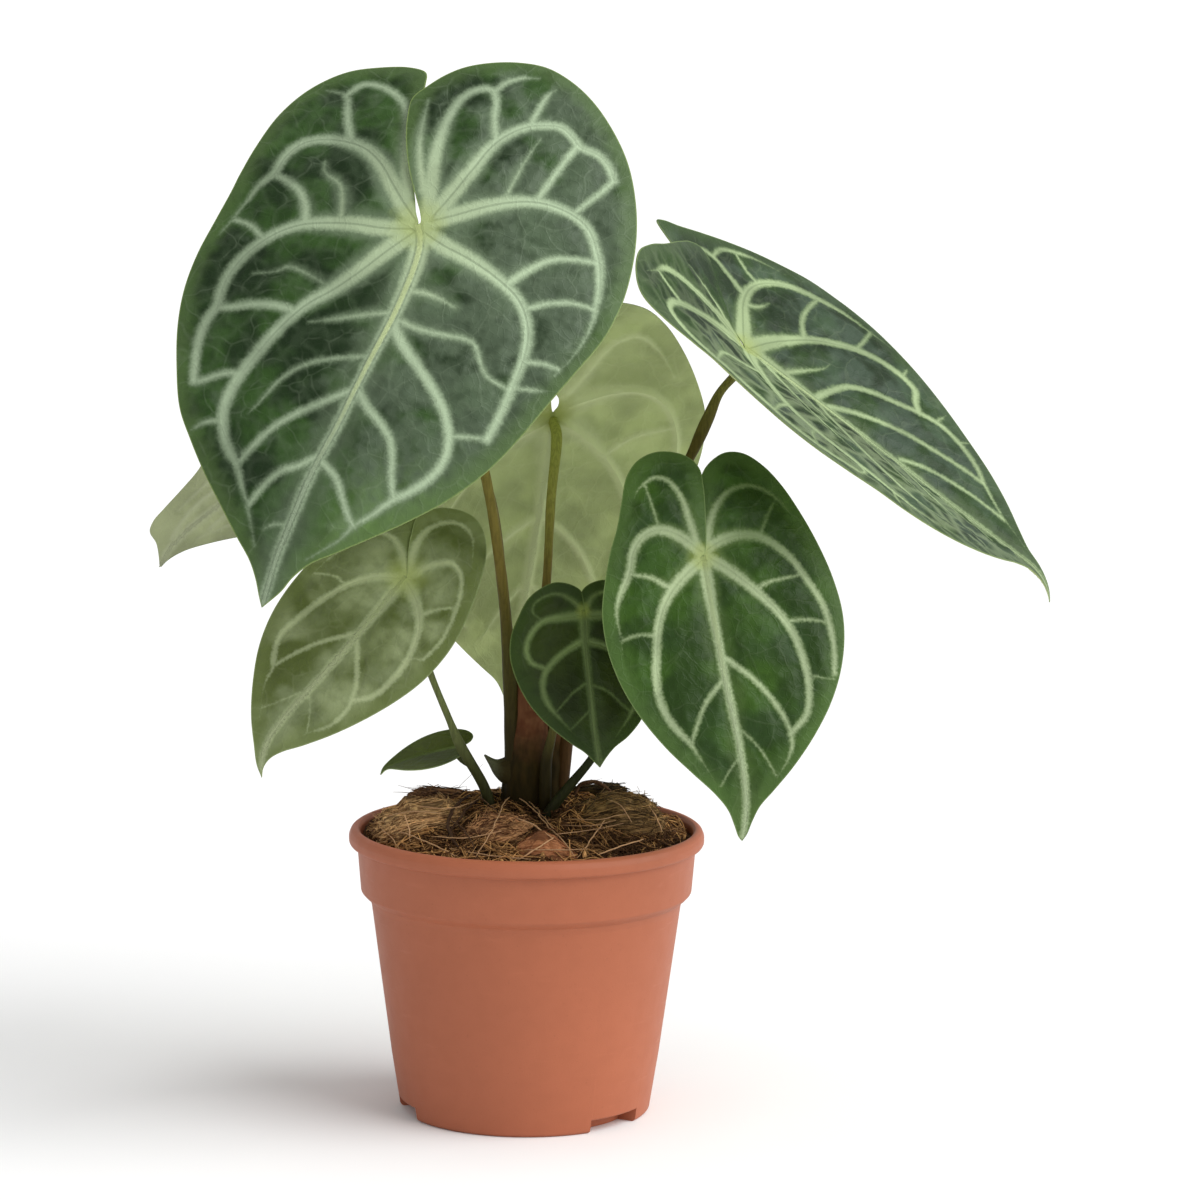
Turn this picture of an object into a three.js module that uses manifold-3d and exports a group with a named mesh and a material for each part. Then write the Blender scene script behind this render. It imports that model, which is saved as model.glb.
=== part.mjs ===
// Potted anthurium with silver-veined heart leaves, in a plastic nursery pot, standing on its base.
// Millimetres, +Z up, origin at the middle of the pot's base, front of the plant towards -Y.
import * as THREE from 'three';
import { mergeVertices } from 'three/addons/utils/BufferGeometryUtils.js';
import Module from 'manifold-3d';

const wasm = await Module();
wasm.setup();
const { Manifold } = wasm;
const RAD = Math.PI / 180;

// clearance between two pieces that touch
const GAP = 0.3;

// pot
const POT_HEIGHT = 97;
const RIM_RADIUS = 60;
const BASE_RADIUS = 42.4;
const FLOOR_THICKNESS = 2.2;
const POT_SEGMENTS = 40;
const POT_OUTSIDE = [
  [BASE_RADIUS - 0.9, 0], [BASE_RADIUS, 0.9], [45.4, 19.9], [49.2, 47.8], [52.3, 70.9], [53, 73],
  [54.6, 74.2], [55.9, 75.6], [57.2, 91], [59.5, 91.5], [RIM_RADIUS, 92.4], [RIM_RADIUS, 94.5],
  [59.3, 96.2], [58.2, POT_HEIGHT],
];
const POT_INSIDE = [
  [57, POT_HEIGHT], [56.1, 95.6], [55.6, 88.5], [54.3, 77], [50.8, 72], [47.6, 47.8],
  [43.8, 19.9], [40.8, FLOOR_THICKNESS],
];
// drainage: three arches cut in the foot, each with a higher step inside its front edge, under a
// raised pocket with a hole in its roof
const NOTCH_AZIMUTHS = [47, 167, 287];
const NOTCH_HALF_ANGLE = 15;
const NOTCH_HEIGHT = 4.4;
const NOTCH_DEPTH = 6.4;
const STEP_HALF_ANGLE = 11;
const STEP_HEIGHT = 5.2;
const STEP_DEPTH = 2.6;
const POCKET_WALL = 1.7;
const POCKET_HALF_ANGLE = 17.6;
const POCKET_BOTTOM = 0.2;
const POCKET_OUTER = BASE_RADIUS - 0.6;
const DRAIN_HOLE_RADIUS = 2.6;
const DRAIN_HOLE_SIDES = 12;
const OUTSIDE_POT = 50;
const NOTCH_STEPS = 8;

// soil: the mix, its top's radius, and the mulch with its height at the wall and in the middle
const MIX_TOP = 84;
const MIX_TOP_RADIUS = 54.4;
const WALL_CLEARANCE = 0.35;
const MULCH_EDGE = 93;
const MULCH_CROWN = 105;
const MULCH_RADIUS = 55.5;
const MULCH_LUMP = 1.3;
const MULCH_BOTTOM_RADIUS = 54;
const MULCH_RINGS = [11, 21, 30, 39, 48, MULCH_RADIUS];
const MULCH_SIDES = 28;
const MULCH_LIMIT = [[0, 70], [54.7, 70], [55.2, 88.5], [55.6, 95.6], [56.2, 125], [0, 125]];
const MULCH_SEED = 41;
// flakes: number, nearest and furthest from the middle, least and greatest half sizes, steepest lean
const MULCH_FLAKES = { number: 18, from: 12, to: 50, least: [4, 1.8, 1.1], most: [8.5, 3.4, 2], lean: 20 };
// fibres: number, nearest and furthest from the middle, length, sway to the side, and how much their
// middles stand up over their ends
const MULCH_FIBRES = { number: 14, from: 14, to: 44, length: [14, 30], sway: 2.5, hump: 1.2 };
const FIBRE_RADIUS = 0.55;
const FIBRE_LIMIT = 53;

// bigger pieces of husk: middle, half sizes, turn and lean in degrees, depth of the ridges, and how much
// the top and the back fall away towards both ends
const HUSK_CHIPS = {
  left: { at: [-36, -12, 99.2], size: [14.5, 12, 7], turn: 12, lean: [10, 12], rough: 1.3, peak: 0.25 },
  left_back: { at: [-28, 15, 101], size: [12, 7, 4.6], turn: -8, lean: [10, -8], rough: 1, peak: 0.2 },
  middle: { at: [-9, -30, 98.8], size: [11, 9, 6.6], turn: 20, lean: [24, 6], rough: 1.3, peak: 0.3 },
  angular: { at: [5.6, -43, 97.2], size: [12, 6.6, 6.8], turn: -6, lean: [34, 2], rough: 0.3, peak: 1 },
  right: { at: [30, -10, 101], size: [14.5, 12, 8], turn: 8, lean: [10, 4], rough: 1.1, peak: 0.3 },
  right_back: { at: [22, 21, 103.2], size: [12, 4.6, 3.8], turn: -14, lean: [6, 8], rough: 0.6, peak: 0.1 },
};

const CHIP_SQUARENESS = 0.62;

// short stem that carries the leaf stalks, and the dry sheath that points to the left
const STEM_PROFILE = [
  [0, 87], [6.4, 87], [8.2, 94], [8.6, 101], [8, 107], [7.7, 113], [7.9, 114.4], [7.4, 116],
  [7.1, 121], [6, 125.5], [3.4, 128.6], [0, 129.6],
];
const STEM_AXIS = [-0.6, 0.5];
const STEM_SIDES = 18;
const SHEATH = [[-3, -1, 115.6], [-8.6, -1.6, 117.6], [-11.6, -1.9, 119.4], [-14.6, -2, 122]];
const SHEATH_RADII = [3.6, 3.2, 1.6, 0.5];

// leaf stalks: points up to the swollen joint under the blade, and the radius at each
const STALK_SIDES = 7;
const STALKS = {
  large_left: {
    path: [[-4.6, -1.5, 106], [-4.9, -2.6, 122], [-5.4, -5, 141], [-8, -9.5, 176], [-13.4, -15.5, 214],
      [-22, -21.5, 251], [-29.5, -25.5, 283]],
    radii: [2.9, 2.7, 2.1, 1.8, 1.7, 1.7, 2],
    top: 2.3,
  },
  top_right: {
    path: [[9.9, 0.3, 95], [11.8, 0.9, 115], [14.9, 2, 140], [23.6, 3, 171], [40, 4, 200],
      [52.2, 5, 219.5], [59.4, 6, 235.2], [63.4, 7.4, 244]],
    radii: [2.7, 2.7, 2.2, 1.7, 1.5, 1.5, 2.1, 1.4],
    top: 1.6,
  },
  front_right: {
    path: [[4.6, -11.5, 99], [8.2, -10.6, 105], [14.6, -10.4, 113.4], [21.2, -11, 121.8],
      [36.5, -14, 147], [45.5, -18, 165], [52.4, -27, 181]],
    radii: [2.1, 1.9, 1.6, 1.4, 1.3, 1.3, 1.5],
    top: 1.7,
  },
  front_centre: {
    path: [[5.9, -6.6, 97], [6.4, -8, 111], [6.8, -9.2, 121.5], [8.4, -10.6, 130.5],
      [12.6, -15, 153]],
    radii: [1.4, 1.4, 1.3, 1.2, 1.2],
    top: 1.3,
  },
  lower_left: {
    path: [[-11.4, -7, 101], [-14, -8.6, 111.4], [-22.1, -12, 127.1], [-25.3, -12.4, 135.2],
      [-33, -12, 154.2], [-38.2, -9, 172]],
    radii: [2, 1.8, 2, 1.4, 1.4, 1.5],
    top: 1.6,
  },
  back_centre: {
    path: [[2.4, 2.4, 105], [2.2, 2.4, 120], [2.3, 2.6, 133], [4, 4, 157], [6, 7.6, 180],
      [7.2, 12.4, 207]],
    radii: [3, 2.9, 2.6, 1.8, 1.5, 1.6],
    top: 1.9,
  },
  back_left: {
    path: [[-4.2, 5.6, 104], [-4.6, 5.4, 118], [-5.2, 3.5, 140], [-7.9, 0, 174.5],
      [-13.4, -5.5, 212.5], [-24, -12, 231], [-43, -16, 240], [-62, 2, 240], [-72, 34, 231]],
    radii: [1.8, 1.7, 1.5, 1.3, 1.3, 1.3, 1.3, 1.3, 1.4],
    top: 1.5,
  },
  young: {
    path: [[-11, 1, 99], [-13, 1.6, 107.5], [-17.4, 2.6, 115.5]],
    radii: [1.2, 1.1, 0.9],
    top: 0.9,
  },
};

// joint under a blade: how far it stands below, and how far it leans back along the stalk
const JOINT_DROP = 4.2;
const JOINT_LEAN = 2.4;

// leaf blades
const BLADE_THICKNESS = 0.8;
const PANEL_RISE = 0.9;
const PANEL_REACH = 7;
const RIB_DEPTH = 0.35;
const RIB_PER_WIDTH = 0.22;
const MIDRIB_WIDTH = 3.4;
const BLADE_DETAIL = {
  large_left: [7, 8.6, 8.6],
  top_right: [6.4, 8, 8.2],
  front_right: [5.4, 6.6, 7],
  front_centre: [4, 5, 5.4],
  lower_left: [5, 6.4, 7],
  back_centre: [6.6, 8.6, 9],
  back_left: [5, 7.5, 7.5],
  young: [3, 4, 4.4],
};

// colours of the plain solids
const COLOURS = {
  pot: 0xb4694b,
  mix: 0x2a1c14,
  mulch: 0x6b4423,
  husk: 0x8a5a2f,
  stem: 0x3b2f1c,
  stalk: 0x6f7d45,
  leaf: 0x4f6b48,
  underside: 0x7d8c52,
};

// Blades are drawn flat, x across and y from the stalk to the tip, seen from the upper face with the
// tip down. left and right are the margins from the notch between the lobes round to the tip, mid is
// the midrib, and each vein has its side, its width and its points.
// A blade hangs from attach to tip in space: roll turns it about that line, bend and back are how far
// the midrib curves down before the tip and behind the stalk, fold and curl raise and roll each side,
// lift raises a lobe over its neighbour out to reach, and drip curls the last of the tip, per mm.
// A blade with flip is turned over: its ribs and its stalk are on the face drawn here.
const LEAVES = {
  large_left: {
    attach: [-36.2, -35, 302.8],
    tip: [-83.9, -78, 183.4],
    roll: 33,
    bend: 26,
    back: 25,
    half: 75,
    fold: [0, 0],
    curl: [-14, -14],
    lift: [0, 0.1],
    reach: 22,
    left: [0, -0.5, -2.5, -4, -4.6, -8, -9, -16, -14, -26, -18, -37, -20.5, -47, -22, -54, -24, -58.5,
      -30, -59, -40, -56, -50, -51, -59, -41, -64.5, -28, -66.5, -13, -67, 2, -68, 17, -68.7, 31,
      -67.5, 44, -64, 57, -58, 71, -51, 84, -43, 93, -34, 102, -25, 110, -16, 118, -9, 124, -5, 129,
      -2, 134, 0, 137],
    right: [0.6, -0.7, -1, -4, -3.4, -8, -9, -17, -14, -27, -18, -37, -20, -45, -18.6, -51,
      -16.5, -57.5, -12, -63, -5, -68, 4, -72, 13, -73.7, 22, -72, 32, -67.5, 43, -59.5, 53, -49.5,
      61, -37.5, 67, -24.5, 71, -10, 72.6, 3, 72, 16, 68.7, 29, 64.5, 43, 60, 58, 54, 72.5, 45.5, 85.5,
      36, 96, 27, 104.5, 18, 112.5, 10.5, 119, 6.5, 125, 4.5, 130, 0, 137],
    mid: [0, 0, 3.5, 6, 5.3, 14, 6, 25, 6, 35, 5, 48, 4, 62, 3, 75, 1.5, 86, 0.5, 96, 0, 108, -0.5, 120,
      0, 137],
    veins: [
      ['l', 3.2, [0, 0, -8, -6, -15, -12, -22, -18, -30, -22, -38, -22.5, -46, -21, -51.5, -17.5,
        -54.5, -11, -55, -4, -58, 1, -60, 8, -62, 15, -64, 22]],
      ['l', 1.8, [-35, -23, -39.5, -30, -42, -35, -45.5, -41, -53, -41.5]],
      ['l', 1.8, [-8, -9, -13, -20, -17.5, -30, -20, -36, -23, -41, -28, -45.5, -36, -48, -42, -47,
        -45.5, -41]],
      ['l', 3.2, [0, 2, -10, 5, -20, 6.5, -30, 9, -37, 11.5, -43, 15.5, -48, 21, -52, 28, -54, 35,
        -54, 42, -53, 47, -54.5, 53, -54, 61, -52, 68, -50, 74]],
      ['l', 1.8, [-36, 11, -39.5, 4, -43.5, 0, -49, -2.5, -55, -4]],
      ['l', 1.4, [-48, 20, -54, 16.5, -61, 15.5]],
      ['l', 0.8, [-20, 30, -28, 28, -35, 27.5, -38, 30, -46, 33]],
      ['l', 0.8, [-25, 7, -27, 1, -31, -6, -38, -9, -40, -13]],
      ['l', 3.6, [0, 3, -6, 13, -11, 22, -17, 31, -23, 38, -27, 45, -30, 52, -33, 61, -35.5, 70,
        -36, 79, -34, 85, -30, 91, -24, 96.5, -20, 102, -15.5, 108, -12, 114, -9, 119]],
      ['l', 2.2, [-25, 42, -32, 41.5, -40, 43, -46, 45.5, -53, 48]],
      ['l', 1.6, [-35, 67, -41, 69, -47, 73, -50, 74.5]],
      ['l', 1.2, [-35, 84, -40, 86, -44, 90]],
      ['l', 1.1, [4, 49, -5, 52.5, -13, 56.5, -18, 61, -21.5, 66, -25, 75, -27, 79]],
      ['l', 1.6, [3.5, 61, -5, 68.5, -11, 74, -16, 79.5, -20, 86, -24, 95.5]],
      ['l', 1.6, [1, 85, -4, 90, -9, 93.5, -12.5, 99, -15.5, 107]],
      ['l', 1, [4, 33, -5, 37, -12, 40.5, -20, 44]],
      ['l', 0.9, [0, 109, -5, 110.5, -8, 113]],
      ['r', 3, [3, -3, 6, -13, 8.5, -24, 10.5, -35, 13, -41, 17, -46.5, 22, -50, 28, -52, 33, -50,
        37, -47.5, 43, -47.5, 48, -45, 52, -40.5]],
      ['r', 2.2, [2, -4, -1, -13, -4.5, -24, -6.5, -33, -7.5, -43, -6.5, -51, -3, -56, 1, -57, 4, -53.5,
        6.5, -47, 11, -38]],
      ['r', 1.1, [-3, -12, -9, -22, -13, -31, -15, -38, -17, -46]],
      ['r', 1.5, [2, -57, 4, -62, 8, -66, 13, -68]],
      ['r', 1.5, [18.5, -47.5, 18.5, -56, 18.5, -62, 20, -66]],
      ['r', 1.8, [36, -48, 35, -42, 34, -34, 32.5, -21.5]],
      ['r', 1.6, [52, -40.5, 50, -34, 47.5, -28, 45, -22]],
      ['r', 0.8, [24, -45, 23, -34, 23, -18]],
      ['r', 3, [3, -2, 10, -7, 17, -12.5, 24, -17.5, 31, -21, 38, -22.5, 46, -22, 52, -19.5,
        56.5, -14.5, 60, -9.5, 63, -3, 65, 4, 66.5, 11, 66.5, 19, 65, 27, 62.5, 34]],
      ['r', 3.2, [2, 2, 11, 4.5, 20, 6, 28, 8, 35, 10.5, 41, 13.5, 46, 18.5, 49.5, 25, 51, 32, 51.5, 42,
        51.5, 52, 50.5, 62]],
      ['r', 1.8, [36, 10, 41, 1.5, 45, -3.5, 50, -6.5, 60, -9.5]],
      ['r', 1.5, [44.5, 16.5, 50, 12, 55, 9, 60, 7.5, 65.5, 7]],
      ['r', 1.4, [51.5, 33.5, 58, 31.5, 63, 31.5]],
      ['r', 1.2, [51.5, 43, 57, 41.5, 62, 40]],
      ['r', 2.6, [6, 35, 12, 41, 19, 46, 26, 51, 33, 57, 37.5, 63, 39.7, 69, 39.8, 75, 37.5, 81, 33, 87,
        29, 91, 25, 97, 20, 103, 17.5, 108, 13, 113.5, 9, 118]],
      ['r', 1.3, [6, 34, 15, 35, 25, 34, 33, 33, 36, 35, 39, 39, 43, 42.5, 51, 44]],
      ['r', 1, [6, 24, 14, 22.5, 24, 24]],
      ['r', 1.3, [39.5, 65, 46, 63, 51, 62]],
      ['r', 2, [4.3, 60, 10, 65, 16, 68.5, 21, 72.5, 24, 78, 26, 84, 29.5, 91]],
      ['r', 1.6, [1.5, 86, 9, 90, 13, 95, 17, 100, 20, 103]],
    ],
  },
  top_right: {
    attach: [71.7, 10, 258.9],
    tip: [166.9, -4, 189.8],
    roll: -15,
    bend: 4,
    back: -20,
    drip: 3,
    half: 50,
    fold: [17, 14],
    curl: [-8, -8],
    lobeFold: [-6, -2],
    lift: [0.42, 0.2],
    left: [0, -0.5, 0.8, -4, 4, -8, 12, -13, 18, -20, 20.5, -27, 18, -33.5, 10, -37.5, -4, -40,
      -19, -42.5, -33, -46, -45, -47, -55.5, -42.5, -61, -36, -60, -25, -57, -13, -54, -3, -54, 7,
      -58, 18, -61, 29, -62, 41, -60.5, 53, -58, 64, -57, 74, -54, 84, -48, 94, -39, 103, -28, 110,
      -17, 115, -9, 120, -4, 126, -1, 132, 0, 135],
    right: [0.9, -0.8, 2.2, -5, 4.5, -12, 7, -22, 8.5, -34, 8.5, -45, 9.5, -51, 13, -49.5, 19, -44.3,
      28.5, -36.8, 38, -28.4, 46.8, -18.6, 53.5, -7.8, 58, 3, 59, 15, 57.5, 28, 54, 40, 49, 52, 42, 65,
      34, 78, 26, 90.5, 18, 101, 10, 110, 4.5, 117, 2, 124, 0.8, 131, 0, 135],
    mid: [0, 0, -0.6, 12, -1.3, 26, -2, 40, -2.6, 54, -3, 68, -3.2, 82, -3, 96, -2.4, 108, -1.4, 118,
      -0.6, 127, 0, 135],
    veins: [
      ['l', 2.6, [0, -1, -7, -13, -15, -23, -24, -32, -32, -37, -40, -38.5, -48, -41]],
      ['l', 1.2, [-1, -5, -1, -16, -4, -26, -9, -35]],
      ['l', 2.6, [-1, 0, -14, -9, -26, -17, -37, -24, -44, -27, -50, -26, -53, -17, -52, -6, -50, 4,
        -53, 16, -57, 28, -57.5, 42, -54, 55]],
      ['l', 1.6, [-37, -24, -37.5, -31, -38, -38]],
      ['l', 2.8, [0, 1, -14, 5, -26, 12, -36, 20, -42, 28, -45, 38, -46, 50, -47, 62, -48, 74, -46, 86,
        -38, 97, -28, 104]],
      ['l', 1.6, [-24, 10, -30, 3, -38, -3, -50, -3]],
      ['l', 1.5, [-39, 24, -48, 22, -55, 22]],
      ['l', 1.5, [-46, 52, -50, 57, -54, 56]],
      ['l', 2.2, [0, 30, -10, 35, -19, 44, -27, 54, -33, 64, -37, 74, -36, 84, -31, 94]],
      ['l', 1.6, [0, 62, -8, 70, -15, 79, -20, 89, -24, 98]],
      ['l', 1.3, [0, 88, -6, 95, -11, 103, -15, 109]],
      ['r', 2.8, [1, -1, 10, -6, 18, -10, 26, -11.5, 34, -10, 41, -6, 46, -1, 49.5, 5, 52, 12, 53.5, 20,
        53.5, 29, 53, 38, 51, 46]],
      ['r', 1.6, [22, -11, 23.5, -20, 24, -28, 20, -35, 14, -40]],
      ['r', 1.4, [24, -28.5, 31, -28, 38, -23, 45, -15, 50, -5]],
      ['r', 1.4, [33, -10.5, 34, -17, 37, -23.5]],
      ['r', 1, [18, -9.5, 23, -5, 29, -3]],
      ['r', 3, [1, 1, 10, 5, 19, 10.5, 27, 16.5, 33, 23, 38, 30, 41, 38, 41.5, 46, 39, 54, 33, 56.5,
        28.5, 60]],
      ['r', 1.6, [24.5, 13.5, 32, 9.5, 40, 8.2, 50, 8.8]],
      ['r', 1.4, [37, 29.5, 45, 30, 53.3, 30]],
      ['r', 1.2, [41, 48, 48, 47.5]],
      ['r', 2, [0, 29, 9, 32, 16, 35.5, 21.5, 42.5, 25, 51, 29, 60.5, 30.5, 69, 28, 78, 23.5, 86,
        18, 91.5, 13, 98, 9, 104.5, 6, 111, 3, 118]],
      ['r', 1, [0, 15, 8, 20, 16, 25, 23, 26]],
      ['r', 1.8, [0, 34, 5.5, 42, 10, 50.5, 14, 62, 16, 73, 17.5, 83, 18, 91]],
      ['r', 1.5, [0, 64, 4.5, 72, 7, 82, 8.5, 92, 8.7, 104]],
      ['r', 1.2, [30, 66, 38, 67.5]],
      ['r', 1.1, [28.5, 76, 33, 80]],
    ],
  },
  front_right: {
    attach: [57.4, -45, 196.4],
    tip: [70.6, -70, 107.7],
    roll: -20,
    bend: 25,
    back: 30,
    half: 42,
    fold: [4, 4],
    curl: [-14, -14],
    lift: [0.1, 0],
    reach: 18,
    left: [0, -0.5, 1.2, -3.5, 3, -9, 4.3, -16, 4.9, -24, 4, -31, 1, -35.5, -4, -38, -10, -38.5,
      -16, -36, -20.5, -30.5, -23.5, -22, -26.5, -13, -30, -5, -33, 4, -35.5, 14, -36, 24, -34.8, 33,
      -32, 42.5, -27.5, 52, -21, 62, -13.5, 71, -7, 78.5, -3.5, 84, -2, 89, -1, 93, 0, 94.5],
    right: [0.9, -0.8, 2.4, -4, 4.4, -9, 5.6, -16, 5.9, -24, 6.8, -30, 9.5, -34.5, 14, -36.5,
      19.5, -35.5, 25, -30.5, 30, -22.5, 34.5, -12, 38.5, -0.5, 41.5, 11, 43, 23, 42.2, 33, 39.3, 43.5,
      34.5, 53.5, 27.5, 63.5, 19.5, 72.5, 12, 79.5, 7, 84, 4, 88.5, 1.8, 92.5, 0, 94.5],
    mid: [0, 0, 0, 10, 0.1, 20, 0.5, 31, 1, 42, 1.8, 52, 2.6, 62, 3, 72, 2.8, 81, 1.5, 89, 0, 94.5],
    veins: [
      ['l', 3.2, [0, -1, -4.5, -5.5, -9, -9, -14, -10.5, -19, -8.7, -22.7, -4, -24.4, 1.5, -26, 5,
        -29, 10, -31, 16, -30.8, 24, -31, 33, -29, 42]],
      ['l', 1.8, [-1, -2, -2.5, -12, -4, -21, -7, -27, -11, -29, -15.5, -27, -19, -23, -21, -17]],
      ['l', 1.2, [-15, -27, -14, -20, -13, -12]],
      ['l', 3.2, [0, 1, -6, 5, -11.5, 10, -15.5, 15.5, -18.3, 22, -20.2, 31, -21.4, 39, -21.2, 46,
        -19.4, 52, -16, 57.5, -13, 61.5, -11, 65.5, -8.5, 70.5, -6, 76, -4.5, 81]],
      ['l', 1.6, [-13.5, 9, -18, 5.5, -24.5, 3.5]],
      ['l', 1.5, [-19.5, 25, -25, 24, -30.7, 25]],
      ['l', 1.8, [0.8, 41.5, -4, 46, -7, 49.5, -9.7, 54.5, -12.7, 61]],
      ['l', 1.2, [1.5, 68, -2, 72, -5, 76]],
      ['r', 3, [1, -2, 5, -4, 10, -5.5, 15, -5.6, 19, -4.6, 23, -2, 26.5, 1.5, 29.5, 5.5, 32, 10.5,
        35, 16.5, 37.3, 23, 38.2, 31, 38, 38, 37, 44]],
      ['r', 1.8, [2, -4, 4.5, -12, 8.5, -18.5, 14, -22.5, 21, -22.5, 27.5, -17.5, 32, -10, 35, -1]],
      ['r', 1.2, [20.5, -6, 24, -12.5, 27.5, -17.5]],
      ['r', 3.2, [1, 0.5, 6.5, 5, 11.5, 10, 16, 15, 20, 20, 23.5, 25.5, 25.8, 31, 27.2, 37.5, 28, 44,
        27.5, 51, 25.8, 56.5, 22.5, 59.7, 19.8, 62]],
      ['r', 1.5, [15.5, 13.8, 19, 11.8, 25, 10.8, 32, 9.8]],
      ['r', 1.5, [23.5, 25.3, 29, 25.2, 34, 26, 37.8, 27.3]],
      ['r', 1.2, [28, 43.5, 33, 45, 37, 46]],
      ['r', 2, [0.8, 34, 5, 37.8, 9, 41.6, 12.5, 46, 16, 51.5, 18.6, 57, 20, 63, 18.8, 68.5, 16, 72.5,
        12.5, 77, 9, 81]],
      ['r', 1.3, [2.2, 57, 6.5, 61.8, 10, 67, 13.3, 74.5]],
    ],
  },
  front_centre: {
    attach: [18.7, -22, 174.3],
    tip: [24.5, -38, 125.2],
    roll: -12,
    bend: 20,
    back: 30,
    half: 24,
    fold: [4, 4],
    curl: [-14, -14],
    lift: [0, 0],
    left: [-0.1, -0.4, -0.9, -3, -1.3, -7, -3.5, -9.8, -8, -11, -13, -9.5, -18, -6, -22, 0, -25, 6,
      -26.2, 13, -25.3, 20, -22.5, 28, -18.5, 34.5, -13.5, 40, -8.5, 44.5, -4.6, 47.5, -2, 50.5, 0, 52.8],
    right: [0.6, -0.6, 0.6, -3, 0.5, -7, 3, -9.4, 8, -10.5, 14, -9, 19, -4.5, 22.5, 2, 24.3, 9, 24, 17,
      22, 25.5, 18.5, 33, 14.5, 39, 10, 43.5, 5.5, 46.5, 2.5, 49.5, 0, 52.8],
    mid: [0, 0, -0.8, 8, -1, 18, -1, 28, -0.9, 38, -0.5, 46, 0, 52.8],
    veins: [
      ['l', 1.1, [-1, -1, -4, -4.5, -8, -6.7, -12, -6.3, -16, -4, -17, -1, -14.5, 2]],
      ['l', 1.9, [-0.5, 1.5, -8, 1.8, -14, 2.5, -18, 6, -20.5, 11, -19.5, 16, -15, 18.5]],
      ['l', 1.9, [-0.8, 10, -7, 13, -12, 16.5, -15.5, 20.5, -16.5, 26, -15, 31, -12, 35.5, -8.5, 40,
        -4, 45]],
      ['l', 1.1, [-1, 24, -6, 27, -10, 30.5, -13.5, 34]],
      ['l', 1, [-1, 33, -5, 36.5, -8.5, 39.5]],
      ['r', 1.1, [1, -1, 3.5, -4.7, 8, -6.2, 13, -5, 15.5, -1.5, 14, 2.5]],
      ['r', 1.9, [0.5, 1.8, 7, 2, 13, 2.5, 17, 6, 19.2, 11, 18, 16, 14, 18.5]],
      ['r', 1.9, [-0.8, 10.5, 5, 12.5, 10, 15.5, 14, 20, 15.5, 26, 14, 32, 11, 37, 7, 42, 3, 46.5]],
      ['r', 1.1, [-1, 25, 5, 28, 9, 32.5, 12, 35.5]],
    ],
  },
  lower_left: {
    attach: [-40.9, -12, 183.6],
    tip: [-87, -35, 120.5],
    roll: 50,
    bend: 14,
    back: 30,
    half: 32,
    fold: [4, 4],
    curl: [-14, -14],
    lift: [0, 0.14],
    reach: 14,
    left: [-0.2, -0.5, -1.6, -3.5, -4, -8, -6.5, -14, -9, -20, -13, -24, -18, -23, -23, -17, -26.5, -8,
      -28.5, 3, -30, 14, -30.5, 26, -29.5, 36, -26.5, 46.5, -21, 57.5, -14.5, 67.5, -8, 75, -3.5, 79.8,
      0.5, 82.5],
    right: [0.6, -0.7, -0.8, -3.5, -4, -8, -7, -13.5, -8, -19, -5.5, -25.5, -0.5, -29.5, 6, -30.5,
      12.5, -27.5, 18, -21, 22, -12, 25, -2, 27, 8, 27.3, 17, 26, 27, 23, 36.5, 18.5, 46.5, 12.5, 57,
      6, 66, 1, 72, -1, 76, -1, 79.5, 0.5, 82.5],
    mid: [0, 0, -0.2, 10, -0.8, 21, -1.5, 32, -2.4, 42, -3.6, 51, -4.8, 61, -5.2, 68, -4.2, 74, -2, 79,
      0.5, 82.5],
    veins: [
      ['l', 1.4, [0, -1, -7, -7, -13, -9, -19, -6, -23, 3, -26, 14, -26, 26]],
      ['l', 2, [-0.5, 1, -8, 5.5, -14, 13, -18, 22, -21, 32, -22.5, 40, -20.5, 46, -18, 50, -17, 56,
        -14, 62.5, -9.5, 70]],
      ['l', 1.2, [-14.5, 14, -19, 13, -26, 16]],
      ['l', 1.5, [-2.4, 26, -9, 33.5, -14, 41, -18, 49.5]],
      ['l', 1, [-4.5, 51, -8.5, 57, -13, 63.5]],
      ['r', 1.6, [0, -2, -3, -9, -4, -16, -1.5, -22, 4, -25.5, 10, -24, 14, -19, 18, -12]],
      ['r', 1.5, [1, -1, 5.5, -8.5, 10.5, -12.5, 15.5, -10.5, 19.5, -4, 22, 4, 23.2, 12, 22, 20]],
      ['r', 2.3, [0.5, 1, 8, 5, 13.5, 10.5, 16.7, 17.5, 18, 25.5, 17.5, 33.5, 15.5, 40, 11.5, 44]],
      ['r', 1.2, [12, 8.5, 16, 3, 20.5, -1]],
      ['r', 1, [18, 22, 22.5, 20]],
      ['r', 1.6, [-2.2, 24, 4, 32.5, 9, 40, 11.2, 48, 9.5, 56, 5, 61.5, 2, 67]],
      ['r', 1, [-4, 49, 1, 55, 4.5, 61.5]],
    ],
  },
  back_centre: {
    attach: [7.5, 24, 235.1],
    tip: [-8.8, 60, 132.2],
    roll: 0,
    bend: 20,
    back: 20,
    half: 50,
    fold: [0, 0],
    curl: [-8, -8],
    lift: [0, 0],
    left: [-0.2, -0.5, -1.6, -6, -3, -14, -4.5, -26, -6, -38, -9, -46, -14, -48.5, -21, -46, -31, -38.5,
      -41, -26.5, -49.5, -13, -55.5, 0, -58, 14, -57, 30, -53, 46, -46.5, 61.5, -38, 75.5, -28, 87.5,
      -17, 98, -8, 105, -3.5, 110, -1, 116],
    right: [0.6, -0.7, 2.5, -7, 4, -15, 5.5, -27, 8, -39, 13, -46.5, 20, -46.5, 30, -41, 40.5, -31.5,
      49, -18.5, 54.5, -3, 56.5, 13, 55, 28, 51, 43, 45, 57, 37.5, 69.5, 29, 81, 20, 91, 10.5, 100,
      4, 106, 1, 111, -1, 116],
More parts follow.
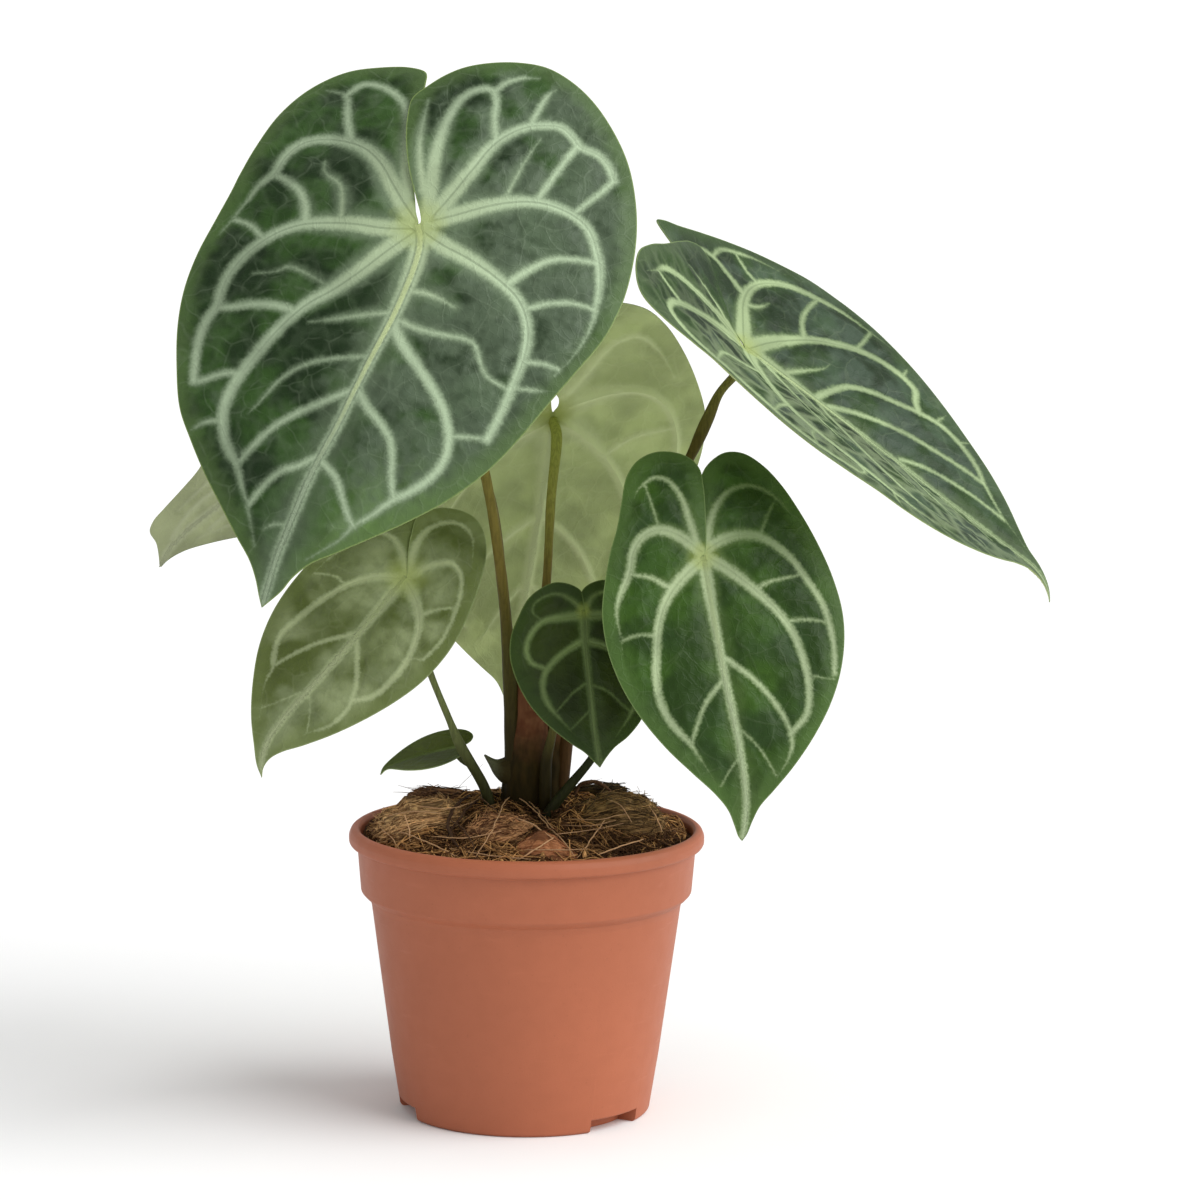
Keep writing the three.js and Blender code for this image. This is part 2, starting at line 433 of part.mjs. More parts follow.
    mid: [0, 0, -1.5, 15, -2.5, 32, -3, 50, -3, 68, -2.5, 85, -2, 100, -1, 116],
    veins: [
      ['l', 2.4, [0, -1, -11, -6, -23, -9.5, -34, -8, -42, -1, -47, 9, -49, 22, -48, 36]],
      ['l', 1.6, [-1, -4, -8, -18, -14, -30, -22, -34, -31, -28, -40, -16]],
      ['l', 2.6, [-0.5, 2, -12, 9, -24, 20, -33, 33, -38, 48, -37, 62, -30, 73, -22, 83]],
      ['l', 1.4, [-22, 18, -32, 10, -45, 6]],
      ['l', 1.3, [-34, 35, -42, 34, -48, 34]],
      ['l', 1.8, [-2.8, 42, -13, 49, -22, 59, -29, 72]],
      ['l', 1.3, [-3, 68, -10, 76, -16, 88]],
      ['r', 2.4, [1, -1, 11, -6, 22, -9.5, 33, -7, 41, 0, 46, 10, 48, 22, 47, 36]],
      ['r', 1.6, [1.5, -4, 8, -18, 15, -30, 23, -33, 31, -27, 39, -15]],
      ['r', 2.6, [0, 2, 11, 9, 22, 20, 31, 33, 36, 48, 35, 61, 28, 73, 19, 84]],
      ['r', 1.4, [20, 18, 31, 10, 44, 6]],
      ['r', 1.3, [32, 35, 40, 34, 47, 34]],
      ['r', 1.8, [-2.8, 42, 8, 50, 18, 61, 26, 74]],
      ['r', 1.3, [-3, 68, 5, 77, 12, 89]],
    ],
  },
  back_left: {
    attach: [-74.8, 70, 216.4],
    tip: [-130.7, 52, 188.8],
    roll: 40,
    bend: 18,
    back: 16,
    drip: 3,
    flip: true,
    half: 32,
    fold: [6, 6],
    curl: [-14, -14],
    lift: [0, 0],
    left: [-0.2, -0.5, -1.6, -5, -4, -11, -9, -15, -16, -13.5, -22, -7, -25, 3, -25, 14, -22.5, 24,
      -18, 33, -12.5, 41, -8.5, 50, -5.5, 58, -3.5, 63, -0.5, 66, 5, 66.3, 10, 68, 14, 70],
    right: [0.6, -0.7, 2, -5, 4.5, -11, 10, -15, 18, -12.5, 25, -4.5, 28.5, 6, 28.5, 18, 25.5, 30,
      21, 41, 17, 51, 14, 60, 13.5, 66, 14, 70],
    mid: [0, 0, 1, 12, 2, 24, 4, 36, 6, 48, 8, 57, 10.5, 64.5, 14, 70],
    veins: [
      ['l', 1.8, [0, -1, -8, -5, -15, -4, -20, 4, -20.5, 14, -17, 24, -12, 33]],
      ['l', 1.8, [0.2, 2, -6, 9, -10, 19, -9, 31, -5, 42, -1.5, 54]],
      ['l', 1.4, [3, 30, -1, 40, 2, 52, 7, 61]],
      ['r', 1.8, [1, -1, 9, -5, 17, -3, 22, 5, 23, 16, 20.5, 27]],
      ['r', 1.8, [0.2, 2, 8, 9, 14, 19, 16, 30, 15, 42, 13, 53]],
      ['r', 1.3, [3, 30, 9, 38, 12, 48]],
    ],
  },
  young: {
    attach: [-22.1, 4, 123.6],
    tip: [-47.3, 0, 117.3],
    roll: 20,
    bend: 10,
    back: 10,
    drip: 3,
    half: 9,
    fold: [10, 10],
    curl: [-4, -4],
    lift: [0, 0],
    left: [-0.1, -0.3, -0.8, -1.6, -2.2, -3.6, -4.6, -4.8, -7.5, -3.6, -9.6, -0.2, -10.2, 5, -9.3, 11,
      -7, 17, -4.2, 22, -1.8, 25.6, -0.2, 27.4, 1.5, 28.6, 3.5, 29.5],
    right: [0.5, -0.5, 1.2, -1.7, 3, -3.2, 5.8, -2.8, 8.8, 0.4, 10.8, 5, 11.5, 10.5, 10.8, 16, 8, 20.8,
      4.6, 24, 2.4, 26, 2.2, 27.6, 3.5, 29.5],
    mid: [0, 0, 0, 6, 0, 12, 0, 18, 0.2, 23, 1, 26.8, 3.5, 29.5],
    veins: [
      ['l', 0.9, [0, 0, -4, 1, -7.5, 5, -7.8, 10, -5.5, 16, -2.8, 21]],
      ['l', 0.7, [0, 11, -3, 15, -4.5, 18]],
      ['r', 0.9, [0, 0, 4, 1, 8, 5.5, 8.8, 11, 6.8, 16.5, 3.2, 21.5]],
      ['r', 0.7, [0, 11, 3.2, 15, 5.2, 18.5]],
    ],
  },
};

// vectors
const add = (a, b) => [a[0] + b[0], a[1] + b[1], a[2] + b[2]];
const sub = (a, b) => [a[0] - b[0], a[1] - b[1], a[2] - b[2]];
const mul = (a, k) => [a[0] * k, a[1] * k, a[2] * k];
const dot = (a, b) => a[0] * b[0] + a[1] * b[1] + a[2] * b[2];
const cross = (a, b) => [a[1] * b[2] - a[2] * b[1], a[2] * b[0] - a[0] * b[2], a[0] * b[1] - a[1] * b[0]];
const unit = (a) => mul(a, 1 / Math.hypot(...a));
const mix = (a, b, t) => a.map((v, i) => v + (b[i] - v) * t);
const clamp = (v, lo, hi) => Math.min(hi, Math.max(lo, v));
const smooth = (t) => t * t * (3 - 2 * t);

// numbers from 0 to 1 that are the same on every run
function seeded(seed) {
  let s = seed;
  return () => {
    s = (s * 1664525 + 1013904223) % 4294967296;
    return s / 4294967296;
  };
}

// solid from points and triangles
function solid(points, triangles) {
  const mesh = new wasm.Mesh({
    numProp: 3,
    vertProperties: Float32Array.from(points.flat()),
    triVerts: Uint32Array.from(triangles.flat()),
  });
  return new Manifold(mesh);
}

// biggest connected piece of a solid
function mainPiece(body) {
  const pieces = body.decompose();
  return pieces.reduce((best, piece) => (piece.volume() > best.volume() ? piece : best));
}

// named mesh from a solid
function meshOf(name, body, colour) {
  const data = body.getMesh();
  const flat = new Float32Array(data.numVert * 3);
  for (let i = 0; i < data.numVert; i += 1) {
    for (let k = 0; k < 3; k += 1) {
      flat[i * 3 + k] = data.vertProperties[i * data.numProp + k];
    }
  }
  const geometry = new THREE.BufferGeometry();
  geometry.setAttribute('position', new THREE.BufferAttribute(flat, 3));
  geometry.setIndex(new THREE.BufferAttribute(Uint32Array.from(data.triVerts), 1));
  const merged = mergeVertices(geometry, 1e-4);
  merged.computeVertexNormals();
  const material = new THREE.MeshStandardMaterial({ color: colour, roughness: 0.7 });
  const mesh = new THREE.Mesh(merged, material);
  mesh.name = name;
  return mesh;
}

// closed solid turned about the Z axis from a profile that starts and ends on the axis
function turned(profile, segments) {
  const ring = profile.slice(1, -1);
  const points = [[0, 0, profile[0][1]]];
  for (const [r, z] of ring) {
    for (let i = 0; i < segments; i += 1) {
      const a = (2 * Math.PI * i) / segments;
      points.push([r * Math.cos(a), r * Math.sin(a), z]);
    }
  }
  points.push([0, 0, profile[profile.length - 1][1]]);
  return solid(points, rings(ring.length, segments, points.length - 1));
}

// triangles of rings of points closed by a first and a last point, outside out when rings go up
function rings(count, segments, last) {
  const triangles = [];
  for (let i = 0; i < segments; i += 1) {
    const next = (i + 1) % segments;
    triangles.push([0, 1 + next, 1 + i]);
    for (let j = 0; j < count - 1; j += 1) {
      const low = 1 + j * segments;
      const high = low + segments;
      triangles.push([low + i, low + next, high + next]);
      triangles.push([low + i, high + next, high + i]);
    }
    const top = 1 + (count - 1) * segments;
    triangles.push([top + i, top + next, last]);
  }
  return triangles;
}

// smooth curve through points, with steps points to each span
function curve(points, steps) {
  const first = points[0].map((v, i) => 2 * v - points[1][i]);
  const end = points[points.length - 1];
  const last = end.map((v, i) => 2 * v - points[points.length - 2][i]);
  const all = [first, ...points, last];
  const gap = (a, b) => Math.sqrt(Math.hypot(...a.map((v, i) => v - b[i])));
  const out = [];
  for (let i = 1; i < all.length - 2; i += 1) {
    const [a, b, c, d] = all.slice(i - 1, i + 3);
    const t1 = gap(a, b);
    const t2 = t1 + gap(b, c);
    const t3 = t2 + gap(c, d);
    for (let k = 0; k < steps; k += 1) {
      const t = t1 + ((t2 - t1) * k) / steps;
      const ab = mix(a, b, t / t1);
      const bc = mix(b, c, (t - t1) / (t2 - t1));
      const cd = mix(c, d, (t - t2) / (t3 - t2));
      const abc = mix(ab, bc, t / t2);
      const bcd = mix(bc, cd, (t - t1) / (t3 - t1));
      out.push(mix(abc, bcd, (t - t1) / (t2 - t1)));
    }
  }
  out.push(end);
  return out;
}

// points a set distance apart along a smooth curve
function evenly(points, spacing) {
  const fine = curve(points, 8);
  const along = [0];
  for (let i = 1; i < fine.length; i += 1) {
    along.push(along[i - 1] + Math.hypot(...fine[i].map((v, k) => v - fine[i - 1][k])));
  }
  const total = along[along.length - 1];
  const count = Math.max(1, Math.round(total / spacing));
  const out = [];
  let j = 0;
  for (let i = 0; i <= count; i += 1) {
    const want = (total * i) / count;
    while (j < along.length - 2 && along[j + 1] < want) {
      j += 1;
    }
    const t = clamp((want - along[j]) / (along[j + 1] - along[j]), 0, 1);
    out.push(mix(fine[j], fine[j + 1], t));
  }
  return out;
}

// closed tube along points, with a radius at each point and an end cap at both ends
function tube(path, radii, sides) {
  const points = [path[0]];
  let across = unit(cross(sub(path[1], path[0]), [0.31, 0.87, 0.37]));
  path.forEach((p, i) => {
    const ahead = unit(sub(path[Math.min(i + 1, path.length - 1)], path[Math.max(i - 1, 0)]));
    across = unit(sub(across, mul(ahead, dot(across, ahead))));
    const other = cross(ahead, across);
    for (let k = 0; k < sides; k += 1) {
      const a = (2 * Math.PI * k) / sides;
      const out = add(mul(across, Math.cos(a)), mul(other, Math.sin(a)));
      points.push(add(p, mul(out, radii[i])));
    }
  });
  points.push(path[path.length - 1]);
  return solid(points, rings(path.length, sides, points.length - 1));
}

// prism over part of a ring, from one angle to another
function ringPrism(inner, outer, low, high, middle, half, grow) {
  const outline = [];
  const r0 = inner - grow;
  const r1 = outer + grow;
  for (let i = 0; i <= NOTCH_STEPS; i += 1) {
    const a = (middle + half * (-1 + (2 * i) / NOTCH_STEPS)) * RAD;
    outline.push([r1 * Math.cos(a), r1 * Math.sin(a)]);
  }
  for (let i = NOTCH_STEPS; i >= 0; i -= 1) {
    const a = (middle + half * (-1 + (2 * i) / NOTCH_STEPS)) * RAD;
    outline.push([r0 * Math.cos(a), r0 * Math.sin(a)]);
  }
  return Manifold.extrude([outline], high - low + grow).translate([0, 0, low]);
}

// pot: turned shell with pockets added, then arches and drain holes cut
const azimuthToAngle = (azimuth) => azimuth - 90;
const notchInner = BASE_RADIUS - NOTCH_DEPTH;
const pocketInner = notchInner - POCKET_WALL;

function pocket(azimuth, grow) {
  const half = POCKET_HALF_ANGLE + (grow / pocketInner) / RAD;
  const top = NOTCH_HEIGHT + POCKET_WALL;
  return ringPrism(pocketInner, POCKET_OUTER, POCKET_BOTTOM, top, azimuthToAngle(azimuth), half, grow);
}

function makePot() {
  const profile = [[0, 0], ...POT_OUTSIDE, ...POT_INSIDE, [0, FLOOR_THICKNESS]];
  let body = turned(profile, POT_SEGMENTS);
  for (const azimuth of NOTCH_AZIMUTHS) {
    const middle = azimuthToAngle(azimuth);
    const radius = DRAIN_HOLE_RADIUS;
    const hole = Manifold.cylinder(2 * NOTCH_HEIGHT, radius, radius, DRAIN_HOLE_SIDES);
    const out = notchInner + radius;
    body = body.add(pocket(azimuth, 0));
    body = body.subtract(ringPrism(notchInner, OUTSIDE_POT, -1, NOTCH_HEIGHT, middle, NOTCH_HALF_ANGLE, 0));
    body = body.subtract(ringPrism(BASE_RADIUS - STEP_DEPTH, OUTSIDE_POT, 1, STEP_HEIGHT, middle,
      STEP_HALF_ANGLE, 0));
    body = body.subtract(hole.translate([out * Math.cos(middle * RAD), out * Math.sin(middle * RAD), 1]));
  }
  return body;
}

// potting mix: fills the pot under the mulch, held off its walls and pockets by the clearance
function makeMix(stalks, stem) {
  const bottom = FLOOR_THICKNESS + GAP;
  const wall = POT_INSIDE.slice(3).reverse().map(([r, z]) => [r - WALL_CLEARANCE, Math.max(z, bottom)]);
  const profile = [[0, bottom], ...wall, [MIX_TOP_RADIUS, MIX_TOP], [0, MIX_TOP]];
  let body = turned(profile, POT_SEGMENTS);
  for (const azimuth of NOTCH_AZIMUTHS) {
    body = body.subtract(pocket(azimuth, GAP));
  }
  for (const cut of [...stalks, stem]) {
    body = body.subtract(cut);
  }
  return mainPiece(body);
}

// lumpy height of the mulch over a place in the pot
function mulchHeight(x, y) {
  const r = Math.hypot(x, y) / MULCH_RADIUS;
  const mound = MULCH_EDGE + (MULCH_CROWN - MULCH_EDGE) * (1 - r * r);
  const lumps = Math.sin(x * 0.21 + 1.3) * Math.cos(y * 0.24 + 0.4)
    + 0.6 * Math.sin(x * 0.43 - y * 0.31 + 2.1) + 0.4 * Math.cos(x * 0.62 + y * 0.55);
  return mound + MULCH_LUMP * lumps * (1 - 0.6 * r ** 4);
}

// rough flake of husk: a squashed five-sided lump with broken ends
function flake(at, size, turn, tilt, random) {
  const points = [[-size[0], 0, 0]];
  for (const station of [-0.55, 0.1, 0.7]) {
    for (let k = 0; k < 5; k += 1) {
      const a = (2 * Math.PI * k) / 5;
      const w = 0.75 + 0.5 * random();
      points.push([station * size[0], size[1] * w * Math.cos(a), size[2] * w * Math.sin(a)]);
    }
  }
  points.push([size[0], 0, 0]);
  return solid(points, rings(3, 5, points.length - 1)).rotate([0, tilt, turn]).translate(at);
}

// mulch: a lumpy mound with flakes and fibres fused to it, cut to the pot's inside
function makeMulch(chips, cuts) {
  const bottom = MIX_TOP + GAP;
  const points = [[0, 0, bottom]];
  const ringPoints = (r, height) => {
    for (let i = 0; i < MULCH_SIDES; i += 1) {
      const a = (2 * Math.PI * i) / MULCH_SIDES;
      const x = r * Math.cos(a);
      const y = r * Math.sin(a);
      points.push([x, y, height(x, y)]);
    }
  };
  ringPoints(MULCH_BOTTOM_RADIUS, () => bottom);
  for (const r of [...MULCH_RINGS].reverse()) {
    ringPoints(r, mulchHeight);
  }
  points.push([0, 0, mulchHeight(0, 0)]);
  let body = solid(points, rings(MULCH_RINGS.length + 1, MULCH_SIDES, points.length - 1));
  const random = seeded(MULCH_SEED);
  const between = (low, high) => low + (high - low) * random();
  const placeOn = ({ from, to }) => {
    const a = 2 * Math.PI * random();
    const r = from + (to - from) * Math.sqrt(random());
    return [r * Math.cos(a), r * Math.sin(a)];
  };
  for (let i = 0; i < MULCH_FLAKES.number; i += 1) {
    const [x, y] = placeOn(MULCH_FLAKES);
    const size = MULCH_FLAKES.least.map((low, k) => between(low, MULCH_FLAKES.most[k]));
    const at = [x, y, mulchHeight(x, y) + 0.4 * size[2]];
    const turn = between(0, 360);
    body = body.add(flake(at, size, turn, between(-MULCH_FLAKES.lean, MULCH_FLAKES.lean), random));
  }
  for (let i = 0; i < MULCH_FIBRES.number; i += 1) {
    const [startX, startY] = placeOn(MULCH_FIBRES);
    const heading = between(0, 2 * Math.PI);
    const length = between(...MULCH_FIBRES.length);
    const sway = between(-MULCH_FIBRES.sway, MULCH_FIBRES.sway);
    const path = [-1, -0.1, 1].map((t) => {
      const along = t * 0.5 * length;
      const side = sway * (1 - t * t);
      const x = startX + along * Math.cos(heading) - side * Math.sin(heading);
      const y = startY + along * Math.sin(heading) + side * Math.cos(heading);
      const keep = Math.min(1, FIBRE_LIMIT / Math.hypot(x, y));
      const rise = MULCH_FIBRES.hump * (1 - t * t) - 0.2;
      return [x * keep, y * keep, mulchHeight(x * keep, y * keep) + rise];
    });
    body = body.add(tube(path, path.map(() => FIBRE_RADIUS), 3));
  }
  for (const cut of [...chips, ...cuts]) {
    body = body.subtract(cut);
  }
  return mainPiece(body.intersect(turned(MULCH_LIMIT, POT_SEGMENTS)));
}

// husk chip: a rounded block with ridges along it, the ridges deeper at its ends
function huskChip(spec, seed, grow) {
  const rows = 7;
  const columns = 12;
  const random = seeded(seed);
  const bumps = Array.from({ length: rows * columns + 2 }, () => random() - 0.5);
  const points = [];
  const place = (lat, lon, bump) => {
    const c = Math.cos(lat);
    const round = (v) => Math.sign(v) * Math.abs(v) ** CHIP_SQUARENESS;
    const dir = [round(Math.sin(lat)), round(c * Math.cos(lon)), round(c * Math.sin(lon))];
    const local = dir.map((v, i) => v * spec.size[i]);
    const narrow = 1 - spec.peak * Math.abs(dir[0]);
    local[1] *= local[1] > 0 ? narrow : 1;
    local[2] *= local[2] > 0 ? narrow : 1;
    const reach = 1 + (spec.rough * 1.6 * bump) / Math.hypot(...local);
    const span = Math.hypot(...local) * reach;
    return mul(unit(local), span + grow * 1.8);
  };
  points.push(place(-Math.PI / 2, 0, bumps[0]));
  for (let j = 0; j < rows; j += 1) {
    const lat = (-Math.PI * 5) / 12 + ((Math.PI * 5) / 6) * (j / (rows - 1));
    for (let i = 0; i < columns; i += 1) {
      points.push(place(lat, (2 * Math.PI * i) / columns, bumps[1 + j * columns + i]));
    }
  }
  points.push(place(Math.PI / 2, 0, bumps[bumps.length - 1]));
  return solid(points, rings(rows, columns, points.length - 1))
    .rotate([spec.lean[0], -spec.lean[1], spec.turn]).translate(spec.at);
}

// short stem and dry sheath
function makeStem(grow, stalks) {
  const profile = STEM_PROFILE.map(([r, z]) => [r + (r ? grow : 0), z]);
  profile[0][1] -= grow;
  profile[1][1] -= grow;
  profile[profile.length - 1][1] += grow;
  let body = turned(profile, STEM_SIDES).translate([STEM_AXIS[0], STEM_AXIS[1], 0]);
  const sheath = SHEATH.map((p, i) => [...p, SHEATH_RADII[i]]);
  const line = curve(sheath, 2);
  body = body.add(tube(line.map((p) => p.slice(0, 3)), line.map((p) => p[3] + grow), 8));
  for (const cut of stalks) {
    body = body.subtract(cut);
  }
  return mainPiece(body);
}

// midrib: distance along and height over the line from stalk to tip, and its slope
function midribAt(leaf, y) {
  const chord = Math.hypot(...sub(leaf.tip, leaf.attach));
  const bend = leaf.bend * RAD;
  const radius = chord / (2 * Math.sin(bend / 2));
  const length = radius * bend;
  const drip = (leaf.drip ? leaf.drip * RAD : 1 / radius);
  if (y > length) {
    const slope = -bend / 2 - drip * (y - length);
    return {
      along: chord + (Math.sin(-bend / 2) - Math.sin(slope)) / drip,
      height: (Math.cos(slope) - Math.cos(bend / 2)) / drip,
      slope,
      length,
    };
  }
  const k = y >= 0 ? 1 / radius : (leaf.back * RAD) / length;
  const slope = bend / 2 - k * y;
  return {
    along: (Math.sin(bend / 2) - Math.sin(slope)) / k,
    height: (Math.cos(slope) - Math.cos(bend / 2)) / k,
    slope,
    length,
  };
}

// sideways place of the midrib at a distance from the stalk
function midribShift(leaf, y) {
  const line = leaf.midLine;
  if (y <= 0 || y >= line[line.length - 1][1]) {
    return 0;
  }
  const j = line.findIndex((p) => p[1] > y);
  const t = (y - line[j - 1][1]) / (line[j][1] - line[j - 1][1]);
  return line[j - 1][0] + (line[j][0] - line[j - 1][0]) * t;
}

// place in space of a flat point of a blade's upper face, on one side of the midrib
function bladePoint(leaf, x, y, side) {
  const chord = unit(sub(leaf.tip, leaf.attach));
  const up = unit(sub([0, 0, 1], mul(chord, chord[2])));
  const roll = leaf.roll * RAD;
  const normal = add(mul(up, Math.cos(roll)), mul(cross(up, chord), Math.sin(roll)));
  const across = cross(normal, chord);
  const { along, height, slope, length } = midribAt(leaf, y);
  const shift = midribShift(leaf, y);
  const which = side < 0 ? 0 : 1;
  const s = (x - shift) * side;
  const back = smooth(clamp(-y / (0.4 * length), 0, 1));
  const fold = (leaf.fold[which] + (leaf.lobeFold ? leaf.lobeFold[which] * back : 0)) * RAD;
  const k = (leaf.curl[which] * RAD) / leaf.half;
  const out = (Math.sin(fold + k * s) - Math.sin(fold)) / k;
  let rise = (Math.cos(fold) - Math.cos(fold + k * s)) / k;
  let around = Math.atan2(s, y) / RAD;
  around += around < -90 ? 360 : 0;
  const lobe = smooth(clamp((around - 75) / 105, 0, 1));
  rise += leaf.lift[which] * Math.min(Math.hypot(x, y), leaf.reach || 1000) * lobe;
  const face = add(mul(chord, -Math.sin(slope)), mul(normal, Math.cos(slope)));
  let point = add(leaf.attach, mul(chord, along));
  point = add(point, mul(normal, height));
  point = add(point, mul(across, shift + side * out));
  return add(point, mul(face, rise));
}

// upper-face normal of a blade at a flat point
function bladeNormal(leaf, x, y, side) {
  const step = 0.5;
  const dx = sub(bladePoint(leaf, x + step, y, side), bladePoint(leaf, x - step, y, side));
  const dy = sub(bladePoint(leaf, x, y + step, side), bladePoint(leaf, x, y - step, side));
  return unit(cross(dy, dx));
}

// whether a flat point is inside a closed outline
function inside(outline, x, y) {
  let hit = false;
  for (let i = 0, j = outline.length - 1; i < outline.length; j = i, i += 1) {
    const [ax, ay] = outline[i];
    const [bx, by] = outline[j];
    if ((ay > y) !== (by > y) && x < ((bx - ax) * (y - ay)) / (by - ay) + ax) {
      hit = !hit;
    }
  }
  return hit;
}

// distance from a flat point to a line of points
function distanceTo(line, x, y) {
  let best = Infinity;
  for (let i = 1; i < line.length; i += 1) {
    const [ax, ay] = line[i - 1];
    const dx = line[i][0] - ax;
    const dy = line[i][1] - ay;
    const t = clamp(((x - ax) * dx + (y - ay) * dy) / (dx * dx + dy * dy || 1), 0, 1);
    best = Math.min(best, Math.hypot(x - ax - dx * t, y - ay - dy * t));
  }
  return best;
}

// Delaunay triangles of flat points, added one at a time
function delaunay(points) {
  const far = 4000;
  const all = [...points, [-far, -far], [far, -far], [0, far]];
  const n = points.length;
  const circle = (a, b, c) => {
    const [ax, ay] = all[a];
    const [bx, by] = [all[b][0] - ax, all[b][1] - ay];
    const [cx, cy] = [all[c][0] - ax, all[c][1] - ay];
    const d = 2 * (bx * cy - by * cx);
    const ux = (cy * (bx * bx + by * by) - by * (cx * cx + cy * cy)) / d;
    const uy = (bx * (cx * cx + cy * cy) - cx * (bx * bx + by * by)) / d;
    return { corners: [a, b, c], x: ax + ux, y: ay + uy, r2: ux * ux + uy * uy };
  };
  let triangles = [circle(n, n + 1, n + 2)];
  points.forEach(([x, y], i) => {
    const edges = new Map();
    triangles = triangles.filter((t) => {
      if ((x - t.x) ** 2 + (y - t.y) ** 2 >= t.r2) {
        return true;
      }
      for (const [a, b] of [[0, 1], [1, 2], [2, 0]]) {
        const from = t.corners[a];
        const to = t.corners[b];
        if (!edges.delete(`${to},${from}`)) {
          edges.set(`${from},${to}`, [from, to]);
        }
      }
      return false;
    });
    for (const [from, to] of edges.values()) {
      triangles.push(circle(from, to, i));
    }
  });
  return triangles.map((t) => t.corners).filter((c) => Math.max(...c) < n);
}

// one half of a blade: its flat points, and its triangles, margin and midrib points first
function halfBlade(leaf, side, margin, midline, detail) {
  const loop = [...midline, ...margin.slice(1, -1).reverse()];
  const [, veinStep, grid] = detail;
  const veins = leaf.veins.filter((vein) => vein[0] === (side < 0 ? 'l' : 'r'));
  const points = [...loop];
  const free = (x, y, clear, near) => inside(loop, x, y) && distanceTo([...loop, loop[0]], x, y) > clear
    && points.slice(loop.length).every((p) => Math.hypot(p[0] - x, p[1] - y) > near);
  for (const [, , line] of [...veins].sort((a, b) => b[1] - a[1])) {
    for (const [x, y] of evenly(pairs(line), veinStep)) {
      if (free(x, y, 0.36 * grid, 0.45 * veinStep)) {
        points.push([x, y]);
      }
    }
  }
  const xs = loop.map((p) => p[0]);
  const ys = loop.map((p) => p[1]);
  let row = 0;
  for (let y = Math.min(...ys) + 0.5 * grid; y < Math.max(...ys); y += grid * 0.866) {
    for (let x = Math.min(...xs) + (row % 2 ? 0 : 0.5) * grid; x < Math.max(...xs); x += grid) {
      if (free(x, y, 0.55 * grid, 0.72 * grid)) {
        points.push([x, y]);
      }
    }
    row += 1;
  }
  const triangles = delaunay(points).filter((t) => {
    const x = (points[t[0]][0] + points[t[1]][0] + points[t[2]][0]) / 3;
    const y = (points[t[0]][1] + points[t[1]][1] + points[t[2]][1]) / 3;
    return inside(loop, x, y);
  });
  const edges = new Set();
  for (const t of triangles) {
    for (const [a, b] of [[0, 1], [1, 2], [2, 0]]) {
      edges.add(Math.min(t[a], t[b]) * 10000 + Math.max(t[a], t[b]));
    }
  }
  const missing = [];
  for (let i = 0; i < loop.length; i += 1) {
    const j = (i + 1) % loop.length;
    if (!edges.has(Math.min(i, j) * 10000 + Math.max(i, j))) {
      missing.push([loop[i], loop[j]]);
    }
  }
  return { points, triangles, missing };
}

// line of points with the middle of each listed edge added
function split(line, missing) {
  const out = [line[0]];
  for (let i = 1; i < line.length; i += 1) {
    const cut = missing.some(([a, b]) => (a === line[i - 1] && b === line[i])
      || (b === line[i - 1] && a === line[i]));
    if (cut) {
      out.push(mix(line[i - 1], line[i], 0.5));
    }
    out.push(line[i]);
  }
  return out;
}

// flat numbers to pairs
function pairs(list) {
  const out = [];
  for (let i = 0; i < list.length; i += 2) {
    out.push([list[i], list[i + 1]]);
  }
  return out;
}

// how far a flat point stands over the blade's plain surface, and how deep the rib under it is
function relief(leaf, lines, margins, x, y, side) {
  let nearest = Infinity;
  let rib = 0;
  for (const [lineSide, width, line] of lines) {
    if (lineSide === 0 || lineSide === side) {
      const d = distanceTo(line, x, y) - width * 0.5;
      nearest = Math.min(nearest, d);
      if (d < 0) {
        rib = Math.max(rib, RIB_DEPTH + RIB_PER_WIDTH * width);
      }
    }
  }
  const edge = distanceTo(margins[side < 0 ? 0 : 1], x, y);
  const taper = clamp(edge / 6, 0, 1);
  const reach = Math.min(PANEL_REACH, leaf.half * 0.14);
  const panel = PANEL_RISE * (reach / PANEL_REACH) * smooth(clamp(nearest / reach, 0, 1));
  return { rise: panel * taper, rib: rib * taper * (reach / PANEL_REACH) };
}

